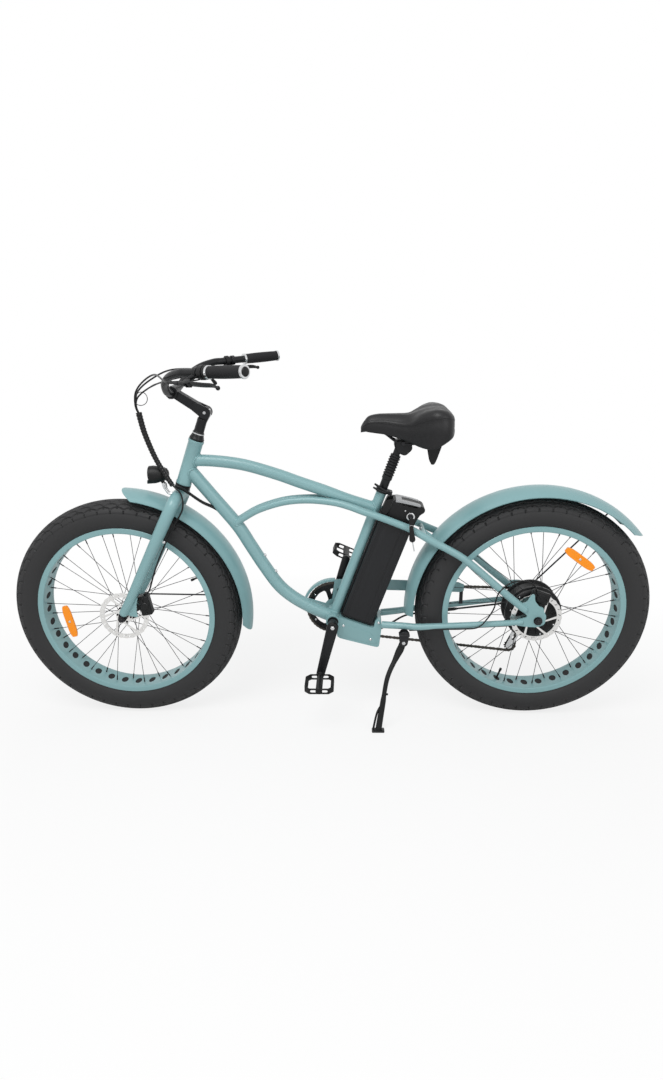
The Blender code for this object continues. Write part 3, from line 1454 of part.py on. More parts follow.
def build_kickstand():
    """The leg on its pin, bent outwards to the flat foot."""
    reach = LEFT * 0.0150
    solid = rod("kickstand", STAND_PIVOT - reach, STAND_PIVOT + reach, 0.0045, sides=8, origin=STAND_PIVOT)
    hub = rod("stand_hub", STAND_PIVOT - LEFT * 0.0082, STAND_PIVOT + LEFT * 0.0082, 0.0120)
    foot_height = ground_height(STAND_FOOT.y)
    leg = [
        STAND_PIVOT + Vector((0.002, 0, -0.004)),
        STAND_PIVOT + Vector((0.008, 0, -0.024)),
        (-0.2180, 0.0900, 0.2380),
        (-0.1900, 0.1200, 0.1840),
        (-0.1740, 0.1480, 0.1000),
        (-0.1640, 0.1670, foot_height + 0.0220),
        (-0.1610, 0.1735, foot_height + 0.0030),
    ]
    fuse(solid, hub, tube("stand_leg", leg, 0.0078, "black", resolution=2, end_radius=0.0068))
    upright = Matrix.Rotation(LEAN, 3, "X").to_quaternion()
    pad_centre = Vector((STAND_FOOT.x, STAND_FOOT.y, foot_height)) + upright @ Vector((0, 0, 0.0040))
    fuse(solid, block("stand_pad", pad_centre, (0.040, 0.026, 0.0080), "black", upright))


# Cables

HARNESS_PATH = [
    (0.5600, 0.016, 1.0440),
    (0.5530, 0.016, 1.0170),
    (0.5410, 0.016, 0.9530),
    (0.5160, 0.018, 0.8800),
    (0.4870, 0.024, 0.8260),
    (0.4660, 0.0340, 0.7960),
]
MAIN_PATH = [
    (0.4555, 0.0380, 0.7935),
    (0.4400, 0.0405, 0.7890),
    (0.4200, 0.0390, 0.7760),
    (0.4010, 0.0340, 0.7590),
    (0.3790, 0.0250, 0.7400),
    (0.3560, 0.0140, 0.7250),
    (0.3400, 0.0060, 0.7120),
]
MOTOR_CABLE_PATH = [
    (-0.1760, -0.0300, 0.2850),
    (-0.2100, -0.0520, 0.2950),
    (-0.2600, -0.0700, 0.3150),
    (-0.3300, -0.0785, 0.3230),
    (-0.4200, -0.0850, 0.3310),
    (-0.5200, -0.0920, 0.3400),
    (-0.5900, -0.1000, 0.3460),
    (-0.6350, -0.1100, 0.3560),
    (-0.6550, -0.1130, TYRE_RADIUS - 0.002),
]
FRONT_BRAKE_PATH = [
    (0.4720, 0.0310, 0.8030),
    (0.4560, 0.0520, 0.7960),
    (0.4340, 0.0620, 0.7720),
    (0.4330, 0.0700, 0.7300),
    (0.4600, 0.0760, 0.6820),
    (0.4930, 0.0770, 0.6230),
    (0.5250, 0.0780, 0.5600),
    (0.5560, 0.0760, 0.4950),
    (0.5760, 0.0690, 0.4620),
    (0.5860, 0.0640, 0.4495),
]


def lever_cable(side):
    """From the perch's adjuster in an arc forward and down into the harness."""
    inward = sided(-GRIP, side)
    start = sided(LEVER_PIVOT, side) + inward * 0.0612
    return [
        start,
        start + inward * 0.030 + UP * 0.004,
        Vector((0.470, 0.095 * side, 1.130)),
        Vector((0.520, 0.045 * side, 1.108)),
        Vector((0.552, 0.016 + 0.010 * side, 1.075)),
        Vector((0.5590, 0.016 + 0.003 * side, 1.036)),
    ]


def build_cables():
    """The wrapped harness with its thin cables, the run that crosses to the frame and the motor's cable."""
    harness = tube("cable_harness", HARNESS_PATH, 0.0088, "black", end_radius=0.0075, resolution=2)
    harness = meshed(harness)
    paths = (smooth(lever_cable(1), 2), smooth(lever_cable(-1), 2), FRONT_BRAKE_PATH)
    for number, path in enumerate(paths):
        fuse(harness, tube(f"brake_cable_{number}", path, 0.0026, "black", resolution=0))
    solid = meshed(tube("main_cables", smooth(MAIN_PATH, 2), 0.0060, "black", resolution=1))
    carve(solid, down_tube_tool("down_room_cables"))
    tube("motor_cable", MOTOR_CABLE_PATH, 0.0032, "black", resolution=1)


# Assembly


def stand_on_ground():
    """Leans the bicycle and brings the middle of its bounding box's underside to the origin."""
    ROOT.rotation_euler = (-LEAN, 0, 0)
    bpy.context.view_layer.update()
    graph = bpy.context.evaluated_depsgraph_get()
    low = Vector((math.inf,) * 3)
    high = Vector((-math.inf,) * 3)
    for thing in PARTS.objects:
        if thing.type == "EMPTY":
            continue
        shown = thing.evaluated_get(graph)
        mesh = shown.to_mesh()
        for vertex in mesh.vertices:
            spot = shown.matrix_world @ vertex.co
            low = Vector(map(min, low, spot))
            high = Vector(map(max, high, spot))
        shown.to_mesh_clear()
    ROOT.location = (-(low.x + high.x) / 2, -(low.y + high.y) / 2, -low.z)


build_frame()
build_fenders()
build_fork()
build_stem_riser()
build_stem_arm()
build_handlebar()
build_grip(1, "grip_left")
build_grip(-1, "grip_right")
build_controls()
build_brake_lever(1, "brake_lever_left")
build_brake_lever(-1, "brake_lever_right")
build_throttle_lever()
build_shift_lever()
build_headlight()
build_front_wheel()
build_rear_wheel()
build_brakes()
build_chain()
build_cranks()
build_pedal(1, "pedal_left")
build_pedal(-1, "pedal_right")
build_freewheel()
build_derailleur()
build_chain_guard()
build_seatpost()
build_seat_boot()
build_saddle()
build_saddle_frame()
build_seat_lever()
build_battery()
build_battery_key()
build_kickstand_bracket()
build_kickstand()
build_cables()
stand_on_ground()
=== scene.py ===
# %% [markdown]
# # An electric beach cruiser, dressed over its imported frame
#
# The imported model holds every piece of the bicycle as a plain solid, and every body that moves.
# This lesson puts a detailed piece in the place of each solid, with a finish made from nodes.
# It works in metres, and each piece rides on the body that it belongs to.

# %% Load the frame
import json
import math

import bmesh
import bpy
import numpy as np
from mathutils import Matrix, Vector
from mathutils.geometry import tessellate_polygon


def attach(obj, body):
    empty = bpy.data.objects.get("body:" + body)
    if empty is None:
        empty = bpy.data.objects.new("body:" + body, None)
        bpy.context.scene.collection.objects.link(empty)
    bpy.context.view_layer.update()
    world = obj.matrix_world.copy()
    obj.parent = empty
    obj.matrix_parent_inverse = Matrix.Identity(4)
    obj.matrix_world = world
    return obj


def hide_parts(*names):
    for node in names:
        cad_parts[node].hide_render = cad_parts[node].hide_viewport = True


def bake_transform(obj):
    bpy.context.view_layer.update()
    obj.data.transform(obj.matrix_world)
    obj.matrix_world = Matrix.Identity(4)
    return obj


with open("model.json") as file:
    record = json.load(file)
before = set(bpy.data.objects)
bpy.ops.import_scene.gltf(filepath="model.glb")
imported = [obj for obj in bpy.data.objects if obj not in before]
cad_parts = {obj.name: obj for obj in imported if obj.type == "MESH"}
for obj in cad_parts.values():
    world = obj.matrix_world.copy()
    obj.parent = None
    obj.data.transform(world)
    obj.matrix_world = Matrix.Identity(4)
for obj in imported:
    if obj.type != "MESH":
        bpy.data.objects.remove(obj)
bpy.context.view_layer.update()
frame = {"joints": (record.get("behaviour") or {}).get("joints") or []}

# %% [markdown]
# ## Two frames of reference
#
# A bicycle is easy to draw upright, with X forward, Y to its left and Z up.
# The real one leans eight degrees onto its kickstand.
# So every shape below is worked out upright, and one turn and one shift carry it to the leaning model.
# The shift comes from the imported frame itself: the crank's joint says where the bottom bracket is.

# %% From the upright bicycle to the leaning one
LEAN = math.radians(8)
TURN = np.array([[1, 0, 0], [0, math.cos(LEAN), math.sin(LEAN)], [0, -math.sin(LEAN), math.cos(LEAN)]])
BOTTOM_BRACKET = np.array([-0.017, 0, 0.345])
crank_joint = next(j for j in frame["joints"] if j["name"] == "crank_spin")
SHIFT = np.array(crank_joint["pos_m"]) - TURN @ BOTTOM_BRACKET
print("shift:", SHIFT.round(5))


def to_world(points):
    """Each upright point turned by the lean and moved by the shift."""
    return np.asarray(points, float) @ TURN.T + SHIFT


def vec(*numbers):
    """Numbers as an array of decimals."""
    return np.array(numbers, float)


def unit(v):
    """A vector, or each row of an array, divided by its own length."""
    v = np.asarray(v, float)
    return v / np.linalg.norm(v, axis=-1, keepdims=True)


# %% [markdown]
# ## The bicycle's own measures
#
# These are the few values that many pieces share, the same ones that the solids were drawn with.
# A designer would keep them in one table for the same reason: when one changes, everything follows.

# %% Shared measures
UP = vec(0, 0, 1)
LEFT = vec(0, 1, 0)
TYRE_RADIUS = 0.3725
TYRE_SECTION = 0.0515
FRONT_AXLE = vec(0.655, 0, TYRE_RADIUS)
REAR_AXLE = vec(-0.655, 0, TYRE_RADIUS)
HEAD_TOP = vec(0.3926, 0, 0.9217)
HEAD_BOTTOM = vec(0.4406, 0, 0.7939)
SEAT_TOP = vec(-0.171, 0, 0.763)
STEERING = unit(HEAD_TOP - HEAD_BOTTOM)
SEATING = unit(SEAT_TOP - BOTTOM_BRACKET)
SEAT_BACK = vec(-SEATING[2], 0, SEATING[0])
BAR_CLAMP = vec(0.4484, 0, 1.0721)
STEM_PIVOT = vec(0.356, 0, 1.012)
GRIP_INNER = vec(0.279, 0.281, 1.148)
GRIP_OUTER = vec(0.174, 0.353, 1.154)
GRIP = unit(GRIP_OUTER - GRIP_INNER)
SIDES = {1: "left", -1: "right"}


def sided(points, side):
    """The same points, or their mirror images on the right where side is -1."""
    return np.asarray(points, float) * (1, side, 1)


# %% [markdown]
# ## Shapes as arrays
#
# A mesh is a list of points and a list of faces. The program's own operators could make each shape, one
# click or call a piece. Here a shape is worked out as whole arrays of numbers, because one formula then
# gives any piece of its kind. A shape below is a pair: its points, and a list of face tables whose rows are
# numbers of points.

# %% Grids, joins and smooth lines
def grid_faces(rows, columns, close_rows=False, close_columns=False):
    """Four-sided faces between neighbours of a grid of points, joined round where a side is closed."""
    i, j = np.meshgrid(np.arange(rows if close_rows else rows - 1),
                       np.arange(columns if close_columns else columns - 1), indexing="ij")
    after_i = (i + 1) % rows
    after_j = (j + 1) % columns
    corners = (i * columns + j, after_i * columns + j, after_i * columns + after_j, i * columns + after_j)
    return np.stack(corners, -1).reshape(-1, 4)


def join(*shapes):
    """Several shapes as one: points in a row, and face numbers raised by the count of points before."""
    points = []
    faces = []
    start = 0
    for spots, tables in shapes:
        points.append(spots)
        faces += [np.asarray(table) + start for table in tables]
        start += len(spots)
    return np.concatenate(points), faces


def capped(rows, columns):
    """The faces of a closed tube: the wall between its rings, and one many-sided face at each end."""
    ends = np.arange(columns)
    return [grid_faces(rows, columns, False, True), ends[None, ::-1], ends[None] + (rows - 1) * columns]


def smooth(points, steps=8):
    """A smooth curve: a cubic between each two points, whose slope at a point is half the step from
    the point before it to the point after it."""
    p = np.asarray(points, float)
    p = np.concatenate([[2 * p[0] - p[1]], p, [2 * p[-1] - p[-2]]])
    a, b, c, d = (p[i:len(p) - 3 + i, None] for i in range(4))
    t = (np.arange(steps) / steps)[None, :, None]
    curve = 0.5 * (2 * b + (c - a) * t + (2 * a - 5 * b + 4 * c - d) * t**2 + (3 * b - a - 3 * c + d) * t**3)
    return np.concatenate([curve.reshape(-1, p.shape[-1]), p[-2:-1]])


def run(path):
    """The distance along a line at each of its points: the sum of the steps before it."""
    return np.concatenate([[0], np.cumsum(np.linalg.norm(np.diff(path, axis=0), axis=1))])


def even(path, count):
    """The same line with its points at equal distances along it."""
    along = run(path)
    at = np.linspace(0, along[-1], count)
    return np.stack([np.interp(at, along, path[:, k]) for k in range(3)], -1)


# %% [markdown]
# ## Tubes, turned pieces, plates and blocks
#
# Four ways of making a surface cover most of a bicycle.
# A tube is a circle carried along a line, a turned piece is a profile spun round an axis,
# a plate is a flat outline with thickness, and a block is a box whose edges are rounded.
# Each is a formula in two numbers, so its points come out as one array.

# %% Angles, spans and profiles
def full_turn(count):
    """Angles spread evenly over one whole turn."""
    return np.linspace(0, 2 * math.pi, count, endpoint=False)


def spun(radius, y, turn):
    """Points at these radii, these Y and these angles round the Y axis."""
    return np.stack([radius * np.cos(turn), y + 0 * turn, radius * np.sin(turn)], -1)


def span(point, way, start, end):
    """The two points at these distances from a point along a direction."""
    return point + way * start, point + way * end


def sleeve(inner, outer, low, high, across, along):
    """The closed profile of a ring: two radii, two heights, and how far each slope goes in and along."""
    return [(inner, low), (outer - across, low), (outer, low + along), (outer, high - along),
            (outer - across, high), (inner, high), (inner, low)]


# %% Four ways to make a surface
def across(path, closed=False):
    """Two directions across a line at each point. The first is at right angles to the line and to the
    normal of the plane that fits it best, the second to both."""
    ahead = np.roll(path, -1, 0) - np.roll(path, 1, 0) if closed else np.gradient(path, axis=0)
    ahead = unit(ahead)
    flat = np.linalg.svd(path - path.mean(0))[2][2]
    first = unit(np.cross(ahead, flat))
    return first, np.cross(ahead, first)


def tube(path, radius, sides=20, closed=False, squeeze=1.0):
    """Point (i, j) is path i plus radius i times (cos j of the first direction + sin j of the second). The
    radius is one number, one for each i, or a table for each i and j."""
    path = np.asarray(path, float)
    first, second = across(path, closed)
    radius = np.asarray(radius, float)
    radius = radius[..., None] if radius.ndim == 2 else np.broadcast_to(radius, len(path))[:, None, None]
    turn = full_turn(sides)[None, :, None]
    out = np.cos(turn) * first[:, None] + squeeze * np.sin(turn) * second[:, None]
    points = path[:, None] + radius * out
    faces = [grid_faces(len(path), sides, True, True)] if closed else capped(len(path), sides)
    return points.reshape(-1, 3), faces


def turned(profile, centre, axis, steps=48, shape=None):
    """Point (i, j) is the centre plus height i along the axis plus radius i times the direction at angle j.
    shape may multiply the radius at each angle."""
    profile = np.asarray(profile, float)
    axis = unit(axis)
    first = unit(np.cross(axis, vec(1, 0, 0) if abs(axis[0]) < 0.7 else UP))
    second = np.cross(axis, first)
    turn = full_turn(steps)
    out = np.cos(turn)[:, None] * first + np.sin(turn)[:, None] * second
    scale = np.ones(steps) if shape is None else shape(turn)
    points = centre + profile[:, 1, None, None] * axis + profile[:, 0, None, None] * out * scale[:, None]
    return points.reshape(-1, 3), [grid_faces(len(profile), steps, False, True)]


def rod(start, end, radius, chamfer=0.0006, steps=24, end_radius=None, shape=None):
    """A round bar or cone with small slopes at its two edges, turned about the line between its ends."""
    start = np.asarray(start, float)
    length = float(np.linalg.norm(np.asarray(end) - start))
    last = radius if end_radius is None else end_radius
    profile = [(0, 0), (radius - chamfer, 0), (radius, chamfer), (last, length - chamfer)]
    profile += [(last - chamfer, length), (0, length)]
    return turned(profile, start, np.asarray(end) - start, steps, shape=shape)


def ball(centre, radius, steps=20):
    """A sphere as half a circle turned about its own axis."""
    half = np.linspace(0, math.pi, steps // 2 + 1)
    return turned(np.stack([radius * np.sin(half), -radius * np.cos(half)], -1), centre, UP, steps)


def hexagon(turn):
    """How much nearer the flat of a hexagon is than its corner, at each angle."""
    return math.cos(math.pi / 6) / np.cos((turn + math.pi / 6) % (math.pi / 3) - math.pi / 6)


def nut(start, end, radius):
    """A hexagonal nut or bolt head between two points."""
    return rod(start, end, radius, 0.0005, 24, shape=hexagon)


def plate(outlines, y, thickness, origin=None, first=(1, 0, 0), second=(0, 0, 1)):
    """A flat piece: its first outline filled, the others left open as holes, the same on both faces, and a
    wall along each outline. An outline's pair (a, b) is the point a along first plus b along second.
    Without an origin it lies at that Y in the bicycle's plane."""
    first = unit(first)
    second = unit(second)
    normal = np.cross(second, first)
    origin = (0 * LEFT if origin is None else np.asarray(origin, float)) + LEFT * y
    outlines = [np.asarray(o, float) for o in outlines]
    flat = np.concatenate(outlines)
    fill = tessellate_polygon([[Vector((*p, 0)) for p in o] for o in outlines])
    fill = np.array([list(t) for t in fill])
    middle = origin + flat[:, :1] * first + flat[:, 1:] * second
    points = np.concatenate([middle - normal * thickness / 2, middle + normal * thickness / 2])
    faces = [fill, fill[:, ::-1] + len(flat)]
    start = 0
    for outline in outlines:
        a = np.arange(len(outline)) + start
        b = np.roll(a, -1)
        faces.append(np.stack([a, b, b + len(flat), a + len(flat)], -1))
        start += len(outline)
    return points, faces


def block(centre, size, radius, directions=None, count=6):
    """A box with round edges: each point is (half size - radius) times the signs of a direction, plus radius
    times that direction, for directions spread over the six faces of a cube."""
    spread = np.tan(np.linspace(-1, 1, count) * math.pi / 4)
    a, b = np.meshgrid(spread, spread, indexing="ij")
    c = np.ones_like(a)
    sheets = []
    for k in range(3):
        for sign in (1, -1):
            cube = np.stack([sign * c, a, b], -1).reshape(-1, 3)
            out = unit(np.roll(cube, k, 1))
            spots = (np.asarray(size) / 2 - radius) * np.sign(np.round(out, 9)) + radius * out
            sheets.append((spots, [grid_faces(count, count)]))
    points, faces = join(*sheets)
    if directions is not None:
        points = points @ np.asarray(directions, float)
    return points + centre, faces


def circle_part(centre, radius, turn):
    """Points at these angles of a circle: the centre plus the radius times the cosine and the sine."""
    return np.asarray(centre) + radius * np.stack([np.cos(turn), np.sin(turn)], -1)


def circle(radius, count, centre=(0, 0)):
    """A whole circle's outline."""
    return circle_part(centre, radius, full_turn(count))


def flat_arm(start, start_radius, end, end_radius, count=9):
    """The outline of a flat arm with a half circle at each end."""
    start = np.asarray(start, float)
    end = np.asarray(end, float)
    heading = math.atan2(*(end - start)[::-1])
    half = np.linspace(0, math.pi, count)
    tip = circle_part(end, end_radius, heading - math.pi / 2 + half)
    tail = circle_part(start, start_radius, heading + math.pi / 2 + half)
    return np.concatenate([tip, tail])


def in_plane(point):
    """A point's pair (x, z) in the bicycle's own plane."""
    return np.asarray(point, float)[[0, 2]]


def radial(axle, distance, degrees, y=0.0):
    """A point by its distance from an axle and its angle in the bicycle's plane."""
    turn = np.radians(degrees)
    out = np.stack([np.cos(turn), np.zeros_like(turn), np.sin(turn)], -1)
    return axle + distance * out + LEFT * y


# %% [markdown]
# ## Putting a piece on the bicycle
#
# A finished piece is one object at the origin, and its mesh holds its place. It rides on a body, it may
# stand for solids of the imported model, and its material slot says which finish it has. The seams of closed
# surfaces are merged first, because only then can inside be told from outside.

# %% One function that adds a piece
PIECES = {}


def make_mesh(name, shape):
    """A mesh of the shape in the leaning frame, doubles merged and every face turned outwards."""
    points, tables = shape
    mesh = bpy.data.meshes.new(name)
    faces = [row for table in tables for row in np.asarray(table).tolist()]
    mesh.from_pydata(to_world(points).tolist(), [], faces)
    work = bmesh.new()
    work.from_mesh(mesh)
    bmesh.ops.remove_doubles(work, verts=work.verts, dist=0.000004)
    bmesh.ops.recalc_face_normals(work, faces=work.faces)
    work.to_mesh(mesh)
    work.free()
    return mesh


def put(name, shape, material, body, replaces=(), bevel=0.0, smooth_angle=35):
    """Adds the shape as an object with its material, its body and the solids it stands for."""
    mesh = make_mesh(name, shape)
    mesh.materials.append(material)
    mesh.shade_smooth()
    mesh.set_sharp_from_angle(angle=math.radians(smooth_angle))
    piece = bpy.data.objects.new(name, mesh)
    bpy.context.scene.collection.objects.link(piece)
    if bevel:
        rounding = piece.modifiers.new("rounding", "BEVEL")
        rounding.width = bevel
        rounding.segments = 2
        rounding.limit_method = "ANGLE"
    if body:
        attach(piece, body)
    if replaces:
        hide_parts(*replaces)
    PIECES[name] = piece
    return piece

# %% [markdown]
# ## The camera
#
# The photograph looks at the bicycle's left side from a little above, with the whole bicycle inside the
# frame. The camera's place and turn were worked out from the two wheels, the tubes and the axles, in the
# upright frame. A focal length of 666 pixels over a long side of 1080 is a lens of 22.2 mm on a 36 mm
# sensor.

# %% Camera at the photograph's viewpoint
EYE = vec(-0.09076, 1.99432, 1.27507)
RIGHT = vec(-0.999341, -0.033054, -0.015017)
ABOVE = vec(-0.003748, -0.317493, 0.948253)
FOCAL_PIXELS, LONG_SIDE, SENSOR = 665.95, 1080, 36
optics = bpy.data.cameras.new("camera")
optics.lens = FOCAL_PIXELS / LONG_SIDE * SENSOR
optics.sensor_width = SENSOR
optics.sensor_fit = "AUTO"
optics.clip_end = 60
camera = bpy.data.objects.new("camera", optics)
bpy.context.scene.collection.objects.link(camera)
axes = np.stack([TURN @ RIGHT, TURN @ ABOVE, TURN @ np.cross(RIGHT, ABOVE)], -1)
place = np.eye(4)
place[:3, :3] = axes
place[:3, 3] = to_world(EYE)
camera.matrix_world = Matrix(place.tolist())
bpy.context.scene.camera = camera
print("camera at", to_world(EYE).round(3), "lens", round(optics.lens, 2), "mm")

# %% [markdown]
# ## Light, floor and background
#
# The photograph was taken in a white studio with large soft lamps. The world is plain white where the
# camera, a gloss or glass sees it, and a dimmer white where it lights things. Two broad lamps, one high in
# front of the bicycle and one behind the camera, give the tubes their soft tops. The floor keeps the
# bicycle's shadow, and fades to the background's white further out.

# %% Colours and nodes
def colour(code):
    """A colour from its sRGB hex code: each channel to linear light by the sRGB curve."""
    channels = np.array([int(code[k:k + 2], 16) for k in (1, 3, 5)]) / 255
    linear = np.where(channels <= 0.04045, channels / 12.92, ((channels + 0.055) / 1.055) ** 2.4)
    return (*linear.tolist(), 1.0)


def add(tree, kind, values=None, links=None, **settings):
    """A node of that kind with its settings, its sockets' values and its links from other sockets."""
    node = tree.nodes.new("ShaderNode" + kind)
    for name, value in settings.items():
        setattr(node, name, value)
    for socket, value in (values or {}).items():
        node.inputs[socket].default_value = value
    for socket, source in (links or {}).items():
        tree.links.new(source, node.inputs[socket])
    return node


# %% World, lamps and floor
world = bpy.data.worlds.new("studio")
bpy.context.scene.world = world
world.use_nodes = True
tree = world.node_tree
tree.nodes.clear()
seen = add(tree, "LightPath")
either = seen.outputs["Is Camera Ray"]
for ray in ("Is Glossy Ray", "Is Transmission Ray"):
    either = add(tree, "Math", links={0: either, 1: seen.outputs[ray]}, operation="MAXIMUM").outputs[0]
dim = add(tree, "Background", {"Color": colour("#FFFFFF"), "Strength": 0.5})
bright = add(tree, "Background", {"Color": colour("#FFFFFF"), "Strength": 1.0})
mixed = add(tree, "MixShader", links={0: either, 1: dim.outputs[0], 2: bright.outputs[0]})
tree.links.new(mixed.outputs[0], add(tree, "OutputWorld").inputs["Surface"])


def lamp(name, place, aim, size, power):
    """A square soft box at a point, turned to face another."""
    light = bpy.data.lights.new(name, "AREA")
    light.size = size
    light.energy = power
    thing = bpy.data.objects.new(name, light)
    bpy.context.scene.collection.objects.link(thing)
    thing.location = place
    thing.rotation_euler = (Vector(aim) - Vector(place)).to_track_quat("-Z", "Y").to_euler()


lamp("key_box", (0.7, 1.9, 3.0), (0, 0, 0.5), 1.8, 58)
lamp("fill_box", (-1.9, 2.6, 1.7), (0, 0, 0.5), 1.8, 18)

floor_mesh = bpy.data.meshes.new("studio_floor")
rings = [(r * math.cos(t), r * math.sin(t), 0.0) for r in (0.0001, 1.5, 3.0, 6.0) for t in full_turn(48)]
floor_mesh.from_pydata(rings, [], grid_faces(4, 48, False, True).tolist())
floor = bpy.data.objects.new("studio_floor", floor_mesh)
bpy.context.scene.collection.objects.link(floor)
if floor_mesh.polygons[60].normal.z < 0:
    floor_mesh.flip_normals()
floor_white = bpy.data.materials.new("matt_white_studio_floor")
floor_white.use_nodes = True
tree = floor_white.node_tree
tree.nodes.clear()
seen = add(tree, "LightPath")
spot = add(tree, "TexCoord")
away = add(tree, "VectorMath", links={0: spot.outputs["Object"]}, operation="LENGTH")
fade = add(tree, "MapRange", {"From Min": 0.9, "From Max": 2.2, "To Min": 0.8, "To Max": 1.0},
           {"Value": away.outputs["Value"]})
share = add(tree, "Math", links={0: seen.outputs["Is Camera Ray"], 1: fade.outputs[0]}, operation="MULTIPLY")
matt = add(tree, "BsdfDiffuse", {"Color": colour("#F4F4F4")})
white = add(tree, "Emission", {"Color": colour("#FFFFFF"), "Strength": 1.0})
mixed = add(tree, "MixShader", links={0: share.outputs[0], 1: matt.outputs[0], 2: white.outputs[0]})
tree.links.new(mixed.outputs[0], add(tree, "OutputMaterial").inputs["Surface"])
floor_mesh.materials.append(floor_white)
bpy.context.scene.view_settings.view_transform = "Standard"

# %% [markdown]
# ## Finishes
#
# Each finish starts from the real material and from how its surface was made.
# A coat of powder flows into a faint orange peel, moulded plastic takes the fine grain of its mould,
# pressed vinyl carries a leather grain, and rolled steel keeps the lines of its grinding.
# These grains are patterns in the shader, because they are far too small to be worth faces.

# %% The start of every finish
def finish(name, code, roughness, metallic=0.0, **sockets):
    """A material with its shader's own sockets set, its tree, and Object coordinates to draw grain with."""
    material = bpy.data.materials.new(name)
    material.use_nodes = True
    tree = material.node_tree
    shader = tree.nodes["Principled BSDF"]
    shader.inputs["Base Color"].default_value = colour(code)
    shader.inputs["Roughness"].default_value = roughness
    shader.inputs["Metallic"].default_value = metallic
    for socket, value in sockets.items():
        shader.inputs[socket.replace("_", " ")].default_value = value
    spot = add(tree, "TexCoord").outputs["Object"]
    return material, tree, shader, spot


def bumped(made, height, strength, depth):
    """Tilts the surface by a height, as deep in metres as given."""
    bump = add(made[1], "Bump", {"Strength": strength, "Distance": depth}, {"Height": height})
    made[1].links.new(bump.outputs[0], made[2].inputs["Normal"])


def shaded(made, share, shades):
    """Moves the colour from one shade to the other with a share."""
    mixed = add(made[1], "Mix", links={0: share}, data_type="RGBA")
    for socket, code in zip((6, 7), shades):
        mixed.inputs[socket].default_value = colour(code)
    made[1].links.new(mixed.outputs[2], made[2].inputs["Base Color"])


def roughened(made, share, rough):
    """Roughness goes from one value to the other as a noise goes from 0.3 to 0.7, where most of it lies."""
    ends = {"From Min": 0.3, "From Max": 0.7, "To Min": rough[0], "To Max": rough[1]}
    spread = add(made[1], "MapRange", ends, {"Value": share})
    made[1].links.new(spread.outputs[0], made[2].inputs["Roughness"])


def grained(made, grain, depth, shades, rough=None, cloud=0.05, stretch=None):
    """Adds a noise of that grain size in metres as bump, and slow clouds that shift the colour between two
    shades and the roughness between two values."""
    material, tree, _, spot = made
    at = add(tree, "Mapping", {"Scale": stretch}, {"Vector": spot}).outputs[0] if stretch else spot
    noise = add(tree, "TexNoise", {"Scale": 1 / grain, "Detail": 2.0}, {"Vector": at})
    bumped(made, noise.outputs[0], 0.5, depth)
    slow = add(tree, "TexNoise", {"Scale": 1 / cloud, "Detail": 3.0}, {"Vector": spot})
    shaded(made, slow.outputs[0], shades)
    if rough:
        roughened(made, slow.outputs[0], rough)
    return material


# %% Paint, plastics and rubbers
# Satin powder coat on aluminium: sprayed dry and baked, so it has a soft sheen and a faint orange peel.
POWDER_COAT = grained(finish("satin_powder_coat", "#7EA6A9", 0.34, Coat_Weight=0.25, Coat_Roughness=0.32),
                      0.0014, 0.00006, ("#7CA4A7", "#82AAAD"), (0.31, 0.4))
# Tyre rubber, pressed hot in a steel mould: matt carbon black that soon greys on its raised parts.
TYRE_RUBBER = grained(finish("moulded_tyre_rubber", "#2A2A2B", 0.6, Specular_IOR_Level=0.35), 0.0012,
                      0.00012, ("#272728", "#2D2D2E"), (0.52, 0.68))
# Glass-filled nylon, injection moulded in a spark-etched mould: black with a fine matt grain.
NYLON = grained(finish("moulded_black_nylon", "#121213", 0.48, Specular_IOR_Level=0.28), 0.0007, 0.00008,
                ("#101011", "#161617"), (0.42, 0.55))
# Black anodised aluminium, bead blasted first: an even satin that catches long highlights.
ANODISED = grained(finish("black_anodised_aluminium", "#131416", 0.33, Specular_IOR_Level=0.28), 0.0005,
                   0.00003, ("#111214", "#17181A"), (0.28, 0.38))
# Soft grip rubber, moulded: matt and slightly greasy at the touch.
GRIP_RUBBER = grained(finish("grip_rubber", "#18181A", 0.66, Specular_IOR_Level=0.28), 0.0008, 0.0001,
                      ("#151517", "#1D1D1F"), (0.6, 0.75))
# Cable sheath, extruded vinyl over wire: smooth, black and a little glossy.
SHEATH = grained(finish("extruded_cable_sheath", "#0F0F10", 0.34, Specular_IOR_Level=0.3), 0.003, 0.00004,
                 ("#0D0D0E", "#131314"), (0.28, 0.42))
# Cast and painted motor shell: sand grain under a half-gloss black.
CAST_BLACK = grained(finish("painted_cast_aluminium", "#101112", 0.36, Specular_IOR_Level=0.28), 0.0016,
                     0.00012, ("#0E0F10", "#151617"), (0.3, 0.45))
# Extruded and anodised battery case: faint drawing lines along its length, drawn 1 mm apart so they show.
BATTERY_SHELL = grained(finish("extruded_battery_case", "#18191B", 0.38, Specular_IOR_Level=0.3), 0.001,
                        0.00004, ("#161719", "#1C1D20"), (0.33, 0.43), stretch=(1, 1, 0.05))

# %% Metals
# Ground stainless steel: bright, with the short scratches of the belt that ground it.
STAINLESS = grained(finish("ground_stainless_steel", "#E9E8E6", 0.28, 1.0), 0.0006, 0.00003,
                    ("#E2E1DF", "#F0EFED"), (0.22, 0.34), stretch=(1, 1, 0.2))
# Polished and clear-coated aluminium: rings, caps, bolts and the shifting mechanism's arms.
BRIGHT_ALLOY = grained(
    finish("polished_aluminium", "#D2D3D4", 0.18, 1.0), 0.004, 0.00002, ("#CBCCCD", "#DADBDC"), (0.14, 0.24))
# Blackened steel of spokes, axles and screws: a thin oxide with a dull metal gleam.
BLACK_STEEL = grained(
    finish("blackened_steel", "#2A2A2C", 0.36, 0.6), 0.001, 0.00003, ("#252527", "#303033"), (0.3, 0.42))
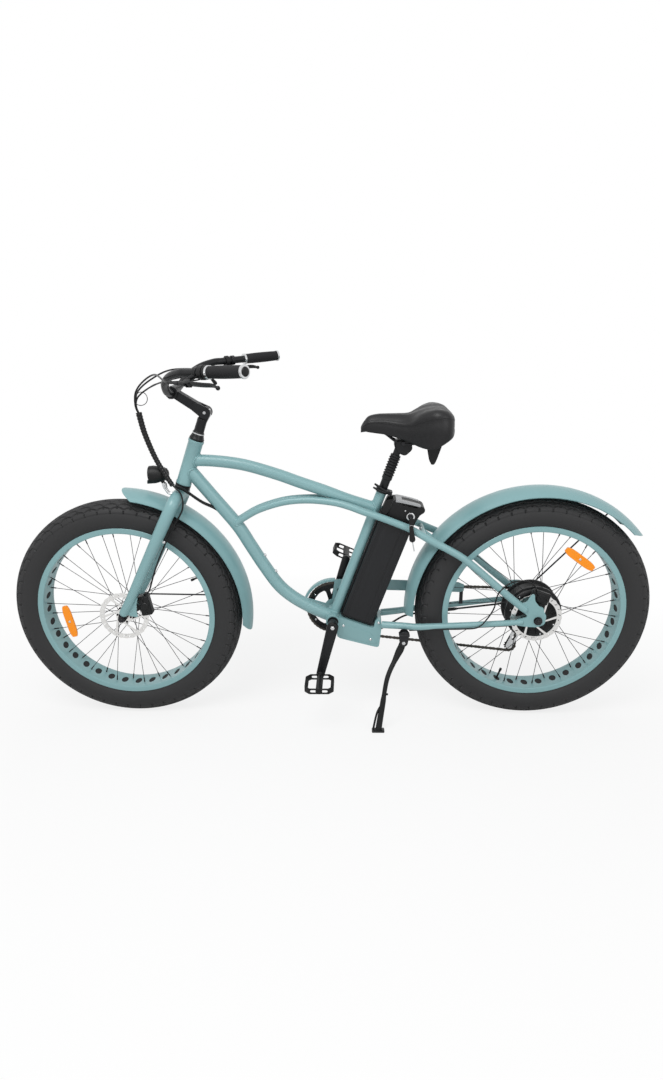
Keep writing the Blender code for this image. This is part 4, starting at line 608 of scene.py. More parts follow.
# Oiled chain steel: brown-grey, and darker where the oil holds dust.
CHAIN_STEEL = grained(finish("oiled_chain_steel", "#4C4844", 0.38, 0.9), 0.002, 0.00004,
                      ("#3A3734", "#5C5852"), (0.3, 0.5), cloud=0.01)
# Plated sprocket steel: grey with a satin gleam.
SPROCKET_STEEL = grained(finish("plated_sprocket_steel", "#8A8A88", 0.34, 0.9), 0.001, 0.00003,
                         ("#7C7C7A", "#989896"), (0.28, 0.42))
print("finishes:", len(bpy.data.materials))

# %% [markdown]
# ## Wheels: the tyres
#
# A fat cruiser tyre has a smooth side and a tread of overlapping scales, whose last row makes scallops on
# the shoulder. Its tread could be cut with booleans, but a tyre is one surface in two angles: round the axle
# and round its section. So the tread is a height on that grid, high on a scale and low in the arched groove
# round it.

# %% Tyres
SCALES = 52
TREAD = 0.0021


def tyre(axle):
    """Radius = section's centre + (section radius + tread height) times cos of the section angle. The height
    falls by the groove's depth near each arch, whose angle is the row's angle less an ellipse of the
    phase."""
    round_steps = SCALES * 12
    turn = full_turn(round_steps)[None, :]
    dense = np.linspace(-74, 74, 119)
    plain = np.linspace(74, 126, 14)[1:]
    section = np.radians(np.concatenate([-plain[::-1], dense, plain]))[:, None]
    lean_out = np.degrees(np.abs(section))
    depth = np.zeros((len(section), round_steps))
    for row, (angle, rise) in enumerate(((60, 15), (43, 13), (26, 12), (9, 9))):
        phase = (turn * SCALES / (2 * math.pi) + 0.5 * row + 0.25 * (section > 0)) % 1
        arch = angle - rise * np.sqrt(np.clip(1 - (2 * phase - 1) ** 2, 0, 1))
        near = np.clip(1 - (np.abs(lean_out - arch) / 2.5) ** 2, 0, 1)
        slit = np.clip(1 - (np.minimum(phase, 1 - phase) / 0.055) ** 2, 0, 1)
        slit = slit * (lean_out > angle - 2) * (lean_out < angle + 9)
        depth = np.maximum(depth, np.maximum(near, slit))
    shoulder = np.clip((71 - lean_out) / 7, 0, 1)
    height = TREAD * (shoulder * shoulder * (3 - 2 * shoulder) - 1) - 0.0036 * depth * (lean_out < 70)
    ribs = 0.00035 * (np.exp(-((lean_out - 96) / 1.4) ** 2) + np.exp(-((lean_out - 116) / 1.6) ** 2))
    reach = TYRE_SECTION + height + ribs
    radius = TYRE_RADIUS - TYRE_SECTION + reach * np.cos(section)
    outer = spun(radius, reach * np.sin(section), turn)
    tucked = np.array([(0.2846, 0.0384), (0.28, 0.034), (0.2905, 0.03), (0.3, 0.0)])
    tucked = np.concatenate([tucked, tucked[-2::-1] * (1, -1)])[:, :, None]
    rows = np.concatenate([outer, spun(tucked[:, 0], tucked[:, 1], turn)])
    return axle + rows.reshape(-1, 3), [grid_faces(len(rows), round_steps, True, True)]


put("front_tyre_tread", tyre(FRONT_AXLE), TYRE_RUBBER, "front_wheel", ["front_tyre"])
put("rear_tyre_tread", tyre(REAR_AXLE), TYRE_RUBBER, "rear_wheel", ["rear_tyre"])
print("tyre faces:", len(PIECES["front_tyre_tread"].data.polygons))

# %% [markdown]
# ## Wheels: the rims
#
# A fat rim is so wide that its floor is cut with oval windows to save weight, one between each two spokes.
# Black tape shows through them. The floor round each window is a small patch: a rectangle outside, an oval
# inside, and straight lines between. The patches share their borders, so they join into one closed ring with
# real openings.

# %% Rims with their windows
RIM_FLOOR = 0.2707
HALF_FLOOR = 0.0385
WINDOWS = 36
HALF_WINDOW = (0.0108, 0.0165)


def rim(axle):
    """The floor's point (s, t) runs from the border of its cell (s = 0) to an ellipse (s = 1) at angle t."""
    half_cell = math.pi / WINDOWS * RIM_FLOOR
    per_side = 6
    edge = np.linspace(-1, 1, per_side, endpoint=False)
    one = np.ones(per_side)
    border = np.concatenate([
        np.stack(p, -1) for p in ((edge, -one), (one, edge), (-edge, one), (-one, -edge))])
    border = border * (half_cell, HALF_FLOOR)
    angle = np.arctan2(border[:, 1] / HALF_FLOOR, border[:, 0] / half_cell)
    oval = np.stack([np.cos(angle), np.sin(angle)], -1) * HALF_WINDOW
    rows = [border * (1 - s) + oval * s for s in (0.0, 0.5, 0.92, 1.0)] + [oval, oval * 0.985]
    depth = np.array([0, 0, 0, 0.0005, 0.0022, 0.0023])
    flat = np.stack(rows)
    cells = 2 * math.pi / WINDOWS * np.arange(WINDOWS)
    turn = cells[:, None, None] + flat[None, ..., 0] / RIM_FLOOR
    radius = RIM_FLOOR + depth[None, :, None] + 0 * turn
    points = spun(radius, flat[None, ..., 1], turn).reshape(-1, 3)
    count = 4 * per_side
    one_cell = grid_faces(len(rows), count, False, True)
    faces = np.concatenate([one_cell + k * len(rows) * count for k in range(WINDOWS)])
    steps = WINDOWS * per_side
    wall = np.array([(RIM_FLOOR, HALF_FLOOR), (0.2711, 0.04), (0.2722, 0.0409), (0.276, 0.0412),
                     (0.285, 0.0411), (0.288, 0.0413), (0.2889, 0.0405), (0.2889, 0.0392), (0.2878, 0.0386),
                     (0.2797, 0.0386), (0.2755, 0.029), (0.2729, 0.02)])
    round_turn = full_turn(steps) - math.pi / WINDOWS
    walls = [(spun(ring[:, :1], ring[:, 1:], round_turn).reshape(-1, 3),
              [grid_faces(len(ring), steps, False, True)])
             for ring in (wall, wall * (1, -1), np.array([wall[-1], wall[-1] * (1, -1)]))]
    points, tables = join((points, [faces]), *walls)
    return axle + points, tables


# Woven nylon tape: black, with ribs a millimetre apart across it.
RIM_TAPE = grained(finish("woven_nylon_tape", "#0E0E0F", 0.8), 0.001, 0.0001, ("#0B0B0C", "#121213"))
TAPE = [(0.2721, 0.019), (0.2721, -0.019), (0.2727, -0.019), (0.2727, 0.019), (0.2721, 0.019)]
for word, axle in (("front", FRONT_AXLE), ("rear", REAR_AXLE)):
    put(f"{word}_rim_shell", rim(axle), POWDER_COAT, f"{word}_wheel", [f"{word}_rim"])
    put(f"{word}_rim_tape", turned(TAPE, axle, LEFT, 144), RIM_TAPE, f"{word}_wheel")
print("rim faces:", len(PIECES["front_rim_shell"].data.polygons))

# %% [markdown]
# ## Wheels: spokes, nipples and the front hub
#
# Thirty-six thin steel spokes cross each other between the hub's two flanges and the rim.
# Each could be a curve, but all of them are the same tube between two points, so one array holds the lot.
# A spoke here is a six-sided tube, and a thicker one at its outer end is the nipple that tightens it.

# %% Spokes
SPOKES = 36
NIPPLE_SEAT = 0.27


def bars(starts, ends, radius, sides=6):
    """Many straight bars at once: corner (k, e, j) is end e of bar k plus the radius times the direction at
    angle j across that bar. Each bar has its own closed ends."""
    ahead = unit(ends - starts)
    first = unit(np.cross(ahead, vec(0.3, 1, 0.2)))
    second = np.cross(ahead, first)
    turn = full_turn(sides)[None, :, None]
    out = radius * (np.cos(turn) * first[:, None] + np.sin(turn) * second[:, None])
    points = np.stack([starts[:, None] + out, ends[:, None] + out], 1)
    ring = np.arange(sides)
    walls = np.stack([ring, np.roll(ring, -1), np.roll(ring, -1) + sides, ring + sides], -1)
    first_points = np.arange(len(starts)) * 2 * sides
    tables = [(walls[None] + first_points[:, None, None]).reshape(-1, 4)]
    tables += [ring[None] + first_points[:, None], ring[None, ::-1] + sides + first_points[:, None]]
    return points.reshape(-1, 3), tables


def spokes(axle, flanges, flange_radius, cross_angle):
    """Spoke k leaves its flange ahead of or behind its place on the rim by the crossing angle."""
    k = np.arange(SPOKES)
    left = k % 2 == 0
    lead = np.where(k % 4 < 2, 1, -1)
    at_rim = 2 * math.pi * (k + 0.5) / SPOKES
    at_hub = at_rim + cross_angle * lead
    layer = 0.0024 * lead
    start = spun(flange_radius, 0, at_hub)
    start[:, 1] = np.where(left, flanges[0], flanges[1]) + layer
    end = spun(NIPPLE_SEAT, 0, at_rim)
    end[:, 1] = np.where(left, 0.012, -0.012) + layer * 0.3
    outer = start + (end - start) * 0.935
    heads = bars(axle + start - LEFT * 0.0016, axle + start + LEFT * 0.0016, 0.0019)
    return join(bars(axle + start, axle + end, 0.001), bars(axle + outer, axle + end, 0.002), heads)


left_end = [(0, 0.0745), (0.0082, 0.0745), (0.0085, 0.074), (0.0085, 0.065), (0.0114, 0.0648),
            (0.0118, 0.064), (0.0118, 0.056), (0.015, 0.056)]
flange = np.array([(0.0152, 0.042), (0.0175, 0.0405), (0.0285, 0.038), (0.029, 0.0374), (0.029, 0.0322),
                   (0.0285, 0.0316), (0.019, 0.03), (0.0158, 0.026), (0.015, 0.02)])
right_end = [
    (0.015, -0.06), (0.014, -0.062), (0.0085, -0.064), (0.0085, -0.074), (0.0082, -0.0745), (0, -0.0745)]
hub_profile = np.concatenate([left_end, flange, flange[::-1] * (1, -1), right_end])
put("front_hub_shell", turned(hub_profile, FRONT_AXLE, LEFT, 48), CAST_BLACK, "front_wheel",
    ["front_hub"])
front_spokes = spokes(FRONT_AXLE, (0.0348, -0.0348), 0.0265, math.radians(60))
put("front_spokes", front_spokes, BLACK_STEEL, "front_wheel")
rear_spokes = spokes(REAR_AXLE, (0.0322, -0.0252), 0.0868, math.radians(20))
put("rear_spokes", rear_spokes, BLACK_STEEL, "rear_wheel")

# %% [markdown]
# ## Wheels: the hub motor
#
# The motor is a cast drum with two flanges for the spokes, cooling ribs between them and a cover held by
# screws. A drum is a profile turned round the axle. The screws and the raised spokes of its cover are small
# repeated pieces, so they are copied by turning one of them round the axle.

# %% Hub motor
def around(shape, axle, count, start=0.0):
    """Copies of a shape turned round the axle: x and z mixed by the cosine and sine of each angle."""
    turn = start + 2 * math.pi * np.arange(count) / count
    points = shape[0] - axle
    c, s = np.cos(turn)[:, None], np.sin(turn)[:, None]
    copies = np.stack(
        [points[:, 0] * c - points[:, 2] * s, points[:, 1] + 0 * c, points[:, 0] * s + points[:, 2] * c], -1)
    tables = [np.concatenate([table + k * len(points) for k in range(count)]) for table in shape[1]]
    return axle + copies.reshape(-1, 3), tables


drum = [(0, 0.076), (0.0112, 0.076), (0.0115, 0.075), (0.0115, 0.064), (0.02, 0.063), (0.029, 0.06),
        (0.036, 0.052), (0.042, 0.048), (0.062, 0.0462), (0.07, 0.045), (0.079, 0.042), (0.0825, 0.038),
        (0.0885, 0.0368), (0.089, 0.036), (0.089, 0.029), (0.0885, 0.0282), (0.082, 0.0268)]
ribs = [(0.082 - 0.0022 * (i % 4 in (1, 2)), 0.024 - 0.0021 * i) for i in range(21)]
drum += ribs + [(0.082, -0.0203), (0.0885, -0.0217), (0.089, -0.0225), (0.089, -0.0282), (0.0885, -0.029),
                (0.0825, -0.0305), (0.079, -0.034), (0.066, -0.04), (0.03, -0.044), (0.02, -0.05),
                (0.018, -0.0525), (0, -0.0525)]
motor = [turned(drum, REAR_AXLE, LEFT, 96)]
fin = block(REAR_AXLE + vec(0.056, 0.0458, 0), (0.03, 0.006, 0.0042), 0.0014)
motor.append(around(fin, REAR_AXLE, 18))
put("hub_motor_shell", join(*motor), CAST_BLACK, "rear_wheel", ["hub_motor"])
screw = rod(*span(REAR_AXLE + vec(0.0745, 0, 0), LEFT, 0.0425, 0.0462), 0.0028, 0.0006, 12)
put("motor_cover_screws", around(screw, REAR_AXLE, 9, 0.17), BRIGHT_ALLOY, "rear_wheel")

# %% [markdown]
# ## Brakes: discs and calipers
#
# A disc is stamped from stainless sheet and ground flat, with a wavy edge, slots that wipe the pads and six
# arms. Its outline is a radius that swings with the angle, and its slots are small slanted ovals.

# %% Discs
WAVES = 24


def disc(axle, y):
    """Outer radius = 79.2 mm + 0.8 mm times the cosine of 24 times the angle. Slots and windows: holes."""
    turn = full_turn(240)
    edge = circle_part((0, 0), (0.0792 + 0.0008 * np.cos(WAVES * turn))[:, None], turn)
    holes = [circle(0.0128, 24)]
    oval = circle(1, 10) * (0.0046, 0.0015)
    for k in range(WAVES):
        middle = 2 * math.pi * (k + 0.5) / WAVES
        slant = middle + 0.55
        spin = np.array([[math.cos(slant), math.sin(slant)], [-math.sin(slant), math.cos(slant)]])
        holes.append(oval @ spin + 0.0722 * vec(math.cos(middle), math.sin(middle)))
    for k in range(6):
        first = math.radians(60 * k)
        outer = circle_part((0, 0), 0.0645, first + np.radians(np.linspace(2, 55, 10)))
        inner = circle_part((0, 0), 0.0265, first + np.radians(np.linspace(84, 40, 5)))
        holes.append(np.concatenate([outer, inner]))
    return plate([edge, *holes], y, 0.0018, axle)


for word, axle, y in (("front", FRONT_AXLE, 0.06), ("rear", REAR_AXLE, 0.072)):
    put(f"{word}_disc", disc(axle, y), STAINLESS, f"{word}_wheel", [f"{word}_rotor"], bevel=0.0002)
    bolt = rod(*span(axle + vec(0.0215, y, 0), LEFT, 0.0009, 0.0031), 0.0034, 0.0006, 12)
    put(f"{word}_disc_bolts", around(bolt, axle, 6, 0.2), BLACK_STEEL, f"{word}_wheel")


# %% Calipers
def caliper(centre, size, tilt, arm_way):
    """A body of two round-edged blocks, a cap on the inside, a cable arm outside and two bolts."""
    c, s = math.cos(math.radians(tilt)), math.sin(math.radians(tilt))
    ways = np.array([[c, 0, -s], [0, 1, 0], [s, 0, c]])
    centre = np.asarray(centre, float)
    half = size[1] / 2
    body = block(centre, size, 0.006, ways)
    outer = centre + LEFT * half
    inner = centre - LEFT * half
    lobe = rod(inner - LEFT * 0.0028, centre, 0.0128, 0.002, 32)
    knob = rod(centre, outer + LEFT * 0.0035, 0.0135, 0.002, 32)
    arm_end = outer + LEFT * 0.001 + 0.026 * np.asarray(arm_way, float)
    arm = tube(np.stack([outer + LEFT * 0.001, arm_end]), 0.0036, 12)
    long = int(size[2] > size[0]) * 2
    bolts = [centre + ways[long] * way * size[long] * 0.4 for way in (1, -1)]
    pads = [rod(at + LEFT * (half - 0.002), at + LEFT * (half + 0.0025), 0.0045, 0.0008, 16) for at in bolts]
    return join(body, lobe, knob, arm, *pads)


front_caliper = caliper((0.58, 0.062, 0.413), (0.036, 0.03, 0.066), 10, (0.35, 0, 0.93))
put("front_caliper", front_caliper, CAST_BLACK, "fork", ["front_brake_caliper"])
rear_caliper = caliper((-0.662, 0.07, 0.4415), (0.06, 0.017, 0.04), -20, (0.55, 0, 0.83))
put("rear_caliper", rear_caliper, CAST_BLACK, "frame", ["rear_brake_caliper"])

# %% [markdown]
# ## Wheels: reflectors and valves
#
# Each wheel carries an amber reflector clipped across two spokes, pointed at its ends like a leaf.
# Its face hides rows of tiny prisms that send light back, which a pattern of cells in the bump gives.

# %% Reflectors
amber = finish("amber_prism_acrylic", "#FF9400", 0.3, Coat_Weight=0.3, Specular_IOR_Level=0.3)
cells = add(amber[1], "TexVoronoi", {"Scale": 1 / 0.0028}, {"Vector": amber[3]})
bumped(amber, cells.outputs["Distance"], 0.7, 0.0004)
AMBER = amber[0]


def reflector(axle, angle, distance, y):
    """A leaf and its clip. The leaf's half width is 13.2 mm in the middle and falls by 45 per cent of the
    fifth power of the distance from there."""
    along = radial(0 * UP, 1.0, angle + 90)
    out = radial(0 * UP, 1.0, angle)
    t = np.linspace(-1, 1, 21)
    half = 0.0132 * (1 - np.abs(t) ** 5 * 0.45)
    leaf = np.concatenate([np.stack([half, 0.056 * t], -1), np.stack([-half[::-1], 0.056 * t[::-1]], -1)])
    middle = axle + out * distance + LEFT * y
    clip = block(middle + LEFT * 0.0012, (0.008, 0.0085, 0.008), 0.002, np.stack([out, LEFT, along]))
    return plate([leaf], 0, 0.0068, middle, out, along), clip


for word, *place in (("front", FRONT_AXLE, -10.5, 0.201, 0.0235), ("rear", REAR_AXLE, 126.5, 0.222, 0.027)):
    leaf, clip = reflector(*place)
    body = f"{word}_wheel"
    put(f"{word}_reflector_leaf", leaf, AMBER, body, [f"{word}_reflector"], bevel=0.0012)
    put(f"{word}_reflector_clip", clip, BRIGHT_ALLOY, body)

# %% Valves
for word, axle, angle in (("front", FRONT_AXLE, 155.0), ("rear", REAR_AXLE, -70.0)):
    foot, neck, tip = (radial(axle, distance, angle) for distance in (0.2715, 0.244, 0.233))
    valve = join(rod(foot, neck, 0.0032, 0.0004, 16), rod(neck, tip, 0.0042, 0.001, 16))
    put(f"{word}_valve", valve, NYLON, f"{word}_wheel")
print("wheel pieces:", len(PIECES))

# %% [markdown]
# ## Fenders
#
# Each fender is a strip of painted steel, rolled round both ways to follow the tyre, its long edges folded
# back. A sheet could be drawn and thickened by a modifier. Here both faces and the rolled edge are one
# closed section, carried round the axle, so the fold stands proud as it does on the real one.

# %% Fenders
FENDER_RADIUS = 0.0865
FENDER_SPREAD = math.radians(43)
TYRE_CENTRE = TYRE_RADIUS - TYRE_SECTION


def fender(axle, start, end, start_cut, end_cut, steps=96, columns=27):
    """Section angle a runs to 43 degrees each way. Radius = tyre's centre + 86.5 mm cos a, Y = 86.5 mm sin
    a, and each end is cut back by its angle times the square of the share of a."""
    share = np.linspace(-1, 1, columns)
    angle = share * FENDER_SPREAD
    half = 0.0008 + 0.0011 * np.exp(-((1 - np.abs(share)) / 0.04) ** 2)
    outer, inner = (
        circle_part((TYRE_CENTRE, 0), (FENDER_RADIUS + sign * half)[:, None], angle) for sign in (1, -1))
    section = np.concatenate([outer, inner[::-1]])
    shares = np.concatenate([share, share[::-1]])
    first = np.radians(start + start_cut * shares**2)
    last = np.radians(end - end_cut * shares**2)
    t = np.linspace(0, 1, steps)[:, None]
    turn = first + (last - first) * t
    points = spun(section[:, 0], section[:, 1], turn)
    count = len(section)
    ring = np.arange(columns - 1)
    cap = np.stack([ring, ring + 1, count - 2 - ring, count - 1 - ring], -1)
    faces = [grid_faces(steps, count, False, True), cap[:, ::-1], cap + (steps - 1) * count]
    return axle + points.reshape(-1, 3), faces


def fender_edge(axle, degrees, side):
    """A point on a fender's edge."""
    distance = TYRE_CENTRE + FENDER_RADIUS * math.cos(FENDER_SPREAD)
    return radial(axle, distance, degrees, side * FENDER_RADIUS * math.sin(FENDER_SPREAD))


put("front_fender_sheet", fender(FRONT_AXLE, 93, 190, 6, 5), POWDER_COAT, "fork", ["front_fender"])
put("rear_fender_sheet", fender(REAR_AXLE, -1.5, 142, 1, 6), POWDER_COAT, "frame", ["rear_fender"])
for word, body, start, end in (
    ("front", "fork", vec(0.628, -0.085, 0.388), fender_edge(FRONT_AXLE, 177, -1)),
    ("rear", "frame", vec(-0.668, -0.0992, 0.402), fender_edge(REAR_AXLE, 128, -1)),
):
    past = end + unit(end - start) * 0.004
    eye = rod(*span(start, LEFT, -0.003, 0.003), 0.0062, 0.0006, 20)
    tip = rod(*span(end, LEFT, -0.0035, 0.003), 0.0045, 0.0008, 16)
    stay = join(tube(np.stack([start, past]), 0.0026, 12), eye, tip)
    put(f"{word}_fender_stay", stay, BLACK_STEEL, body)
crown_way = radial(0 * UP, 1.0, 117.45)
sheet = TYRE_CENTRE + FENDER_RADIUS
crown_bolt = nut(*span(FRONT_AXLE, crown_way, sheet, sheet + 0.011), 0.0062)
put("front_fender_bolt", crown_bolt, BRIGHT_ALLOY, "fork")

# %% [markdown]
# ## The frame: tubes
#
# The frame is drawn aluminium tube, bent, notched to fit its neighbour and welded, then powder-coated whole.
# A tube could be a curve with a round bevel. Here it is a circle carried along a smooth line,
# which gives the same surface and keeps its points as arrays for the welds that follow.

# %% Tubes of the frame
DOWN_TUBE = smooth([
    (0.422, 0, 0.842), (0.351, 0, 0.75), (0.281, 0, 0.659), (0.242, 0, 0.592), (0.203, 0, 0.524),
    (0.16, 0, 0.458), (0.118, 0, 0.417), (0.064, 0, 0.382), (0.012, 0, 0.356), (-0.014, 0, 0.346)])
TOP_TUBE = smooth([(0.412, 0, 0.867), (0.338, 0, 0.864), (0.249, 0, 0.851), (0.152, 0, 0.822),
                   (0.079, 0, 0.795), (0.006, 0, 0.769), (-0.068, 0, 0.74), (-0.156, 0, 0.711)])
ARCH = smooth([
    (0.288, 0.0108, 0.664), (0.26, 0.0112, 0.684), (0.207, 0.0122, 0.713), (0.131, 0.0128, 0.736),
    (0.056, 0.0145, 0.7425), (-0.019, 0.0225, 0.7375), (-0.068, 0.0315, 0.7272), (-0.117, 0.041, 0.711),
    (-0.166, 0.049, 0.696), (-0.214, 0.0525, 0.678), (-0.262, 0.056, 0.658), (-0.326, 0.0745, 0.625),
    (-0.38, 0.0825, 0.598), (-0.4335, 0.086, 0.563), (-0.545, 0.0905, 0.466), (-0.612, 0.092, 0.41)])
CHAINSTAY = smooth([
    (-0.175, 0.047, 0.336), (-0.24, 0.06, 0.338), (-0.285, 0.0715, 0.34), (-0.36, 0.0765, 0.345),
    (-0.45, 0.084, 0.353), (-0.56, 0.091, 0.363), (-0.605, 0.0922, 0.367)])
DOWN_RADIUS = 0.0205
TOP_RADIUS = 0.018
FRAME_TUBES = [("down_tube_body", "down_tube", DOWN_TUBE, (DOWN_RADIUS, DOWN_RADIUS)),
               ("top_tube_body", "top_tube", TOP_TUBE, (TOP_RADIUS, TOP_RADIUS))]
for side, word in SIDES.items():
    FRAME_TUBES += [
        (f"arch_{word}_body", f"arch_stay_{word}", sided(ARCH, side), (0.0107, 0.0115)),
        (f"chainstay_{word}_body", f"chainstay_{word}", sided(CHAINSTAY, side), (0.0115, 0.0085))]
for name, node, path, taper in FRAME_TUBES:
    put(name, tube(path, np.linspace(*taper, len(path)), 32), POWDER_COAT, "frame", [node])

SHELL_RADIUS = 0.0225
SEAT_RADIUS = 0.016
HEAD_RADIUS = 0.0225
seat_tube = tube(np.linspace(BOTTOM_BRACKET, SEAT_TOP + SEATING * 0.012, 24), SEAT_RADIUS, 32)
shell = turned(sleeve(0.0178, SHELL_RADIUS, 0.046, -0.046, 0.0007, -0.0007), BOTTOM_BRACKET, LEFT, 48)
cross_tube = rod(vec(-0.1485, -0.0455, 0.7015), vec(-0.1485, 0.0455, 0.7015), 0.008)
put("seat_tube_body", join(seat_tube, shell, cross_tube), POWDER_COAT, "frame", ["seat_tube"])
bearing = [(0.009, 0.0462), (0.0178, 0.0462), (0.0178, 0.03), (0.009, 0.03), (0.009, 0.0462)]
bearings = [turned(bearing, BOTTOM_BRACKET, LEFT * side, 36) for side in SIDES]
put("bracket_bearings", join(*bearings), BLACK_STEEL, "frame")

head_length = float(np.linalg.norm(HEAD_TOP - HEAD_BOTTOM)) + 0.008
head_end = np.array([(0.0188, 0), (0.0232, 0), (0.024, 0.0008), (0.024, 0.0062), (HEAD_RADIUS, 0.0085)])
head_profile = np.concatenate([head_end, (0, head_length) + head_end[::-1] * (1, -1), head_end[:1]])
head_tube = turned(head_profile, HEAD_BOTTOM, STEERING, 48)
put("head_tube_body", head_tube, POWDER_COAT, "frame", ["head_tube"])

# %% [markdown]
# ## The frame: welds
#
# Where two tubes meet, the welder lays a bead like a row of pressed coins, and the paint covers it. The line
# between two round tubes can be found exactly: each line along the tube that ends there is followed until it
# leaves the other tube's surface. The bead is then a thin tube on that line with a fast ripple.

# %% Weld beads
def weld(path, end_radius, core, core_radius, count=56, bead=0.0028):
    """For angle a round the ending tube, a root is sought along its own direction: the place where the
    distance to the core line equals the core's radius. The bead's radius ripples 10 per cent along that
    ring."""
    ahead = unit(path[1] - path[0])
    side = unit(np.cross(ahead, LEFT if abs(ahead[1]) < 0.9 else UP))
    over = np.cross(ahead, side)
    turn = full_turn(count)[:, None]
    starts = path[0] + (end_radius + 0.0003) * (np.cos(turn) * side + np.sin(turn) * over)
    step = np.linspace(-0.06, 0.08, 561)
    trail = starts[:, None] + step[None, :, None] * ahead
    base, direction = core
    offset = trail - base
    away = np.linalg.norm(offset - (offset @ direction)[..., None] * direction, axis=-1)
    inside = away < core_radius
    last = np.where(inside.any(1), len(step) - 1 - np.argmax(inside[:, ::-1], axis=1), away.argmin(1))
    ring = np.take_along_axis(trail, last[:, None, None].repeat(3, 2), 1)[:, 0]
    ripple = bead * (1 + 0.1 * np.cos(28 * full_turn(count)))
    return tube(ring, ripple, 8, closed=True)


HEAD_CORE = (HEAD_BOTTOM, STEERING)
SEAT_CORE = (BOTTOM_BRACKET, SEATING)
SHELL_CORE = (BOTTOM_BRACKET, LEFT)


def core_of(path, place):
    """The straight line that a tube follows near a place."""
    near = int(np.argmin(np.linalg.norm(path - place, axis=1)))
    near = min(max(near, 1), len(path) - 2)
    return path[near], unit(path[near + 1] - path[near - 1])


welds = [
    weld(DOWN_TUBE, DOWN_RADIUS, HEAD_CORE, HEAD_RADIUS), weld(TOP_TUBE, TOP_RADIUS, HEAD_CORE, HEAD_RADIUS),
    weld(TOP_TUBE[::-1], TOP_RADIUS, SEAT_CORE, SEAT_RADIUS), weld(DOWN_TUBE[::-1], DOWN_RADIUS, SHELL_CORE,
    SHELL_RADIUS), weld(np.linspace(BOTTOM_BRACKET, SEAT_TOP, 5), SEAT_RADIUS, SHELL_CORE, SHELL_RADIUS)]
for side in SIDES:
    arch = sided(ARCH, side)
    welds.append(weld(arch, 0.0107, core_of(DOWN_TUBE, arch[0]), DOWN_RADIUS, 40, 0.002))
put("weld_beads", join(*welds), POWDER_COAT, "frame", smooth_angle=60)
print("welds:", len(welds))

# %% [markdown]
# ## The frame: rear ends, bridge and bosses
#
# The rear tubes end in flat plates cut from thick aluminium, which hold the axle.
# The left plate carries the brake, the right one the derailleur's hanger.
# A plate is a flat outline given thickness, and a small bevel takes the sharpness off its edges.

# %% Rear ends
OUTLINE = np.array([
    (-0.582, 0.358), (-0.62, 0.352), (-0.655, 0.35), (-0.677, 0.36), (-0.68, 0.388), (-0.673, 0.4),
    (-0.668, 0.417), (-0.657, 0.419), (-0.641, 0.439), (-0.639, 0.462), (-0.628, 0.457), (-0.617, 0.434),
    (-0.598, 0.43), (-0.598, 0.408), (-0.621, 0.391), (-0.619, 0.383), (-0.59, 0.376)])
right_outline = np.concatenate([OUTLINE[:8], [(-0.641, 0.434)], OUTLINE[11:]])


def rounded(outline, rounds=2, share=0.18):
    """Each corner cut at a share of its two sides, again and again, until it is a curve."""
    for _ in range(rounds):
        following = np.roll(outline, -1, 0)
        outline = np.stack([
            outline + (following - outline) * share, following - (following - outline) * share], 1)
        outline = outline.reshape(-1, 2)
    return outline


for word, outline, y in (("left", OUTLINE, 0.0925), ("right", right_outline, -0.0925)):
    put(f"dropout_{word}", plate([rounded(outline)], y, 0.006), POWDER_COAT, "frame", bevel=0.0008)
hanger = plate([flat_arm((-0.663, 0.362), 0.013, (-0.668, 0.33), 0.009)], -0.0968, 0.0034)
put("derailleur_hanger", hanger, ANODISED, "frame", bevel=0.0005)
ends = []
for side in SIDES:
    stay_start = sided(CHAINSTAY[0], side)
    ends += [ball(sided(ARCH[-1], side), 0.0115), ball(sided(CHAINSTAY[-1], side), 0.0085),
             rod(stay_start - vec(0.004, 0, 0), stay_start, 0.0114)]
put("stay_ends", join(*ends), POWDER_COAT, "frame")

# %% Bridge, bosses and seat clamp
BRIDGE_ANGLE = 36.95
bridge_middle = radial(REAR_AXLE, 0.4442, BRIDGE_ANGLE)
fender_top = radial(REAR_AXLE, TYRE_CENTRE + FENDER_RADIUS, BRIDGE_ANGLE)
bridge_way = unit(bridge_middle - fender_top)
bridge = rod(*span(bridge_middle, LEFT, -0.0522, 0.0522), 0.0075)
lug = rod(bridge_middle - bridge_way * 0.004, fender_top, 0.0062)
put("bridge_tube", join(bridge, lug), POWDER_COAT, "frame", ["stay_bridge"])
bridge_bolt = nut(*span(bridge_middle, bridge_way, 0.006, 0.0105), 0.0052)
BOSS_OUT = unit(vec(-0.859, 0, 0.512))
bosses = []
boss_profile = [(0.0028, 0), (0.005, 0), (0.0055, -0.0006), (0.0055, -0.008), (0.0028, -0.008), (0.0028, 0)]
for face in (vec(0.1955, 0, 0.56), vec(0.163, 0, 0.5055)):
    bosses.append(turned(boss_profile, face, BOSS_OUT, 24))
    bosses.append(rod(*span(face, BOSS_OUT, -0.007, -0.0012), 0.0027, 0.0003, 16))
put("bottle_bosses", join(*bosses, bridge_bolt), BRIGHT_ALLOY, "frame")

CLAMP_EARS = SEAT_TOP + SEAT_BACK * 0.0245 + SEATING * 0.0085
band = turned(sleeve(0.0168, 0.02, 0, 0.014, 0.0005, 0.0006), SEAT_TOP, SEATING, 48)
ears = [block(CLAMP_EARS + LEFT * side * 0.0058 - SEAT_BACK * 0.001, (0.015, 0.0084, 0.0118), 0.002,
              np.stack([SEAT_BACK, LEFT, SEATING])) for side in SIDES]
put("seat_clamp_band", join(band, *ears), ANODISED, "frame", ["seat_clamp"])
clamp_nut = nut(*span(CLAMP_EARS, LEFT, -0.0096, -0.0129), 0.0056)
put("seat_clamp_nut", clamp_nut, BRIGHT_ALLOY, "frame")

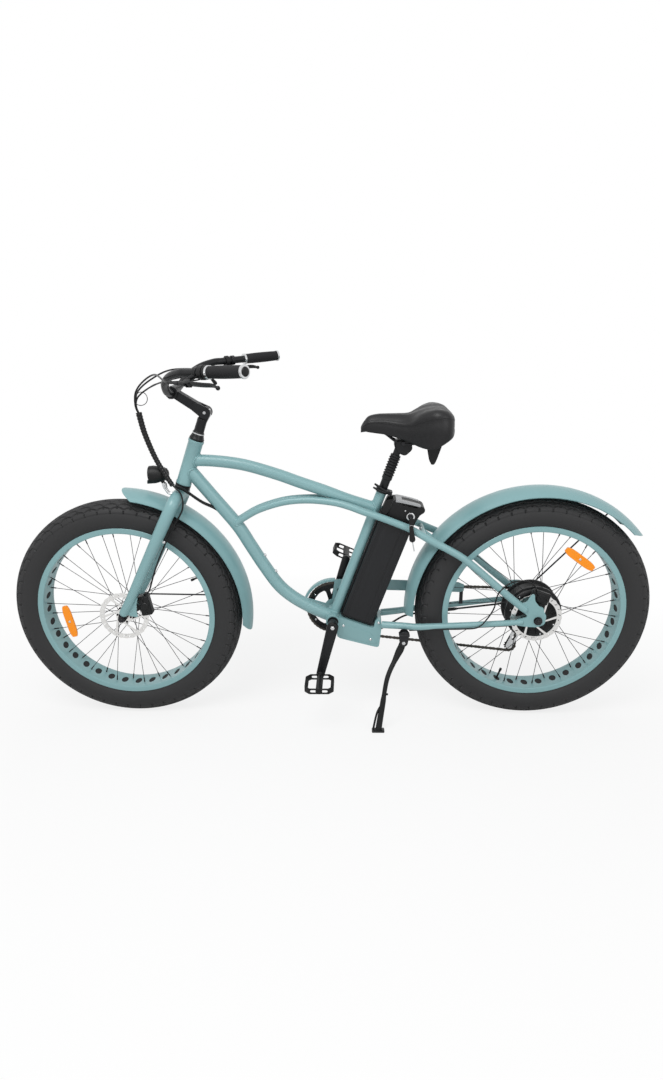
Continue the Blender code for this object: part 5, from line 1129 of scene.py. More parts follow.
# %% [markdown]
# ## The frame: the controller's case and the battery's dock
#
# Under the seat tube a shell of painted plate holds the motor's electronics, closed by three screws a side.
# Above it stands an extruded rail, onto which the battery slides down.
# The case is one outline given the width of the rear tubes, with its edges rounded as a casting has them.

# %% Controller case and dock
CASE = np.array([
    (-0.03, 0.362), (-0.148, 0.319), (-0.1525, 0.344), (-0.16, 0.352), (-0.17, 0.35), (-0.1735, 0.338),
    (-0.1735, 0.322), (-0.166, 0.256), (-0.158, 0.252), (-0.04, 0.284), (-0.029, 0.292)])
put("controller_shell", plate([rounded(CASE, 2, 0.12)], 0, 0.0836), POWDER_COAT, "frame",
    ["controller_case"], bevel=0.0042)
lid = rounded(
    np.array([(-0.048, 0.338), (-0.14, 0.305), (-0.158, 0.268), (-0.15, 0.264), (-0.05, 0.291)]), 3, 0.2)
lids = [plate([lid], side * 0.0421, 0.0016) for side in SIDES]
put("controller_lids", join(*lids), POWDER_COAT, "frame", bevel=0.0005)
screws = []
for side in SIDES:
    for place in (vec(-0.0509, 0, 0.33), vec(-0.138, 0, 0.281), vec(-0.164, 0, 0.34)):
        at = place + LEFT * side * 0.0428
        screws.append(rod(*span(at, LEFT * side, 0, 0.0018), 0.0042, 0.0008, 20))
        screws.append(nut(*span(at, LEFT * side, 0.0008, 0.002), 0.002))
put("controller_screws", join(*screws), BRIGHT_ALLOY, "frame")


def along_seat(height, back=0.0, y=0.0):
    """A point by its height along the seat tube, its distance behind it and its Y."""
    return BOTTOM_BRACKET + SEATING * height + SEAT_BACK * back + LEFT * y


SEAT_WAYS = np.stack([SEAT_BACK, LEFT, SEATING])
rail = [block(along_seat(0.208, 0.0182), (0.0032, 0.04, 0.356), 0.0008, SEAT_WAYS)]
rail.append(block(along_seat(0.0292, 0.07), (0.107, 0.07, 0.0048), 0.0015, SEAT_WAYS))
for side in SIDES:
    rail.append(block(along_seat(0.208, 0.0178, side * 0.0186), (0.0046, 0.003, 0.356), 0.001, SEAT_WAYS))
put("battery_rail", join(*rail), BATTERY_SHELL, "frame", ["battery_dock"])

# %% [markdown]
# ## The fork
#
# Two blades come out of a crown under the head tube and run down each side of the wheel.
# On this bicycle they are welded in one sweep from the crown, so each blade is one tapered tube.
# Their ends are clamped in black, and the left one carries the brake's bracket.

# %% Fork
BLADE = smooth([(0.4526, 0, 0.7621), (0.4535, 0.032, 0.7615), (0.458, 0.06, 0.753), (0.469, 0.0775, 0.73),
                (0.508, 0.0825, 0.655), (0.564, 0.0825, 0.547), (0.618, 0.082, 0.443), (0.647, 0.08, 0.393)])
blade_length = run(BLADE)
blade_radius = np.interp(blade_length / blade_length[-1], [0, 0.3, 1], [0.0198, 0.019, 0.0145])
blades = [tube(sided(BLADE, side), blade_radius, 32) for side in SIDES]
crown = rod(*span(HEAD_BOTTOM, STEERING, -0.052, -0.0165), 0.019, 0.002, 40)
tips = [ball(sided(BLADE[-1], side), 0.0143, 24) for side in SIDES]
put("fork_blades", join(*blades, crown, *tips), POWDER_COAT, "fork", ["fork"])
tab = np.array([(0.64, 0.425), (0.61, 0.45), (0.597, 0.444), (0.603, 0.425), (0.606, 0.392), (0.602, 0.377),
                (0.64, 0.385)])
put("fork_brake_tab", plate([rounded(tab)], 0.0802, 0.005), POWDER_COAT, "fork", bevel=0.0008)
fork_ends = [plate([flat_arm((0.644, 0.402), 0.0128, (0.655, TYRE_RADIUS), 0.0133)], side * 0.078, 0.0072)
             for side in SIDES]
put("fork_end_clamps", join(*fork_ends), CAST_BLACK, "fork", bevel=0.0012)
front_axle_parts = [rod(*span(FRONT_AXLE, LEFT, -0.0955, 0.0955), 0.006, 0.001)]
for side in SIDES:
    at = FRONT_AXLE + LEFT * side * 0.0816
    front_axle_parts.append(rod(*span(at, LEFT * side, 0, 0.0018), 0.0125, 0.0004))
    front_axle_parts.append(nut(*span(at, LEFT * side, 0.0018, 0.01), 0.011))
put("front_axle_nuts", join(*front_axle_parts), BLACK_STEEL, "fork")

# %% [markdown]
# ## Headset, stem and handlebar
#
# The fork's steerer turns in two bearings, held by cups pressed into the head tube.
# On top a cone of rings carries the stem, whose knuckle lets the bars tilt and locks with a bolt.
# All of these are turned on a lathe, so each is a profile spun about its own axis.

# %% Headset and stem
cups = [(0.0145, -0.016), (0.0225, -0.016), (0.0235, -0.0148), (0.0235, -0.0098), (0.0228, -0.009),
        (0.0228, -0.0068), (0.0238, -0.006), (0.0238, -0.0012), (0.0228, -0.0004), (0.0145, -0.0004),
        (0.0145, -0.016)]
steerer = rod(HEAD_BOTTOM + STEERING * 0.001, HEAD_TOP + STEERING * 0.0095, 0.0143, 0.0005, 32)
headset = [turned(cups, HEAD_BOTTOM, STEERING, 48), steerer]
put("headset_rings", join(*headset), ANODISED, "fork")
foot = HEAD_TOP + STEERING * 0.0102
washer = turned(sleeve(0.015, 0.0188, 0.0176, 0.021, 0.0004, 0.0004), foot, STEERING, 48)
put("headset_washer", washer, BRIGHT_ALLOY, "fork")
rise = float(np.linalg.norm(STEM_PIVOT - STEERING * 0.0215 - foot))
riser = turned([(0, 0), (0.022, 0), (0.0227, 0.0007), (0.0227, 0.0036), (0.0215, 0.005), (0.0196, 0.0105),
                (0.0178, 0.016), (0.017, 0.0185), (0.0176, 0.0192), (0.0176, 0.0222), (0.0162, 0.024),
                (0.0154, 0.026), (0.0153, 0.03), (0.0148, rise - 0.01), (0.015, rise - 0.0095),
                (0.015, rise - 0.0015), (0.0142, rise), (0, rise)], foot, STEERING, 48)
tongue = plate(
    [flat_arm(in_plane(STEM_PIVOT - STEERING * 0.032), 0.011, in_plane(STEM_PIVOT), 0.0175, 15)], 0, 0.018)
put("stem_riser_body", join(riser, tongue), ANODISED, "fork", ["stem_riser"], bevel=0.0006)
STEM_WAY = unit(BAR_CLAMP - STEM_PIVOT)
beam_start = STEM_PIVOT + STEM_WAY * 0.024
beam = plate(
    [flat_arm(in_plane(beam_start), 0.0138, in_plane(BAR_CLAMP - STEM_WAY * 0.01), 0.0122, 15)], 0, 0.031)
arms = [rod(*span(STEM_PIVOT, LEFT * side, 0.0094, 0.0185), 0.018, 0.0012, 40) for side in SIDES]
cheek_outline = flat_arm(in_plane(STEM_PIVOT), 0.018, in_plane(beam_start + STEM_WAY * 0.006), 0.0138, 15)
cheeks = [plate([cheek_outline], side * 0.0142, 0.0092) for side in SIDES]
barrel = turned(sleeve(0.0113, 0.0185, 0.022, -0.022, 0.0007, -0.0007), BAR_CLAMP, LEFT, 40)
put("stem_arm_body", join(beam, *arms, *cheeks, barrel), ANODISED, "bars", ["stem_arm"],
    bevel=0.0008)
BOLT_PLACES = [(BAR_CLAMP, 0.0188, turn, side * 0.015, 0.0022) for side in SIDES for turn in (58, -62)]
BOLT_PLACES += [(STEM_PIVOT, 0.018, turn, 0.013, 0.002) for turn in (150, 205)]
bolts = []
for centre, distance, turn, y, head in BOLT_PLACES:
    out = radial(0 * UP, 1.0, turn)
    bolts.append(rod(*span(radial(centre, distance, turn, y), out, -0.004, head), 0.003, 0.0005, 16))
bolts[4:4] = [rod(*span(STEM_PIVOT, LEFT * side, 0.018, 0.0205), 0.0046, 0.0008, 24) for side in SIDES]
put("stem_bolts", join(*bolts), BRIGHT_ALLOY, "bars")


# %% Handlebar and grips
def on_grip_line(distance, side=1):
    """A point inboard of the grip's inner end along the grip's line."""
    return sided(GRIP_INNER - GRIP * distance, side)


half_bar = smooth([
    (BAR_CLAMP[0], 0.035, BAR_CLAMP[2]), (0.4465, 0.075, 1.082), (0.433, 0.132, 1.108),
    (0.404, 0.184, 1.131), on_grip_line(0.106), on_grip_line(0.074), on_grip_line(0.0), GRIP_OUTER])
whole_bar = np.concatenate([half_bar[::-1], [BAR_CLAMP], sided(half_bar, -1)])
put("handlebar_tube", tube(even(whole_bar, 220), 0.0111, 28), ANODISED, "bars", ["handlebar"])
GRIP_LENGTH = float(np.linalg.norm(GRIP_OUTER - GRIP_INNER))


def grip(side):
    """Radius = 15.5 mm, swelling by 1 mm in the middle, less 0.5 mm times the product of two cosines, one
    round the grip and one along it, wherever that product is above nought."""
    along, turns = 120, 72
    t = np.linspace(0, 1, along)
    turn = full_turn(turns)
    swell = 0.0155 + 0.001 * np.sin(math.pi * t)
    fade = np.clip(np.minimum(t, 1 - t) / 0.08, 0, 1)
    pattern = np.maximum(np.cos(12 * turn)[None] * np.cos(2 * math.pi * 17 * t)[:, None], 0)
    radius = swell[:, None] - 0.0005 * pattern * fade[:, None]
    start = sided(GRIP_INNER, side)
    axis = sided(GRIP, side)
    first = unit(np.cross(axis, UP))
    second = np.cross(axis, first)
    ring = np.cos(turn)[:, None] * first + np.sin(turn)[:, None] * second
    reach = 0.007 + (GRIP_LENGTH - 0.0135) * t
    points = start + reach[:, None, None] * axis + radius[..., None] * ring[None]
    return points.reshape(-1, 3), capped(along, turns)


for side, word in SIDES.items():
    axis = sided(GRIP, side)
    start = sided(GRIP_INNER, side)
    end = sided(GRIP_OUTER, side)
    put(f"grip_rubber_{word}", grip(side), GRIP_RUBBER, "bars", [f"grip_{word}"], smooth_angle=50)
    rings = []
    for at, edge, height in ((start, 0.0066, 0.0072), (end - axis * 0.005, 0.0055, 0.0062)):
        profile = [(0.0112, 0), (0.0168, 0), (0.0175, 0.0007), (0.0175, edge), (0.0168, height),
                   (0.0112, height), (0.0112, 0)]
        rings.append(turned(profile, at, axis, 40))
    out = np.cross(axis, UP)
    rings.append(rod(*span(start + axis * 0.0036, out, 0.0165, 0.0185), 0.0022, 0.0004, 16))
    put(f"grip_rings_{word}", join(*rings), BRIGHT_ALLOY, "bars")
    plug = turned([(0, 0.005), (0.0085, 0.0047), (0.011, 0.0038), (0.0122, 0.002), (0.0124, 0.0008),
                   (0.012, 0), (0, 0)], end, axis, 40)
    put(f"grip_plug_{word}", plug, NYLON, "bars")
print("pieces so far:", len(PIECES))

# %% [markdown]
# ## Controls on the bars
#
# Next to each grip sit the clamp of the brake lever and, on one side, the throttle's ring and the gear
# shifter. The levers hinge on pins in their brackets, so lever and bracket are separate pieces on separate
# bodies.

# %% Brake levers and their brackets
FLAT_OUT = unit(vec(GRIP[1], -GRIP[0], 0))
LEVER_DROP = math.radians(43)
dropped = FLAT_OUT * math.cos(LEVER_DROP) - UP * math.sin(LEVER_DROP)
LEVER_OUT = unit(dropped - GRIP * float(dropped @ GRIP))
LEVER_AXIS = unit(np.cross(GRIP, LEVER_OUT))
LEVER_PIVOT = GRIP_INNER - GRIP * 0.044 + LEVER_OUT * 0.036


def clamp_ring(distance, radius, half, side):
    """A band round the bar with soft edges."""
    profile = sleeve(0.0112, radius, half, -half, 0.001, -0.001)
    return turned(profile, on_grip_line(distance, side), sided(GRIP, side), 40)


def blade_sweep(line, wide, thick, way):
    """A flat bar: line + wide times cos to the power 0.7 along one direction + thick times sin to that power
    across it, so that its section is an oval with nearly flat faces."""
    ahead = unit(np.gradient(line, axis=0))
    over = unit(np.cross(ahead, way))
    turn = full_turn(24)
    c, s = (np.sign(wave) * np.abs(wave) ** 0.7 for wave in (np.cos(turn), np.sin(turn)))
    points = line[:, None] + wide[:, None, None] * c[None, :, None] * way
    points = points + thick[:, None, None] * s[None, :, None] * over[:, None]
    return points.reshape(-1, 3), capped(len(line), 24)


for side, word in SIDES.items():
    pivot = sided(LEVER_PIVOT, side)
    inward = sided(-GRIP, side)
    out = sided(LEVER_OUT, side)
    hinge = sided(LEVER_AXIS, side)
    ring_middle = on_grip_line(0.04, side)
    perch = [clamp_ring(0.04, 0.015, 0.0065, side)]
    post_end = pivot + inward * 0.022
    neck = [ring_middle + out * 0.01, (ring_middle + post_end) / 2 + out * 0.002, post_end + out * 0.001]
    perch.append(tube(np.stack(neck), 0.007, 20))
    perch.append(rod(*span(pivot, inward, 0.011, 0.036), 0.0088, 0.0012, 28, 0.0062))
    ears = [pivot + inward * 0.0045 + hinge * way * 0.0072 for way in (1, -1)]
    perch += [block(ear, (0.022, 0.0028, 0.014), 0.001, np.stack([inward, hinge, out])) for ear in ears]
    body = join(*perch)
    put(f"control_{word}_bracket", body, ANODISED, "bars", [f"control_{word}"], bevel=0.0004)
    barrel = [(0, 0), (0.0042, 0), (0.0042, 0.0035), (0.0036, 0.004), (0.0036, 0.006), (0.005, 0.0066),
              (0.005, 0.015), (0.004, 0.016), (0.0034, 0.023), (0, 0.0232)]
    adjuster = [turned(barrel, pivot + inward * 0.0362, inward, 24)]
    adjuster.append(rod(*span(pivot, hinge, -0.0092, 0.0092), 0.003, 0.0006, 20))
    clamp_screw = ring_middle - out * 0.0135
    adjuster.append(rod(*span(clamp_screw, hinge, -0.004, 0.006), 0.0024, 0.0005, 16))
    put(f"control_{word}_adjuster", join(*adjuster), BLACK_STEEL, "bars")
    spots = [(-0.004, 0.0006), (0, 0), (0.022, 0.003), (0.055, 0.006), (0.09, 0.008), (0.113, 0.016)]
    blade = np.array([pivot - inward * along + out * away for along, away in spots])
    line = smooth(blade, 10)
    wide = np.interp(
        np.linspace(0, 1, len(line)), [0, 0.12, 0.3, 0.85, 1], [0.0058, 0.0082, 0.009, 0.0064, 0.0042])
    thick = np.interp(np.linspace(0, 1, len(line)), [0, 0.1, 0.25, 1], [0.0055, 0.0048, 0.0034, 0.0028])
    lever = [blade_sweep(line, wide, thick, hinge),
             rod(*span(pivot, hinge, -0.0055, 0.0055), 0.0074, 0.0008, 24), ball(blade[-1], 0.0058, 20)]
    put(f"brake_lever_{word}_blade", join(*lever), ANODISED, f"brake_lever_{word}",
        [f"brake_lever_{word}"])


# %% Throttle, shifter and their levers
housing = join(clamp_ring(0.0185, 0.019, 0.0075, 1), clamp_ring(0.027, 0.0165, 0.002, 1))
link_start = on_grip_line(0.022) + LEVER_OUT * 0.0148
link = rod(link_start, on_grip_line(0.037) + LEVER_OUT * 0.0148, 0.0025, 0.0004, 12)
put("throttle_housing", join(housing, link), NYLON, "bars", bevel=0.0003)
paddle = even(np.stack(span(on_grip_line(0.0055), LEVER_AXIS, 0.014, 0.042)), 8)
swell = np.interp(np.linspace(0, 1, 8), [0, 0.5, 0.85, 1], [0.0034, 0.004, 0.0052, 0.0038])
throttle = join(clamp_ring(0.0055, 0.018, 0.0034, 1), tube(paddle, swell, 20))
put("throttle_paddle", throttle, NYLON, "throttle_lever", ["throttle_lever"])

POD_ALONG = sided(GRIP, -1)
POD_ACROSS = unit(np.cross(UP, POD_ALONG))
POD_UP = np.cross(POD_ALONG, POD_ACROSS)
POD_CENTRE = on_grip_line(0.052, -1) - POD_UP * 0.0275 - sided(FLAT_OUT, -1) * 0.009
pod_ways = np.stack([POD_ALONG, POD_ACROSS, POD_UP])
shifter_ring = clamp_ring(0.06, 0.016, 0.006, -1)
shifter_neck = rod(*span(on_grip_line(0.06, -1), POD_UP, -0.011, -0.022), 0.006)
pod = block(POD_CENTRE, (0.05, 0.036, 0.021), 0.006, pod_ways, 8)
boss = rod(
    POD_CENTRE - POD_ALONG * 0.022 + POD_UP * 0.002, POD_CENTRE - POD_ALONG * 0.032 + POD_UP * 0.002, 0.0048)
put("shifter_pod", join(shifter_ring, shifter_neck, pod, boss), NYLON, "bars")
glass_look = finish("clear_gauge_window", "#2E3336", 0.08, Coat_Weight=1.0, Coat_Roughness=0.03)
WINDOW = grained(glass_look, 0.004, 0.00002, ("#282C2F", "#383D40"), (0.05, 0.12))
window = block(POD_CENTRE + POD_UP * 0.01 + POD_ALONG * 0.004, (0.026, 0.014, 0.0028), 0.0012, pod_ways)
put("shifter_window", window, WINDOW, "bars")
hub_top = POD_CENTRE - POD_UP * 0.0116
thumb_tip = hub_top - POD_UP * 0.0075 + POD_ALONG * 0.034 - sided(FLAT_OUT, -1) * 0.018
thumb_line = smooth([hub_top - POD_UP * 0.0026, (hub_top + thumb_tip) / 2 - POD_UP * 0.001, thumb_tip])
swell = np.interp(np.linspace(0, 1, len(thumb_line)), [0, 0.5, 0.8, 1], [0.0026, 0.003, 0.0048, 0.0036])
shift = join(rod(hub_top - POD_UP * 0.005, hub_top, 0.0085, 0.0008), tube(thumb_line, swell, 20))
put("shift_thumb_lever", shift, BRIGHT_ALLOY, "shift_lever", ["shift_lever"])

# %% [markdown]
# ## Cables
#
# The cables leave the levers in arcs, meet in front of the stem and run down inside one spiral wrap.
# A spiral wrap is a flat plastic ribbon wound round the bundle, so its surface is a tube whose radius swells
# and sinks as a screw thread does, once in each 9.5 millimetres.

# %% Cables and their wrap
def wrapped(path, radius, pitch, depth, sides=24):
    """A tube whose radius adds depth times the cosine of (angle - length x 2 pi / pitch)."""
    wave = np.cos(full_turn(sides)[None] - 2 * math.pi * run(path)[:, None] / pitch)
    return tube(path, np.broadcast_to(radius, len(path))[:, None] + depth * wave, sides)


HARNESS = even(smooth([(0.56, 0.016, 1.044), (0.553, 0.016, 1.017), (0.541, 0.016, 0.953),
                       (0.516, 0.018, 0.88), (0.487, 0.024, 0.826), (0.466, 0.034, 0.796)]), 190)
MAIN = even(
    smooth([(0.4555, 0.038, 0.7935), (0.44, 0.0405, 0.789), (0.42, 0.039, 0.776), (0.401, 0.034, 0.759),
    (0.379, 0.025, 0.74), (0.356, 0.014, 0.725), (0.34, 0.006, 0.712)]), 110)
covered = HARNESS[HARNESS[:, 2] < 1.016]
spiral = wrapped(covered, np.linspace(0.0088, 0.0073, len(covered)), 0.0095, 0.0006)
wrap = put("cable_wrap", spiral, SHEATH, None, ["cable_harness"], smooth_angle=60)
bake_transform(wrap)


def lever_cable(side):
    """From the lever's adjuster forward and down into the wrap."""
    inward = sided(-GRIP, side)
    start = sided(LEVER_PIVOT, side) + inward * 0.056
    return smooth([start, start + inward * 0.036 + UP * 0.004, (0.47, 0.095 * side, 1.13),
                   (0.52, 0.045 * side, 1.108), (0.552, 0.016 + 0.01 * side, 1.075),
                   (0.559, 0.016 + 0.004 * side, 1.036), (0.5512, 0.016 + 0.002 * side, 1.008)])


FRONT_BRAKE = smooth([
    (0.472, 0.031, 0.803), (0.456, 0.052, 0.796), (0.434, 0.062, 0.772), (0.433, 0.07, 0.73),
    (0.46, 0.078, 0.682), (0.488, 0.079, 0.633), (0.518, 0.079, 0.572), (0.54, 0.078, 0.519),
    (0.556, 0.076, 0.475), (0.568, 0.07, 0.456), (0.582, 0.064, 0.448)])
throttle_wire = smooth([on_grip_line(0.027) - UP * 0.016, on_grip_line(0.05) - UP * 0.02 + vec(0.008, 0, 0),
                        (0.455, 0.11, 1.108), (0.512, 0.05, 1.084), (0.548, 0.026, 1.06),
                        (0.556, 0.021, 1.03), (0.5505, 0.019, 1.008)])
shifter_wire = smooth([
    POD_CENTRE - POD_ALONG * 0.03 + POD_UP * 0.002, POD_CENTRE - POD_ALONG * 0.055, (0.47, -0.08, 1.102),
    (0.52, -0.03, 1.086), (0.552, 0.006, 1.06), (0.56, 0.011, 1.03), (0.553, 0.0135, 1.008)])
BRAKE_RADIUS = 0.0026
WIRES = {"left lever": (lever_cable(1), BRAKE_RADIUS, 14),
         "right lever": (lever_cable(-1), BRAKE_RADIUS, 14), "front brake": (FRONT_BRAKE, BRAKE_RADIUS, 14),
         "throttle": (throttle_wire, 0.0019, 12), "shifter": (shifter_wire, 0.0024, 12)}
print("cable lengths mm:", {name: round(run(wire[0])[-1] * 1000) for name, wire in WIRES.items()})
wires = [tube(*wire) for wire in WIRES.values()]
turn = np.linspace(-0.9, 1.62 * math.pi, 40)
thin_loop = np.stack(
    [0.533 + 0.0185 * np.cos(turn + 0.5), 0.03 + 0.004 * turn, 1.058 + 0.0185 * np.sin(turn + 0.5)], -1)
wires.append(tube(thin_loop, 0.0011, 8))
thin = put("brake_and_gear_cables", join(*wires), SHEATH, None, smooth_angle=60)
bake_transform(thin)
main_shape = join(tube(MAIN, 0.0042, 16), tube(MAIN + vec(0.002, 0.0035, 0.0042), 0.0022, 12),
                  tube(MAIN + vec(-0.002, 0.001, -0.0048), 0.0019, 12))
crossing = put("cables_to_the_frame", main_shape, SHEATH, None, ["main_cables"], smooth_angle=60)
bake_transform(crossing)
cable_clip = block(vec(0.496, 0.08, 0.6299), (0.01, 0.0075, 0.0085), 0.002)
put("brake_cable_clip", cable_clip, BRIGHT_ALLOY, "fork")

REAR_BRAKE = smooth([(-0.26, 0.07, 0.327), (-0.34, 0.084, 0.337), (-0.42, 0.093, 0.343), (-0.47, 0.1, 0.352),
                     (-0.4981, 0.103, 0.3845), (-0.5161, 0.103, 0.4202), (-0.5204, 0.104, 0.4498),
                     (-0.531, 0.101, 0.4741), (-0.5562, 0.095, 0.4948), (-0.5823, 0.088, 0.502),
                     (-0.6134, 0.082, 0.499), (-0.6378, 0.08, 0.486), (-0.65, 0.08, 0.464)])
put("rear_brake_cable", tube(REAR_BRAKE, 0.0022, 12), SHEATH, "frame", smooth_angle=60)
MOTOR_CABLE = even(smooth([(-0.176, -0.03, 0.285), (-0.21, -0.052, 0.295), (-0.26, -0.07, 0.315),
                           (-0.33, -0.0785, 0.323), (-0.42, -0.085, 0.331), (-0.52, -0.092, 0.34),
                           (-0.59, -0.1, 0.346), (-0.635, -0.11, 0.356), (-0.655, -0.113, 0.3705)]), 120)
middle = len(MOTOR_CABLE) // 2
plug_line = MOTOR_CABLE[middle - 6:middle + 6]
plug_radius = np.interp(
    np.linspace(0, 1, 12), [0, 0.15, 0.2, 0.8, 0.85, 1], [0.0036, 0.0046, 0.0056, 0.0056, 0.0046, 0.0036])
put("motor_lead", join(tube(MOTOR_CABLE, 0.0032, 14), tube(plug_line, plug_radius, 18)), SHEATH, "frame",
    ["motor_cable"], smooth_angle=60)

# %% [markdown]
# ## The headlight
#
# The lamp is a moulded shell with a clear lens in front of a bright bowl, on a tilting lug.
# A shell, a bowl and a lens share one axis, so each is a profile turned about it.
# The shade above the lens is a strip of the same shell, carried forward over the upper third of the rim.

# %% Headlight
AIM = unit(vec(0.985, 0, -0.05))
LAMP_CENTRE = vec(0.514, 0, 0.824)
LAMP_PIVOT = vec(0.501, 0, 0.792)
lamp_shell = turned([
    (0.0242, 0.029), (0.0262, 0.0295), (0.0272, 0.0285), (0.0276, 0.015), (0.0268, 0.0105), (0.0252, 0.002),
    (0.023, -0.006), (0.0196, -0.0135), (0.0152, -0.024), (0.012, -0.028), (0.006, -0.03), (0, -0.0302),
    (0, -0.012), (0.009, -0.008), (0.02, 0.014), (0.024, 0.025), (0.0242, 0.029)], LAMP_CENTRE, AIM, 64)
rib = np.array([(0.015, -0.0245), (0.018, -0.024), (0.018, -0.0222), (0.015, -0.0215), (0.015, -0.0245)])
rib_step = np.array([
    (0.0028, 0.0058), (0.0026, 0.0058), (0.0026, 0.0058), (0.0028, 0.0058), (0.0028, 0.0058)])
cooling = [turned(rib + rib_step * k, LAMP_CENTRE, AIM, 48) for k in range(3)]
lamp_up = unit(np.cross(LEFT, AIM))
arc = np.radians(np.linspace(25, 155, 25))
shade_lines = []
arc_out = np.cos(arc)[:, None] * LEFT + np.sin(arc)[:, None] * lamp_up
corners = ((0.0276, 0.024, 0), (0.0276, 0.0385, 0.012), (0.0262, 0.0385, 0.012), (0.0262, 0.024, 0))
for radius, reach, slant in corners:
    ring_line = LAMP_CENTRE + AIM * reach + radius * arc_out
    shade_lines.append(ring_line - AIM * (slant * (1 - np.sin(arc)))[:, None])
shade = (np.stack(shade_lines, 1).reshape(-1, 3), capped(len(arc), 4))
lamp_lug = rod(*span(LAMP_PIVOT, LEFT, -0.004, 0.004), 0.0065, 0.0006)
neck = rod(LAMP_PIVOT, LAMP_CENTRE - AIM * 0.006 - UP * 0.018, 0.0055)
put("lamp_shell", join(lamp_shell, *cooling, shade, lamp_lug, neck), NYLON, "headlight",
    ["headlight"], bevel=0.0002)
bowl = turned([(0.005, -0.007), (0.01, -0.0055), (0.016, 0.002), (0.02, 0.011), (0.0222, 0.02),
               (0.0234, 0.0245), (0.0214, 0.0205), (0.015, 0.003), (0.0095, -0.004), (0.005, -0.0052),
               (0.005, -0.007)], LAMP_CENTRE, AIM, 48)
put("lamp_bowl", bowl, BRIGHT_ALLOY, "headlight")
lens_look = finish("clear_moulded_lens", "#F2F4F5", 0.04, Transmission_Weight=1.0, IOR=1.49)
ribs_in = add(lens_look[1], "Mapping", {"Scale": (1, 1, 0.02)}, {"Vector": lens_look[3]})
flutes = add(lens_look[1], "TexVoronoi", {"Scale": 1 / 0.0035}, {"Vector": ribs_in.outputs[0]})
bumped(lens_look, flutes.outputs["Distance"], 0.5, 0.0005)
lens = turned([(0, 0.029), (0.012, 0.0284), (0.02, 0.027), (0.0238, 0.0256), (0.0238, 0.0246),
               (0.02, 0.0256), (0.012, 0.0268), (0, 0.0272)], LAMP_CENTRE, AIM, 48)
put("lamp_lens", lens, lens_look[0], "headlight")
strap_line = smooth([(0.462, 0, 0.764), (0.486, 0, 0.764), (0.494, 0, 0.772), (0.5, 0, 0.784)])
strap = [tube(strap_line + LEFT * side * 0.0058, 0.0034, 14) for side in SIDES]
strap.append(rod(*span(LAMP_PIVOT, LEFT, -0.0105, 0.0105), 0.0028, 0.0005, 16))
strap += [nut(*span(LAMP_PIVOT, LEFT * side, 0.0066, 0.011), 0.0052) for side in SIDES]
lug_plate = flat_arm((0.499, 0.783), 0.0052, in_plane(LAMP_PIVOT), 0.0062)
strap += [plate([lug_plate], side * 0.0056, 0.0022) for side in SIDES]
put("lamp_bracket", join(*strap), BRIGHT_ALLOY, "fork", bevel=0.0003)
print("pieces so far:", len(PIECES))

# %% [markdown]
# ## The saddle
#
# A cruiser's saddle is a moulded shell with a thick foam pad, covered in vinyl that is pulled over and glued
# below. Cloth simulation can puff a pad up, but this cover is stretched over firm foam and keeps its moulded
# shape. So the form is drawn as it would be carved: sections across it are spaced along its length, and a
# smooth curve through them in both directions gives the crown, the ridge and the hollow of its flank.

# %% Saddle cover
VINYL = finish(
    "embossed_black_vinyl", "#141415", 0.42, Coat_Weight=0.06, Coat_Roughness=0.35, Specular_IOR_Level=0.3)
leather = add(
    VINYL[1], "TexVoronoi", {"Scale": 1 / 0.0022}, {"Vector": VINYL[3]}, feature="DISTANCE_TO_EDGE")
creases = add(VINYL[1], "TexNoise", {"Scale": 1 / 0.012, "Detail": 4.0}, {"Vector": VINYL[3]})
grain = add(VINYL[1], "Math", {1: 0.6}, {0: leather.outputs["Distance"], 2: creases.outputs[0]},
            operation="MULTIPLY_ADD")
bumped(VINYL, grain.outputs[0], 0.35, 0.0004)
roughened(VINYL, creases.outputs[0], (0.36, 0.5))
shaded(VINYL, creases.outputs[0], ("#101011", "#1A1A1C"))

SADDLE = np.array([
    # x, half width, middle of the top, ridge, hollow below it, widest part of the skirt, its lower edge
    (-0.1075, 0.004, 0.962, 0.961, 0.96, 0.959, 0.957),
    (-0.111, 0.011, 0.97, 0.966, 0.963, 0.96, 0.955),
    (-0.1185, 0.018, 0.981, 0.974, 0.968, 0.962, 0.953),
    (-0.131, 0.024, 0.994, 0.983, 0.974, 0.963, 0.951),
    (-0.156, 0.029, 1.0, 0.987, 0.976, 0.962, 0.948),
    (-0.185, 0.033, 1.001, 0.987, 0.973, 0.959, 0.944),
    (-0.215, 0.042, 1.001, 0.984, 0.969, 0.953, 0.936),
    (-0.25, 0.063, 1.002, 0.985, 0.968, 0.949, 0.926),
    (-0.275, 0.086, 1.013, 1.004, 0.976, 0.95, 0.917),
    (-0.3, 0.106, 1.022, 1.017, 0.985, 0.952, 0.913),
    (-0.325, 0.118, 1.025, 1.0225, 0.991, 0.954, 0.918),
    (-0.352, 0.115, 1.022, 1.018, 0.993, 0.96, 0.933),
    (-0.369, 0.098, 1.009, 1.007, 0.992, 0.966, 0.944),
    (-0.376, 0.072, 0.998, 0.997, 0.988, 0.972, 0.955),
    (-0.3795, 0.036, 0.988, 0.987, 0.983, 0.976, 0.966),
])


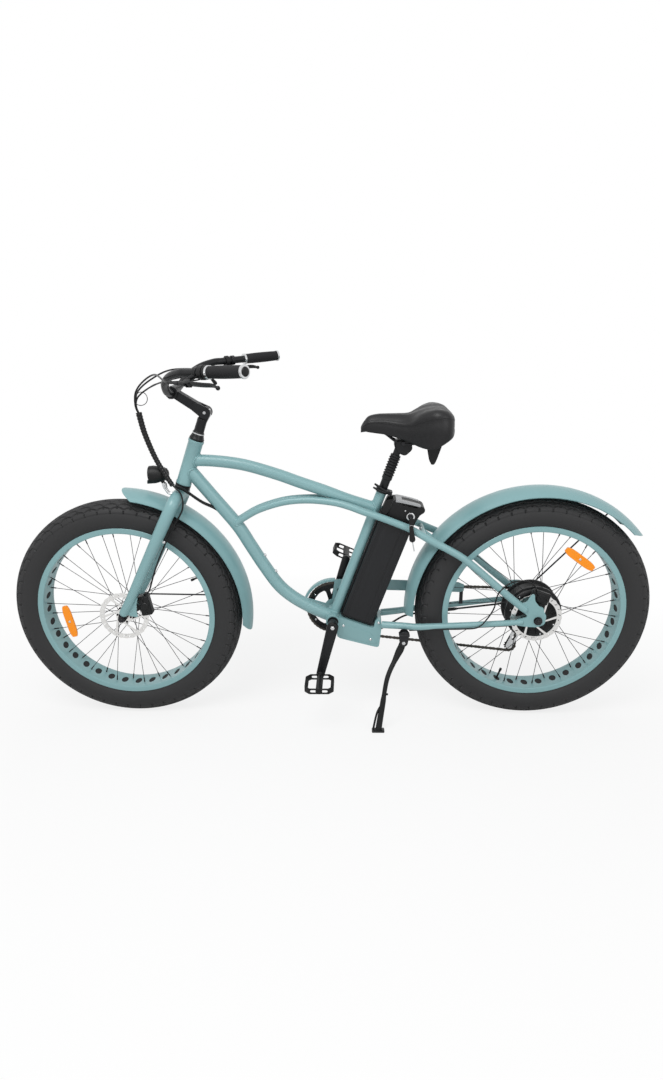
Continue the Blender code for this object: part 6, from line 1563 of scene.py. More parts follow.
def saddle_net():
    """Each row of the table as a closed section of 23 points: height against share of the half width."""
    x, half, top, ridge, hollow, wide, skirt = SADDLE.T
    dish = 0.003 * np.clip((0.235 + x) / -0.06, 0, 1)
    rows = [(0.0, top - dish), (0.3, top + 0.0005), (0.58, top * 0.55 + ridge * 0.45), (0.8, ridge),
            (0.925, ridge * 0.62 + hollow * 0.38), (0.96, hollow), (0.995, wide * 0.5 + hollow * 0.5),
            (1.0, wide), (0.965, skirt + 0.004), (0.9, skirt), (0.8, skirt + 0.003),
            (0.5, skirt * 0.55 + hollow * 0.45 - 0.01)]
    sides = [np.stack([x, share * half, height], -1) for share, height in rows]
    other = [spots * (1, -1, 1) for spots in sides[:0:-1]]
    return np.stack(sides + other, 1)


def closed_smooth(net, steps):
    """The same smooth curve along the second index, whose last point joins its first."""
    wrapped_net = np.concatenate([net[:, -2:], net, net[:, :3]], 1).transpose(1, 0, 2)
    flat = smooth(wrapped_net.reshape(len(wrapped_net), -1), steps)
    flat = flat[2 * steps:(2 + net.shape[1]) * steps]
    return flat.reshape(len(flat), net.shape[0], 3).transpose(1, 0, 2)


net = saddle_net()
AROUND, ALONG = 6, 8
sections = closed_smooth(net, AROUND)
skin = smooth(sections.reshape(len(sections), -1), ALONG).reshape(-1, *sections.shape[1:])
rows, columns = skin.shape[:2]
cover_shape = (skin.reshape(-1, 3), capped(rows, columns))
cover = put("saddle_cover", cover_shape, VINYL[0], "seat", ["saddle"], smooth_angle=70)


def seam_line(column):
    """A line of the skin along one of its columns, lifted 0.1 mm outwards from the saddle's middle."""
    part = skin[14:rows - 6]
    return part[:, column] + unit(part[:, column] - part.mean(1)) * 0.0001


seam_column = AROUND * 4 + 3
edge_column = AROUND * 9 + 3
seams = [tube(even(seam_line(column), 240), 0.00085, 8) for column in (seam_column, columns - seam_column)]
put("saddle_seam", join(*seams), VINYL[0], "seat", smooth_angle=60)
shell_line = np.concatenate([skin[8:-4, edge_column], skin[8:-4, columns - edge_column][::-1]])
put("saddle_lower_edge", tube(even(shell_line, 260), 0.0021, 10, closed=True), NYLON, "seat",
    smooth_angle=60)
print("saddle:", rows, "x", columns)

# %% [markdown]
# ## Under the saddle
#
# The saddle's shell sits on two steel rails, held by a clamp on the sprung post.
# A triangular bracket hangs behind with the rubber blocks that the shell rests on.
# The boot is a bellows of rubber: its profile is a wave, turned about the post.

# %% Rails, clamp, bracket and boot
frame_parts = [rod(*span(SEAT_TOP, SEATING, -0.06, 0.142), 0.0109, 0.0008, 40)]
cap = [(0.0109, 0.1168), (0.015, 0.1168), (0.0157, 0.1175), (0.0157, 0.1222), (0.0148, 0.1232),
       (0.0109, 0.1232), (0.0109, 0.1168)]
frame_parts.append(turned(cap, SEAT_TOP, SEATING, 40))
yoke = np.array([(-0.212, 0.89), (-0.24, 0.876), (-0.262, 0.896), (-0.26, 0.914), (-0.254, 0.926),
                 (-0.212, 0.927), (-0.206, 0.916)])
frame_parts.append(plate([rounded(yoke)], 0, 0.03))
for side in SIDES:
    frame_parts.append(plate([rounded(yoke * 0.82 + yoke.mean(0) * 0.18)], side * 0.0195, 0.007))
put("saddle_clamp", join(*frame_parts), ANODISED, "seat", ["saddle_frame"], bevel=0.001)
rails = []
for side in SIDES:
    rail = smooth([
        (-0.15, side * 0.007, 0.953), (-0.168, side * 0.008, 0.95), (-0.186, side * 0.01, 0.94),
        (-0.208, side * 0.016, 0.924), (-0.233, side * 0.02, 0.916), (-0.275, side * 0.023, 0.915),
        (-0.315, side * 0.026, 0.922), (-0.333, side * 0.028, 0.929), (-0.345, side * 0.03, 0.942)])
    rails.append(tube(rail, 0.0035, 16))
rails.append(rod(vec(-0.32, -0.036, 0.924), vec(-0.32, 0.036, 0.924), 0.0045, 0.0006, 20))
put("saddle_rails", join(*rails), BLACK_STEEL, "seat")
CLAMP_BOLT = vec(-0.233, 0, 0.916)
clamp_bolts = [rod(*span(CLAMP_BOLT, LEFT, -0.024, 0.024), 0.004, 0.0008, 20)]
clamp_bolts += [nut(*span(CLAMP_BOLT, LEFT * side, 0.0228, 0.0275), 0.0066) for side in SIDES]
clamp_bolts += [
    rod(*span(vec(-0.312, side * 0.03, 0), UP, 0.9085, 0.93), 0.0032, 0.0006, 16) for side in SIDES]
put("saddle_bolts", join(*clamp_bolts), BLACK_STEEL, "seat")
wedge_outer = np.array([
    (-0.304, 0.9215), (-0.352, 0.9215), (-0.35, 0.908), (-0.33, 0.85), (-0.3165, 0.85), (-0.3055, 0.908)])
wedge_hole = np.array([
    (-0.3125, 0.913), (-0.3425, 0.913), (-0.34, 0.902), (-0.3265, 0.864), (-0.3205, 0.864), (-0.314, 0.902)])
bracket = [plate([rounded(wedge_outer), rounded(wedge_hole)], side * 0.014, 0.002) for side in SIDES]
filling = rounded(np.array([(-0.3125, 0.912), (-0.342, 0.912), (-0.327, 0.858), (-0.32, 0.858)]))
bracket.append(plate([filling], 0, 0.029))
put("saddle_bracket", join(*bracket), NYLON, "seat", bevel=0.0005)
buffer = [
    (0, 0), (0.0095, 0), (0.0105, 0.003), (0.009, 0.006), (0.0105, 0.009), (0.0095, 0.0125), (0, 0.0125)]
buffers = [turned(buffer, vec(-0.333, side * 0.04, 0.924), UP, 28) for side in SIDES]
put("saddle_buffers", join(*buffers), GRIP_RUBBER, "seat")

FOLDS = 7
t = np.linspace(0, 1, FOLDS * 10 + 1)
wave = np.sin(math.pi * FOLDS * t) ** 2
boot_profile = np.stack([0.0136 + 0.0036 * wave**0.7, 0.0565 + 0.06 * t], -1)
boot_profile = np.concatenate([[(0.0118, 0.0565)], boot_profile, [(0.0118, 0.1165), (0.0118, 0.0565)]])
bellows = turned(boot_profile, SEAT_TOP, SEATING, 48)
boot = put("seat_bellows", bellows, GRIP_RUBBER, None, ["seat_boot"], smooth_angle=60)
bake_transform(boot)
post = turned([(0.0113, 0.056), (0.015, 0.056), (0.0158, 0.055), (0.0158, 0.0445), (0.015, 0.0437),
               (0.0139, 0.043), (0.0136, 0.04), (0.0136, -0.169), (0.0128, -0.17), (0.0113, -0.17),
               (0.0113, 0.056)], SEAT_TOP, SEATING, 48)
put("seatpost_tube", post, ANODISED, "seatpost", ["seatpost"])

lever_pivot = CLAMP_EARS + LEFT * 0.0165
prongs = []
for rise in (0.0075, -0.0045):
    steps = [(0, 0, 0), (0.016, 0.007, rise * 0.3), (0.036, 0.0085, 0.003 + rise * 0.7),
             (0.056, 0.005, 0.006 + rise)]
    prongs.append(
        smooth([lever_pivot - SEAT_BACK * ahead + LEFT * out + SEATING * up for ahead, out, up in steps]))
swell = np.interp(np.linspace(0, 1, len(prongs[0])), [0, 0.3, 0.8, 1], [0.0042, 0.004, 0.004, 0.0026])
hinge = rod(*span(lever_pivot, SEATING, -0.006, 0.006), 0.0058)
lever = join(tube(prongs[0], swell, 20), tube(prongs[1], swell, 20), hinge)
put("seat_lever_blade", lever, ANODISED, "seat_lever", ["seat_lever"])
print("pieces so far:", len(PIECES))

# %% [markdown]
# ## The battery
#
# The pack is an extruded aluminium case with a moulded head. Its long ridges come from the extrusion's die,
# so the case is one section carried along its length, ridges and all.
# The head has a handle to lift it by, a lock, a switch light, and a notch that clears the seat's clamp.

# %% Battery
BATTERY_LOW, BATTERY_HIGH = 0.0321, 0.39
half_depth, half_width = 0.0525, 0.038
CORNER = 0.007
BATTERY_BACK = 0.0202 + half_depth


def case_section():
    """A rectangle with round corners and shallow grooves: along each side the depth is 0.9 mm times the sum
    of narrow bell curves at the grooves' places."""
    side = np.linspace(CORNER - half_depth, half_depth - CORNER, 90)
    grooves = [-0.0425, -0.036, 0.025, 0.037, 0.0435]
    dip = sum(0.0009 * np.exp(-((side - g) / 0.0009) ** 2) for g in grooves)
    left = np.stack([side, half_width - dip], -1)
    corners = []
    for way, up, *turn in (
        (1, 1, 1.45, 0.12), (1, -1, -0.12, -1.45), (-1, -1, -1.69, -3.02), (-1, 1, 3.02, 1.69)):
        centre = (way * (half_depth - CORNER), up * (half_width - CORNER))
        corners.append(circle_part(centre, CORNER, np.linspace(*turn, 8)))
    return np.concatenate([left, *corners[:2], left[::-1] * (1, -1), *corners[2:]])


case_middle = along_seat((BATTERY_LOW + BATTERY_HIGH) / 2, BATTERY_BACK)
case = plate([case_section()], 0, BATTERY_HIGH - BATTERY_LOW - 0.004, case_middle, SEAT_BACK, LEFT)
put("battery_case", case, BATTERY_SHELL, "battery", ["battery"], bevel=0.0008)
case_foot = block(along_seat(BATTERY_LOW + 0.004, BATTERY_BACK), (0.1044, 0.0752, 0.012), 0.003, SEAT_WAYS)


def head_plate(outlines, y, thickness):
    """Pairs of distance behind the seat tube's line and height along it."""
    return plate(outlines, y, thickness, BOTTOM_BRACKET, SEAT_BACK, SEATING)


main = np.array([
    (0.039, 0.38), (0.1262, 0.38), (0.1292, 0.408), (0.133, 0.425), (0.1405, 0.434), (0.142, 0.44),
    (0.14, 0.447), (0.131, 0.452), (0.098, 0.4508), (0.065, 0.4472), (0.047, 0.4438), (0.039, 0.441)])
slot = np.array([(0.056, 0.437), (0.064, 0.4352), (0.112, 0.44), (0.121, 0.444), (0.115, 0.4462),
                 (0.09, 0.4448), (0.064, 0.4418)])
front = np.array([
    (0.0216, 0.38), (0.04, 0.38), (0.04, 0.4425), (0.035, 0.4415), (0.0262, 0.437), (0.024, 0.43)])
base = np.array([(0.0216, 0.38), (0.1262, 0.38), (0.127, 0.39), (0.022, 0.39)])
head = [head_plate([rounded(main), rounded(slot)], 0, 0.069), head_plate([rounded(front, 1)], -0.024, 0.021),
        head_plate([rounded(base, 1, 0.06)], 0, 0.069), case_foot]
put("battery_head", join(*head), NYLON, "battery", bevel=0.0022)
# Light grey strip along the top of the black handle: a painted highlight, the light that falls on the
# handle's top face, given as a satin grey finish.
HANDLE_TOP_HIGHLIGHT = grained(
    finish("handle_top_painted_highlight", "#9A9C9E", 0.36), 0.0007, 0.00005, ("#919395", "#A4A6A8"), (0.3, 0.42))
strip = np.array([(0.047, 0.438), (0.062, 0.4412), (0.0985, 0.446), (0.124, 0.448), (0.124, 0.4536),
                  (0.0985, 0.4526), (0.065, 0.449), (0.047, 0.4454)])
brow = [head_plate([rounded(strip, 1)], side * 0.0266, 0.017) for side in SIDES]
brow.append(head_plate([strip[[0, 1, 6, 7]] + (0.0, 0.0001)], 0, 0.04))
put("battery_handle_top_highlight", join(*brow), HANDLE_TOP_HIGHLIGHT, "battery", bevel=0.0004)
LOCK = along_seat(0.4107, 0.1066)
ring_shape = turned([(0.008, 0.0345), (0.0126, 0.0345), (0.0129, 0.0352), (0.0127, 0.0392), (0.0118, 0.0397),
                     (0.009, 0.0395), (0.008, 0.0385), (0.008, 0.0345)], LOCK, LEFT, 48)
light = turned([(0, 0.0355), (0.0022, 0.0355), (0.0024, 0.035), (0.0024, 0.034), (0, 0.034)],
               along_seat(0.4225, 0.0852), LEFT, 20)
switch = turned([(0, 0.0352), (0.003, 0.0352), (0.0033, 0.0347), (0.0033, 0.0335), (0, 0.0335)],
                along_seat(0.396, 0.118), LEFT, 20)
put("battery_lock_ring", join(ring_shape, light, switch), BRIGHT_ALLOY, "battery")
cheek = np.array([(0.016, 0.392), (0.037, 0.392), (0.037, 0.4425), (0.029, 0.4425), (0.016, 0.433)])
put("dock_head_cheek", head_plate([rounded(cheek, 1)], 0.04, 0.0024), NYLON, "frame", bevel=0.0008)
core = turned(
    [(0, 0.0382), (0.007, 0.0382), (0.0078, 0.0376), (0.0078, 0.0345), (0, 0.0345)], LOCK, LEFT, 32)
put("battery_lock_core", core, BLACK_STEEL, "battery")

# %% Key, fob and spare key
key_y = 0.08
blade_key = block(LOCK + LEFT * 0.0575, (0.0062, 0.045, 0.0022), 0.0006)
wire = full_turn(36)
ring_middle = LOCK + (0.0002, key_y, -0.02)
key_ring = ring_middle + np.stack([np.cos(wire), np.sin(wire), np.sin(wire)], -1) * (0.0066, 0.0018, 0.0066)
spare = rod(LOCK + vec(-0.0035, key_y, -0.065), LOCK + vec(-0.0095, key_y, -0.0965), 0.0016, 0.0004, 12)
put("key_blades", join(blade_key, tube(key_ring, 0.0008, 8, closed=True), spare), BRIGHT_ALLOY,
    "battery_key", ["battery_key"])
lock_spot = in_plane(LOCK)
bow = plate([flat_arm(lock_spot, 0.0085, lock_spot + (0.0004, -0.017), 0.006)], key_y, 0.0036)
fob = plate(
    [flat_arm(lock_spot + (0.0004, -0.024), 0.006, lock_spot + (-0.003, -0.058), 0.0092, 15)], key_y, 0.0052)
put("key_bow_and_fob", join(bow, fob), NYLON, "battery_key", bevel=0.0009)

# %% [markdown]
# ## Drive: where the chain runs
#
# The chain goes round the chainring, one sprocket of the freewheel and the two small wheels of the
# derailleur. It could be drawn by hand, but a belt round circles has an exact shape: straight lines that
# touch two circles, and arcs between them. The guide wheel turns the other way, so it counts with a negative
# radius.

# %% The chain's line
CHAIN_PITCH = 0.0127
CHAIN_Y = -0.069
RING_TEETH, SPROCKET_TEETH = 44, 20
GUIDE_PULLEY = vec(-0.648, CHAIN_Y, 0.286)
TENSION_PULLEY = vec(-0.612, CHAIN_Y, 0.205)


def pitch_radius(teeth):
    """The circle through the rollers: half a link's pitch divided by the sine of half a tooth's angle."""
    return CHAIN_PITCH / 2 / math.sin(math.pi / teeth)


def belt(wheels):
    """Arc i runs between the angles where its two tangents touch. A tangent's heading is the heading between
    two centres less the arcsine of the difference of radii over their distance."""
    touches = []
    for (a, ra), (b, rb) in zip(wheels, wheels[1:] + wheels[:1]):
        dx, dz = b[0] - a[0], b[2] - a[2]
        heading = math.atan2(dz, dx) - math.asin((rb - ra) / math.hypot(dx, dz))
        touches.append(heading - math.pi / 2)
    path = []
    for i, (centre, radius) in enumerate(wheels):
        sweep = (touches[i] - touches[i - 1]) % (2 * math.pi)
        if radius < 0:
            sweep -= 2 * math.pi
        angles = touches[i - 1] + sweep * np.linspace(0, 1, 40)
        path.append(radial(centre, radius, np.degrees(angles)))
    path = np.concatenate(path) * (1, 0, 1) + LEFT * CHAIN_Y
    return np.concatenate([path, path[:1]])


PULLEY_RADIUS = 0.0205
line = belt([(BOTTOM_BRACKET, pitch_radius(RING_TEETH)), (REAR_AXLE, pitch_radius(SPROCKET_TEETH)),
             (GUIDE_PULLEY, -PULLEY_RADIUS), (TENSION_PULLEY, PULLEY_RADIUS)])
length = run(line)[-1]
LINKS = 2 * round(length / CHAIN_PITCH / 2)
joints = even(line, LINKS + 1)[:-1]
print("links:", LINKS, "pitch mm:", round(length / LINKS * 1000, 3))

# %% [markdown]
# ## Drive: the chain's links
#
# A real chain is made of pairs of plates, wide and narrow in turn, with a roller and a pin at every joint.
# One link of each kind is drawn at the origin, then every copy is placed with its own direction in one
# product.

# %% Links
def placed(shape, starts, aheads):
    """Copies of a shape: each point is its start + x times ahead + y times LEFT + z times their cross."""
    ups = np.cross(aheads, LEFT)
    x, y, z = (shape[0][None, :, k:k + 1] for k in range(3))
    points = starts[:, None] + x * aheads[:, None] + y * LEFT + z * ups[:, None]
    first = np.arange(len(starts)) * len(shape[0])
    tables = [(t[None] + first[:, None, None]).reshape(-1, t.shape[1]) for t in map(np.asarray, shape[1])]
    return points.reshape(-1, 3), tables


def link_plate(y, thickness):
    """A plate with two round ends and a waist, as long as one pitch between its pins."""
    ends = flat_arm((0, 0), 0.0041, (CHAIN_PITCH, 0), 0.0041, 5)
    waist = [(CHAIN_PITCH / 2, 0.003)]
    return plate([np.concatenate([ends[:5], waist, ends[5:], np.multiply(waist, (1, -1))])], y, thickness)


aheads = unit(np.roll(joints, -1, 0) - joints)
wide, narrow = (join(link_plate(y, 0.001), link_plate(-y, 0.001)) for y in (0.003, 0.002))
roller = rod(*span(0, LEFT, -0.0014, 0.0014), 0.0038, 0.0002, 10)
pin = join(rod(*span(0, LEFT, -0.0038, 0.0038), 0.0018, 0.0003, 8), roller)
chain = join(placed(wide, joints[::2], aheads[::2]), placed(narrow, joints[1::2], aheads[1::2]),
             placed(pin, joints, aheads))
put("chain_links", chain, CHAIN_STEEL, "frame", ["chain"])

# %% [markdown]
# ## Drive: sprockets and chainring
#
# A tooth is what is left between two seats of rollers, so the outline is a radius that repeats with every
# tooth. The seats are turned to meet the rollers of the chain above, as they would on the bicycle.

# %% Teeth
def toothed(teeth, phase):
    """Radius = the pitch circle's plus eight steps a tooth, lowest where a roller sits at the phase."""
    steps = np.array([-0.0039, -0.0036, -0.002, 0.0026, 0.004, 0.0026, -0.002, -0.0036])
    radius = pitch_radius(teeth) + np.tile(steps, teeth)
    return circle_part((0, 0), radius[:, None], phase + full_turn(teeth * 8))


def seat_phase(centre, way):
    """The angle of the roller that lies farthest along a direction."""
    roller = joints[np.argmax((joints - centre) @ way)] - centre
    return math.atan2(roller[2], roller[0])


def web_window(n):
    """One of the chainring's five openings, its corners given by distance and angle."""
    corners = ((0.069, 6), (0.071, 26), (0.071, 46), (0.069, 66), (0.03, 56), (0.03, 16))
    return rounded(np.array([circle_part((0, 0), r, math.radians(72 * n + a)) for r, a in corners]))


ring = [toothed(RING_TEETH, seat_phase(BOTTOM_BRACKET, vec(1, 0, 0))), circle(0.015, 32)]
ring += [web_window(n) for n in range(5)]
chainring = plate(ring, CHAIN_Y, 0.0036, BOTTOM_BRACKET)
rivet = rod(*span(radial(BOTTOM_BRACKET, 0.0765, 0, CHAIN_Y), LEFT, 0.0042, -0.0042), 0.0036, 0.0008, 12)
put("chainring_plate", chainring, ANODISED, "crank", bevel=0.0003)
put("chainring_rivets", around(rivet, BOTTOM_BRACKET, 5, 0.63), BRIGHT_ALLOY, "crank")
cassette = [rod(*span(REAR_AXLE, LEFT, -0.053, -0.0865), 0.017, 0.0012, 32)]
for k, teeth in enumerate((28, 24, 22, 20, 18, 16, 14)):
    phase = seat_phase(REAR_AXLE, vec(-1, 0, 0)) if teeth == SPROCKET_TEETH else 0.1 * k
    holes = [circle(0.0165, 32)]
    holes += [circle(0.0052, 10, centre) for centre in circle(0.0345, 9) if teeth > 24]
    cassette.append(plate([toothed(teeth, phase), *holes], -0.054 - 0.005 * k, 0.0018, REAR_AXLE))
put("freewheel_sprockets", join(*cassette), SPROCKET_STEEL, "freewheel", ["freewheel"])

# %% [markdown]
# ## Drive: cranks
#
# A crank is forged, then machined: it tapers towards the pedal, its edges are round and its face has a
# shallow channel. Outlines of the same arm, each a little smaller or nearer the face, make all of that in
# one surface.

# %% Crank arms
def stack(levels):
    """Outlines of equal count, one above another: pair (a, b) at level y is the point (a, y, b)."""
    loops = [np.insert(np.asarray(outline, float), 1, y, axis=1) for outline, y in levels]
    count = len(loops[0])
    first = np.arange(count)[None]
    faces = [grid_faces(len(loops), count, False, True), first + (len(loops) - 1) * count, first]
    return np.concatenate(loops), faces


CRANK_LENGTH = 0.172
CRANK_ANGLE = math.radians(14)


def crank_end(side):
    """172 mm from the bottom bracket, 14 degrees ahead of straight down, and opposite on the right."""
    return BOTTOM_BRACKET + side * CRANK_LENGTH * vec(math.sin(CRANK_ANGLE), 0, -math.cos(CRANK_ANGLE))


ARM_LEVELS = [(0.0035, 0.0795), (0.0008, 0.0803), (0.0, 0.0825), (0.0, 0.0897), (0.001, 0.0917),
              (0.003, 0.0925), (0.0058, 0.0925), (0.0076, 0.0911)]
collar = [
    (0.007, 0.0905), (0.007, 0.0933), (0.015, 0.0933), (0.0158, 0.0925), (0.0158, 0.0905), (0.007, 0.0905)]
for side, word in SIDES.items():
    end = crank_end(side)
    hub, tip = in_plane(BOTTOM_BRACKET), in_plane(end)
    levels = [(flat_arm(hub, 0.0185 - cut, tip, 0.0135 - cut, 13), side * y) for cut, y in ARM_LEVELS]
    out = LEFT * side
    eye = rod(*span(end, out, 0.0905, 0.0931), 0.0108, 0.0008, 32)
    arm = join(stack(levels), turned(collar, BOTTOM_BRACKET, out, 40), eye)
    put(f"crank_arm_{word}", arm, ANODISED, "crank", [f"crank_{word}"])
    boss = rod(*span(BOTTOM_BRACKET, out, 0.056, 0.0815), 0.015 if side > 0 else 0.0145, 0.001, 40)
    put(f"crank_boss_{word}", boss, BLACK_STEEL, "crank")
    bolt = nut(*span(BOTTOM_BRACKET, out, 0.09, 0.0945), 0.0068)
    spindle = rod(*span(end, out, 0.0905, 0.184), 0.0044, 0.0008, 20)
    flats = nut(*span(end, out, 0.0931, 0.1), 0.0085)
    put(f"crank_bolt_and_spindle_{word}", join(bolt, spindle, flats), BRIGHT_ALLOY, "crank")
spider = turned([(0.0146, -0.0055), (0.03, -0.005), (0.0315, -0.004), (0.0315, -0.002), (0.0146, -0.0015),
                 (0.0146, -0.0055)], BOTTOM_BRACKET - LEFT * 0.069, LEFT, 48)
put("chainring_flange", spider, ANODISED, "crank")

# %% [markdown]
# ## Drive: pedals
#
# A cage pedal is a barrel on the spindle, two toothed end plates for the shoe, and two slotted side plates.
# All are flat pieces, so each is an outline with thickness, set in the plane that it stands in.

# %% Pedals
def pedal(side, tilt):
    """Side plates stand across the spindle, end plates along it, and four short plates cut the corners."""
    centre = crank_end(side) + LEFT * side * 0.148
    wall = np.array([(-0.03, -0.0092), (0.03, -0.0092), (0.03, 0.0092), (-0.03, 0.0092)])
    slot = rounded(np.array([(0.0085, -0.0048), (0.027, -0.0048), (0.027, 0.0048), (0.0085, 0.0048)]))
    slots = [slot, slot[::-1] * (-1, 1)]
    parts = [plate([wall, *slots], side_y, 0.0032) for side_y in (0.0438, -0.0438)]
    saw = np.linspace(-0.03, 0.03, 13)
    tooth = np.where(np.arange(13) % 2, 0.0108, 0.0086)
    grip_plate = np.concatenate([np.stack([saw, tooth], -1), np.stack([saw[::-1], -tooth], -1)])
    for x in (0.0432, -0.0432):
        parts.append(plate([grip_plate], 0, 0.0046, (x, 0, 0), LEFT, UP))
        parts.append(block((x * 0.91, 0, 0), (0.0075, 0.06, 0.011), 0.002))
    bend = wall * (0.0098 / 0.03, 1)
    for x, y in ((1, 1), (1, -1), (-1, 1), (-1, -1)):
        parts.append(plate([bend], y * 0.0369, 0.0034, (x * 0.0366, 0, 0), (x, -y, 0), UP))
    parts.append(rod(*span(0, LEFT, -0.044, 0.045), 0.0105, 0.001, 28))
    points, faces = join(*parts)
    c, s = math.cos(math.radians(tilt)), math.sin(math.radians(tilt))
    return points @ np.array([[c, 0, s], [0, 1, 0], [-s, 0, c]]) + centre, faces


for side, word in SIDES.items():
    put(f"pedal_cage_{word}", pedal(side, 0 if side > 0 else 24), NYLON, f"pedal_{word}",
        [f"pedal_{word}"], bevel=0.0006)

# %% [markdown]
# ## Drive: the derailleur
#
# It hangs from the frame: an upper knuckle, two links that swing it sideways, a lower knuckle and a cage
# with two toothed wheels. The plates are stamped steel and the wheels are nylon.

# %% Derailleur
knuckle = vec(-0.668, -0.0954, 0.33)
upper = rod(*span(knuckle, LEFT, 0.002, -0.017), 0.0098, 0.0012, 28)
lower = rod(*span(GUIDE_PULLEY, LEFT, -0.006, -0.0235), 0.0105, 0.0012, 28)
links = []
for dx in (0.004, -0.006):
    link_ends = [knuckle + (dx, -0.01, -0.003), GUIDE_PULLEY + (dx - 0.004, -0.018, 0.004)]
    links.append(tube(np.stack(link_ends), 0.0042, 14, squeeze=0.6))
put("derailleur_body", join(upper, lower, *links), ANODISED, "frame", ["rear_derailleur"],
    bevel=0.0005)
cage = []
cage_arm = flat_arm(in_plane(GUIDE_PULLEY), 0.0115, in_plane(TENSION_PULLEY), 0.0115, 11)
way = unit(in_plane(TENSION_PULLEY - GUIDE_PULLEY))
opening = np.array([(-0.021, -0.0052), (0.021, -0.0052), (0.021, 0.0052), (-0.021, 0.0052)])
opening = in_plane(GUIDE_PULLEY + TENSION_PULLEY) / 2 + opening @ np.stack([way, (-way[1], way[0])])
for side in (1, -1):
    cage.append(plate([cage_arm, rounded(opening)], CHAIN_Y + side * 0.0064, 0.0014))
    for centre in (GUIDE_PULLEY, TENSION_PULLEY):
        cage.append(rod(*span(centre, LEFT * side, 0.0064, 0.009), 0.0042, 0.0006, 16))
cage_screw = rod(*span(knuckle, LEFT, -0.0165, -0.019), 0.0055, 0.0008, 20)
put("derailleur_cage", join(*cage, cage_screw), BRIGHT_ALLOY, "frame", bevel=0.0002)
jockeys = []
for centre in (GUIDE_PULLEY, TENSION_PULLEY):
    teeth = circle_part((0, 0), (0.0155 + 0.0024 * np.cos(11 * full_turn(66)))[:, None], full_turn(66))
    holes = [circle(0.003, 8, spot) for spot in circle(0.0088, 5)]
    jockeys.append(plate([teeth, *holes], 0, 0.0022, centre))
    jockeys.append(rod(*span(centre, LEFT, 0.0055, -0.0055), 0.0048, 0.0004, 16))
put("derailleur_wheels", join(*jockeys), NYLON, "frame")

# %% [markdown]
# ## Drive: the chain guard
#
# A painted guard keeps trousers off the chain: an arc with a lip over the front of the chainring, two arms
# to a ring at the bottom bracket and a bar over the chain's upper run, held by a strut on the stay.

# %% Chain guard
def arc_sweep(section, centre, start, end, steps):
    """Point (i, j) is the centre plus radius j in the direction at angle i, plus Y j."""
    turn = np.radians(np.linspace(start, end, steps))[:, None]
    section = np.asarray(section, float)
    points = centre + spun(section[:, 0], section[:, 1], turn).reshape(-1, 3)
    first = np.arange(len(section))[None]
    return points, [grid_faces(steps, len(section), False, True), first, first + (steps - 1) * len(section)]


lip = [(0.0965, -0.0611), (0.0965, -0.0629), (0.1014, -0.063), (0.1022, -0.064), (0.1022, -0.0772),
       (0.1042, -0.0772), (0.1044, -0.0622), (0.1034, -0.0611)]
GUARD_Y = -0.062
guard = [arc_sweep(lip, BOTTOM_BRACKET, 14, 93, 48)]
top = in_plane(radial(BOTTOM_BRACKET, 0.1045, 93))
bar = [top, (-0.12, 0.4515), (-0.43, 0.4385), (-0.449, 0.43), (-0.449, 0.408), (-0.437, 0.403),
       (-0.12, 0.413), (-0.03, 0.416)]
guard.append(plate([bar], GUARD_Y, 0.0018))
for degrees in (20, 95):
    start, end = (in_plane(radial(BOTTOM_BRACKET, distance, degrees)) for distance in (0.028, 0.098))
    guard.append(plate([flat_arm(start, 0.0085, end, 0.0055)], GUARD_Y, 0.0014))
guard.append(plate([circle(0.034, 40), circle(0.015, 32)], GUARD_Y, 0.0022, BOTTOM_BRACKET))
put("chain_guard_sheet", join(*guard), POWDER_COAT, "frame", ["chain_guard"], bevel=0.0003)
strut = block((-0.4415, -0.066, 0.387), (0.012, 0.0026, 0.056), 0.001)
put("chain_guard_strut", strut, BLACK_STEEL, "frame")

# %% [markdown]
# ## Rear axle and kickstand
#
# Two nuts hold the motor's axle in the dropouts. The kickstand hangs in a clamp under the left stay: a pivot
# with a silver bolt, a leg that thickens to its foot, and a loop in the foot that makes it adjustable.

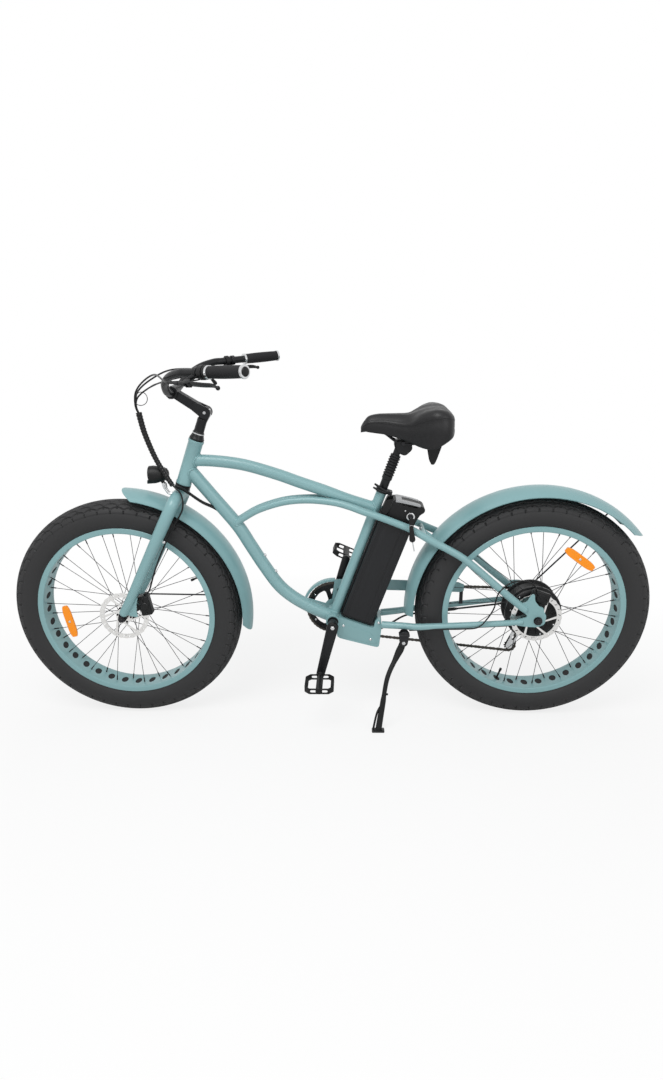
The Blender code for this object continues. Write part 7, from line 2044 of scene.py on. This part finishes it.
# %% Axle and kickstand
axle_parts = [rod(*span(REAR_AXLE, LEFT, -0.1075, 0.1075), 0.0059, 0.001, 24)]
for side in SIDES:
    out = LEFT * side
    axle_parts.append(nut(*span(REAR_AXLE, out, 0.0968, 0.105), 0.0122))
    axle_parts.append(rod(*span(REAR_AXLE, out, 0.095, 0.097), 0.0135, 0.0004, 32))
put("rear_axle_and_nuts", join(*axle_parts), BLACK_STEEL, "frame", ["rear_axle"])

clamp = [block((-0.244, 0.078, 0.317), (0.034, 0.028, 0.0062), 0.002)]
for y in (0.0675, 0.0885):
    clamp.append(plate([flat_arm((-0.244, 0.316), 0.015, (-0.242, 0.292), 0.013, 12)], y, 0.004))
put("kickstand_clamp", join(*clamp), BLACK_STEEL, "frame", ["kickstand_bracket"], bevel=0.0006)

STAND = vec(-0.242, 0.078, 0.292)
leg_line = smooth([
    STAND + (0.002, 0, -0.004), STAND + (0.008, 0, -0.024), (-0.218, 0.09, 0.238), (-0.19, 0.12, 0.184),
    (-0.174, 0.148, 0.1), (-0.164, 0.167, 0.0455), (-0.161, 0.1735, 0.0265)], 7)
leg_line = even(leg_line, 44)
along = np.linspace(0, 1, 44)
thick = np.interp(along, [0, 0.1, 0.24, 0.62, 0.66, 1], [0.011, 0.0125, 0.0082, 0.0074, 0.009, 0.0105])
leg = tube(leg_line, thick, 20, squeeze=0.86)
leg_hub = rod(*span(STAND, LEFT, -0.008, 0.008), 0.0122, 0.001, 32)
foot_middle = vec(-0.16, 0.174, 0.0272)
leg_foot = block(foot_middle, (0.04, 0.026, 0.008), 0.0035, TURN)
loop_line = [
    leg_line[31] + (0.004, 0, 0), leg_line[35] + (0.0135, 0.001, 0), foot_middle + (0.016, 0, 0.002)]
loop = tube(smooth(loop_line), 0.0034, 12)
put("kickstand_leg", join(leg, leg_hub, leg_foot, loop), CAST_BLACK, "kickstand", ["kickstand"])
bolt = nut(*span(STAND, LEFT, 0.008, 0.015), 0.006)
put("kickstand_bolt", bolt, BRIGHT_ALLOY, "kickstand")
knob = rod(leg_line[26], leg_line[26] - (0.0125, 0, 0), 0.0034, 0.001, 16)
put("kickstand_button", knob, BLACK_STEEL, "kickstand")
print("pieces:", len(PIECES))
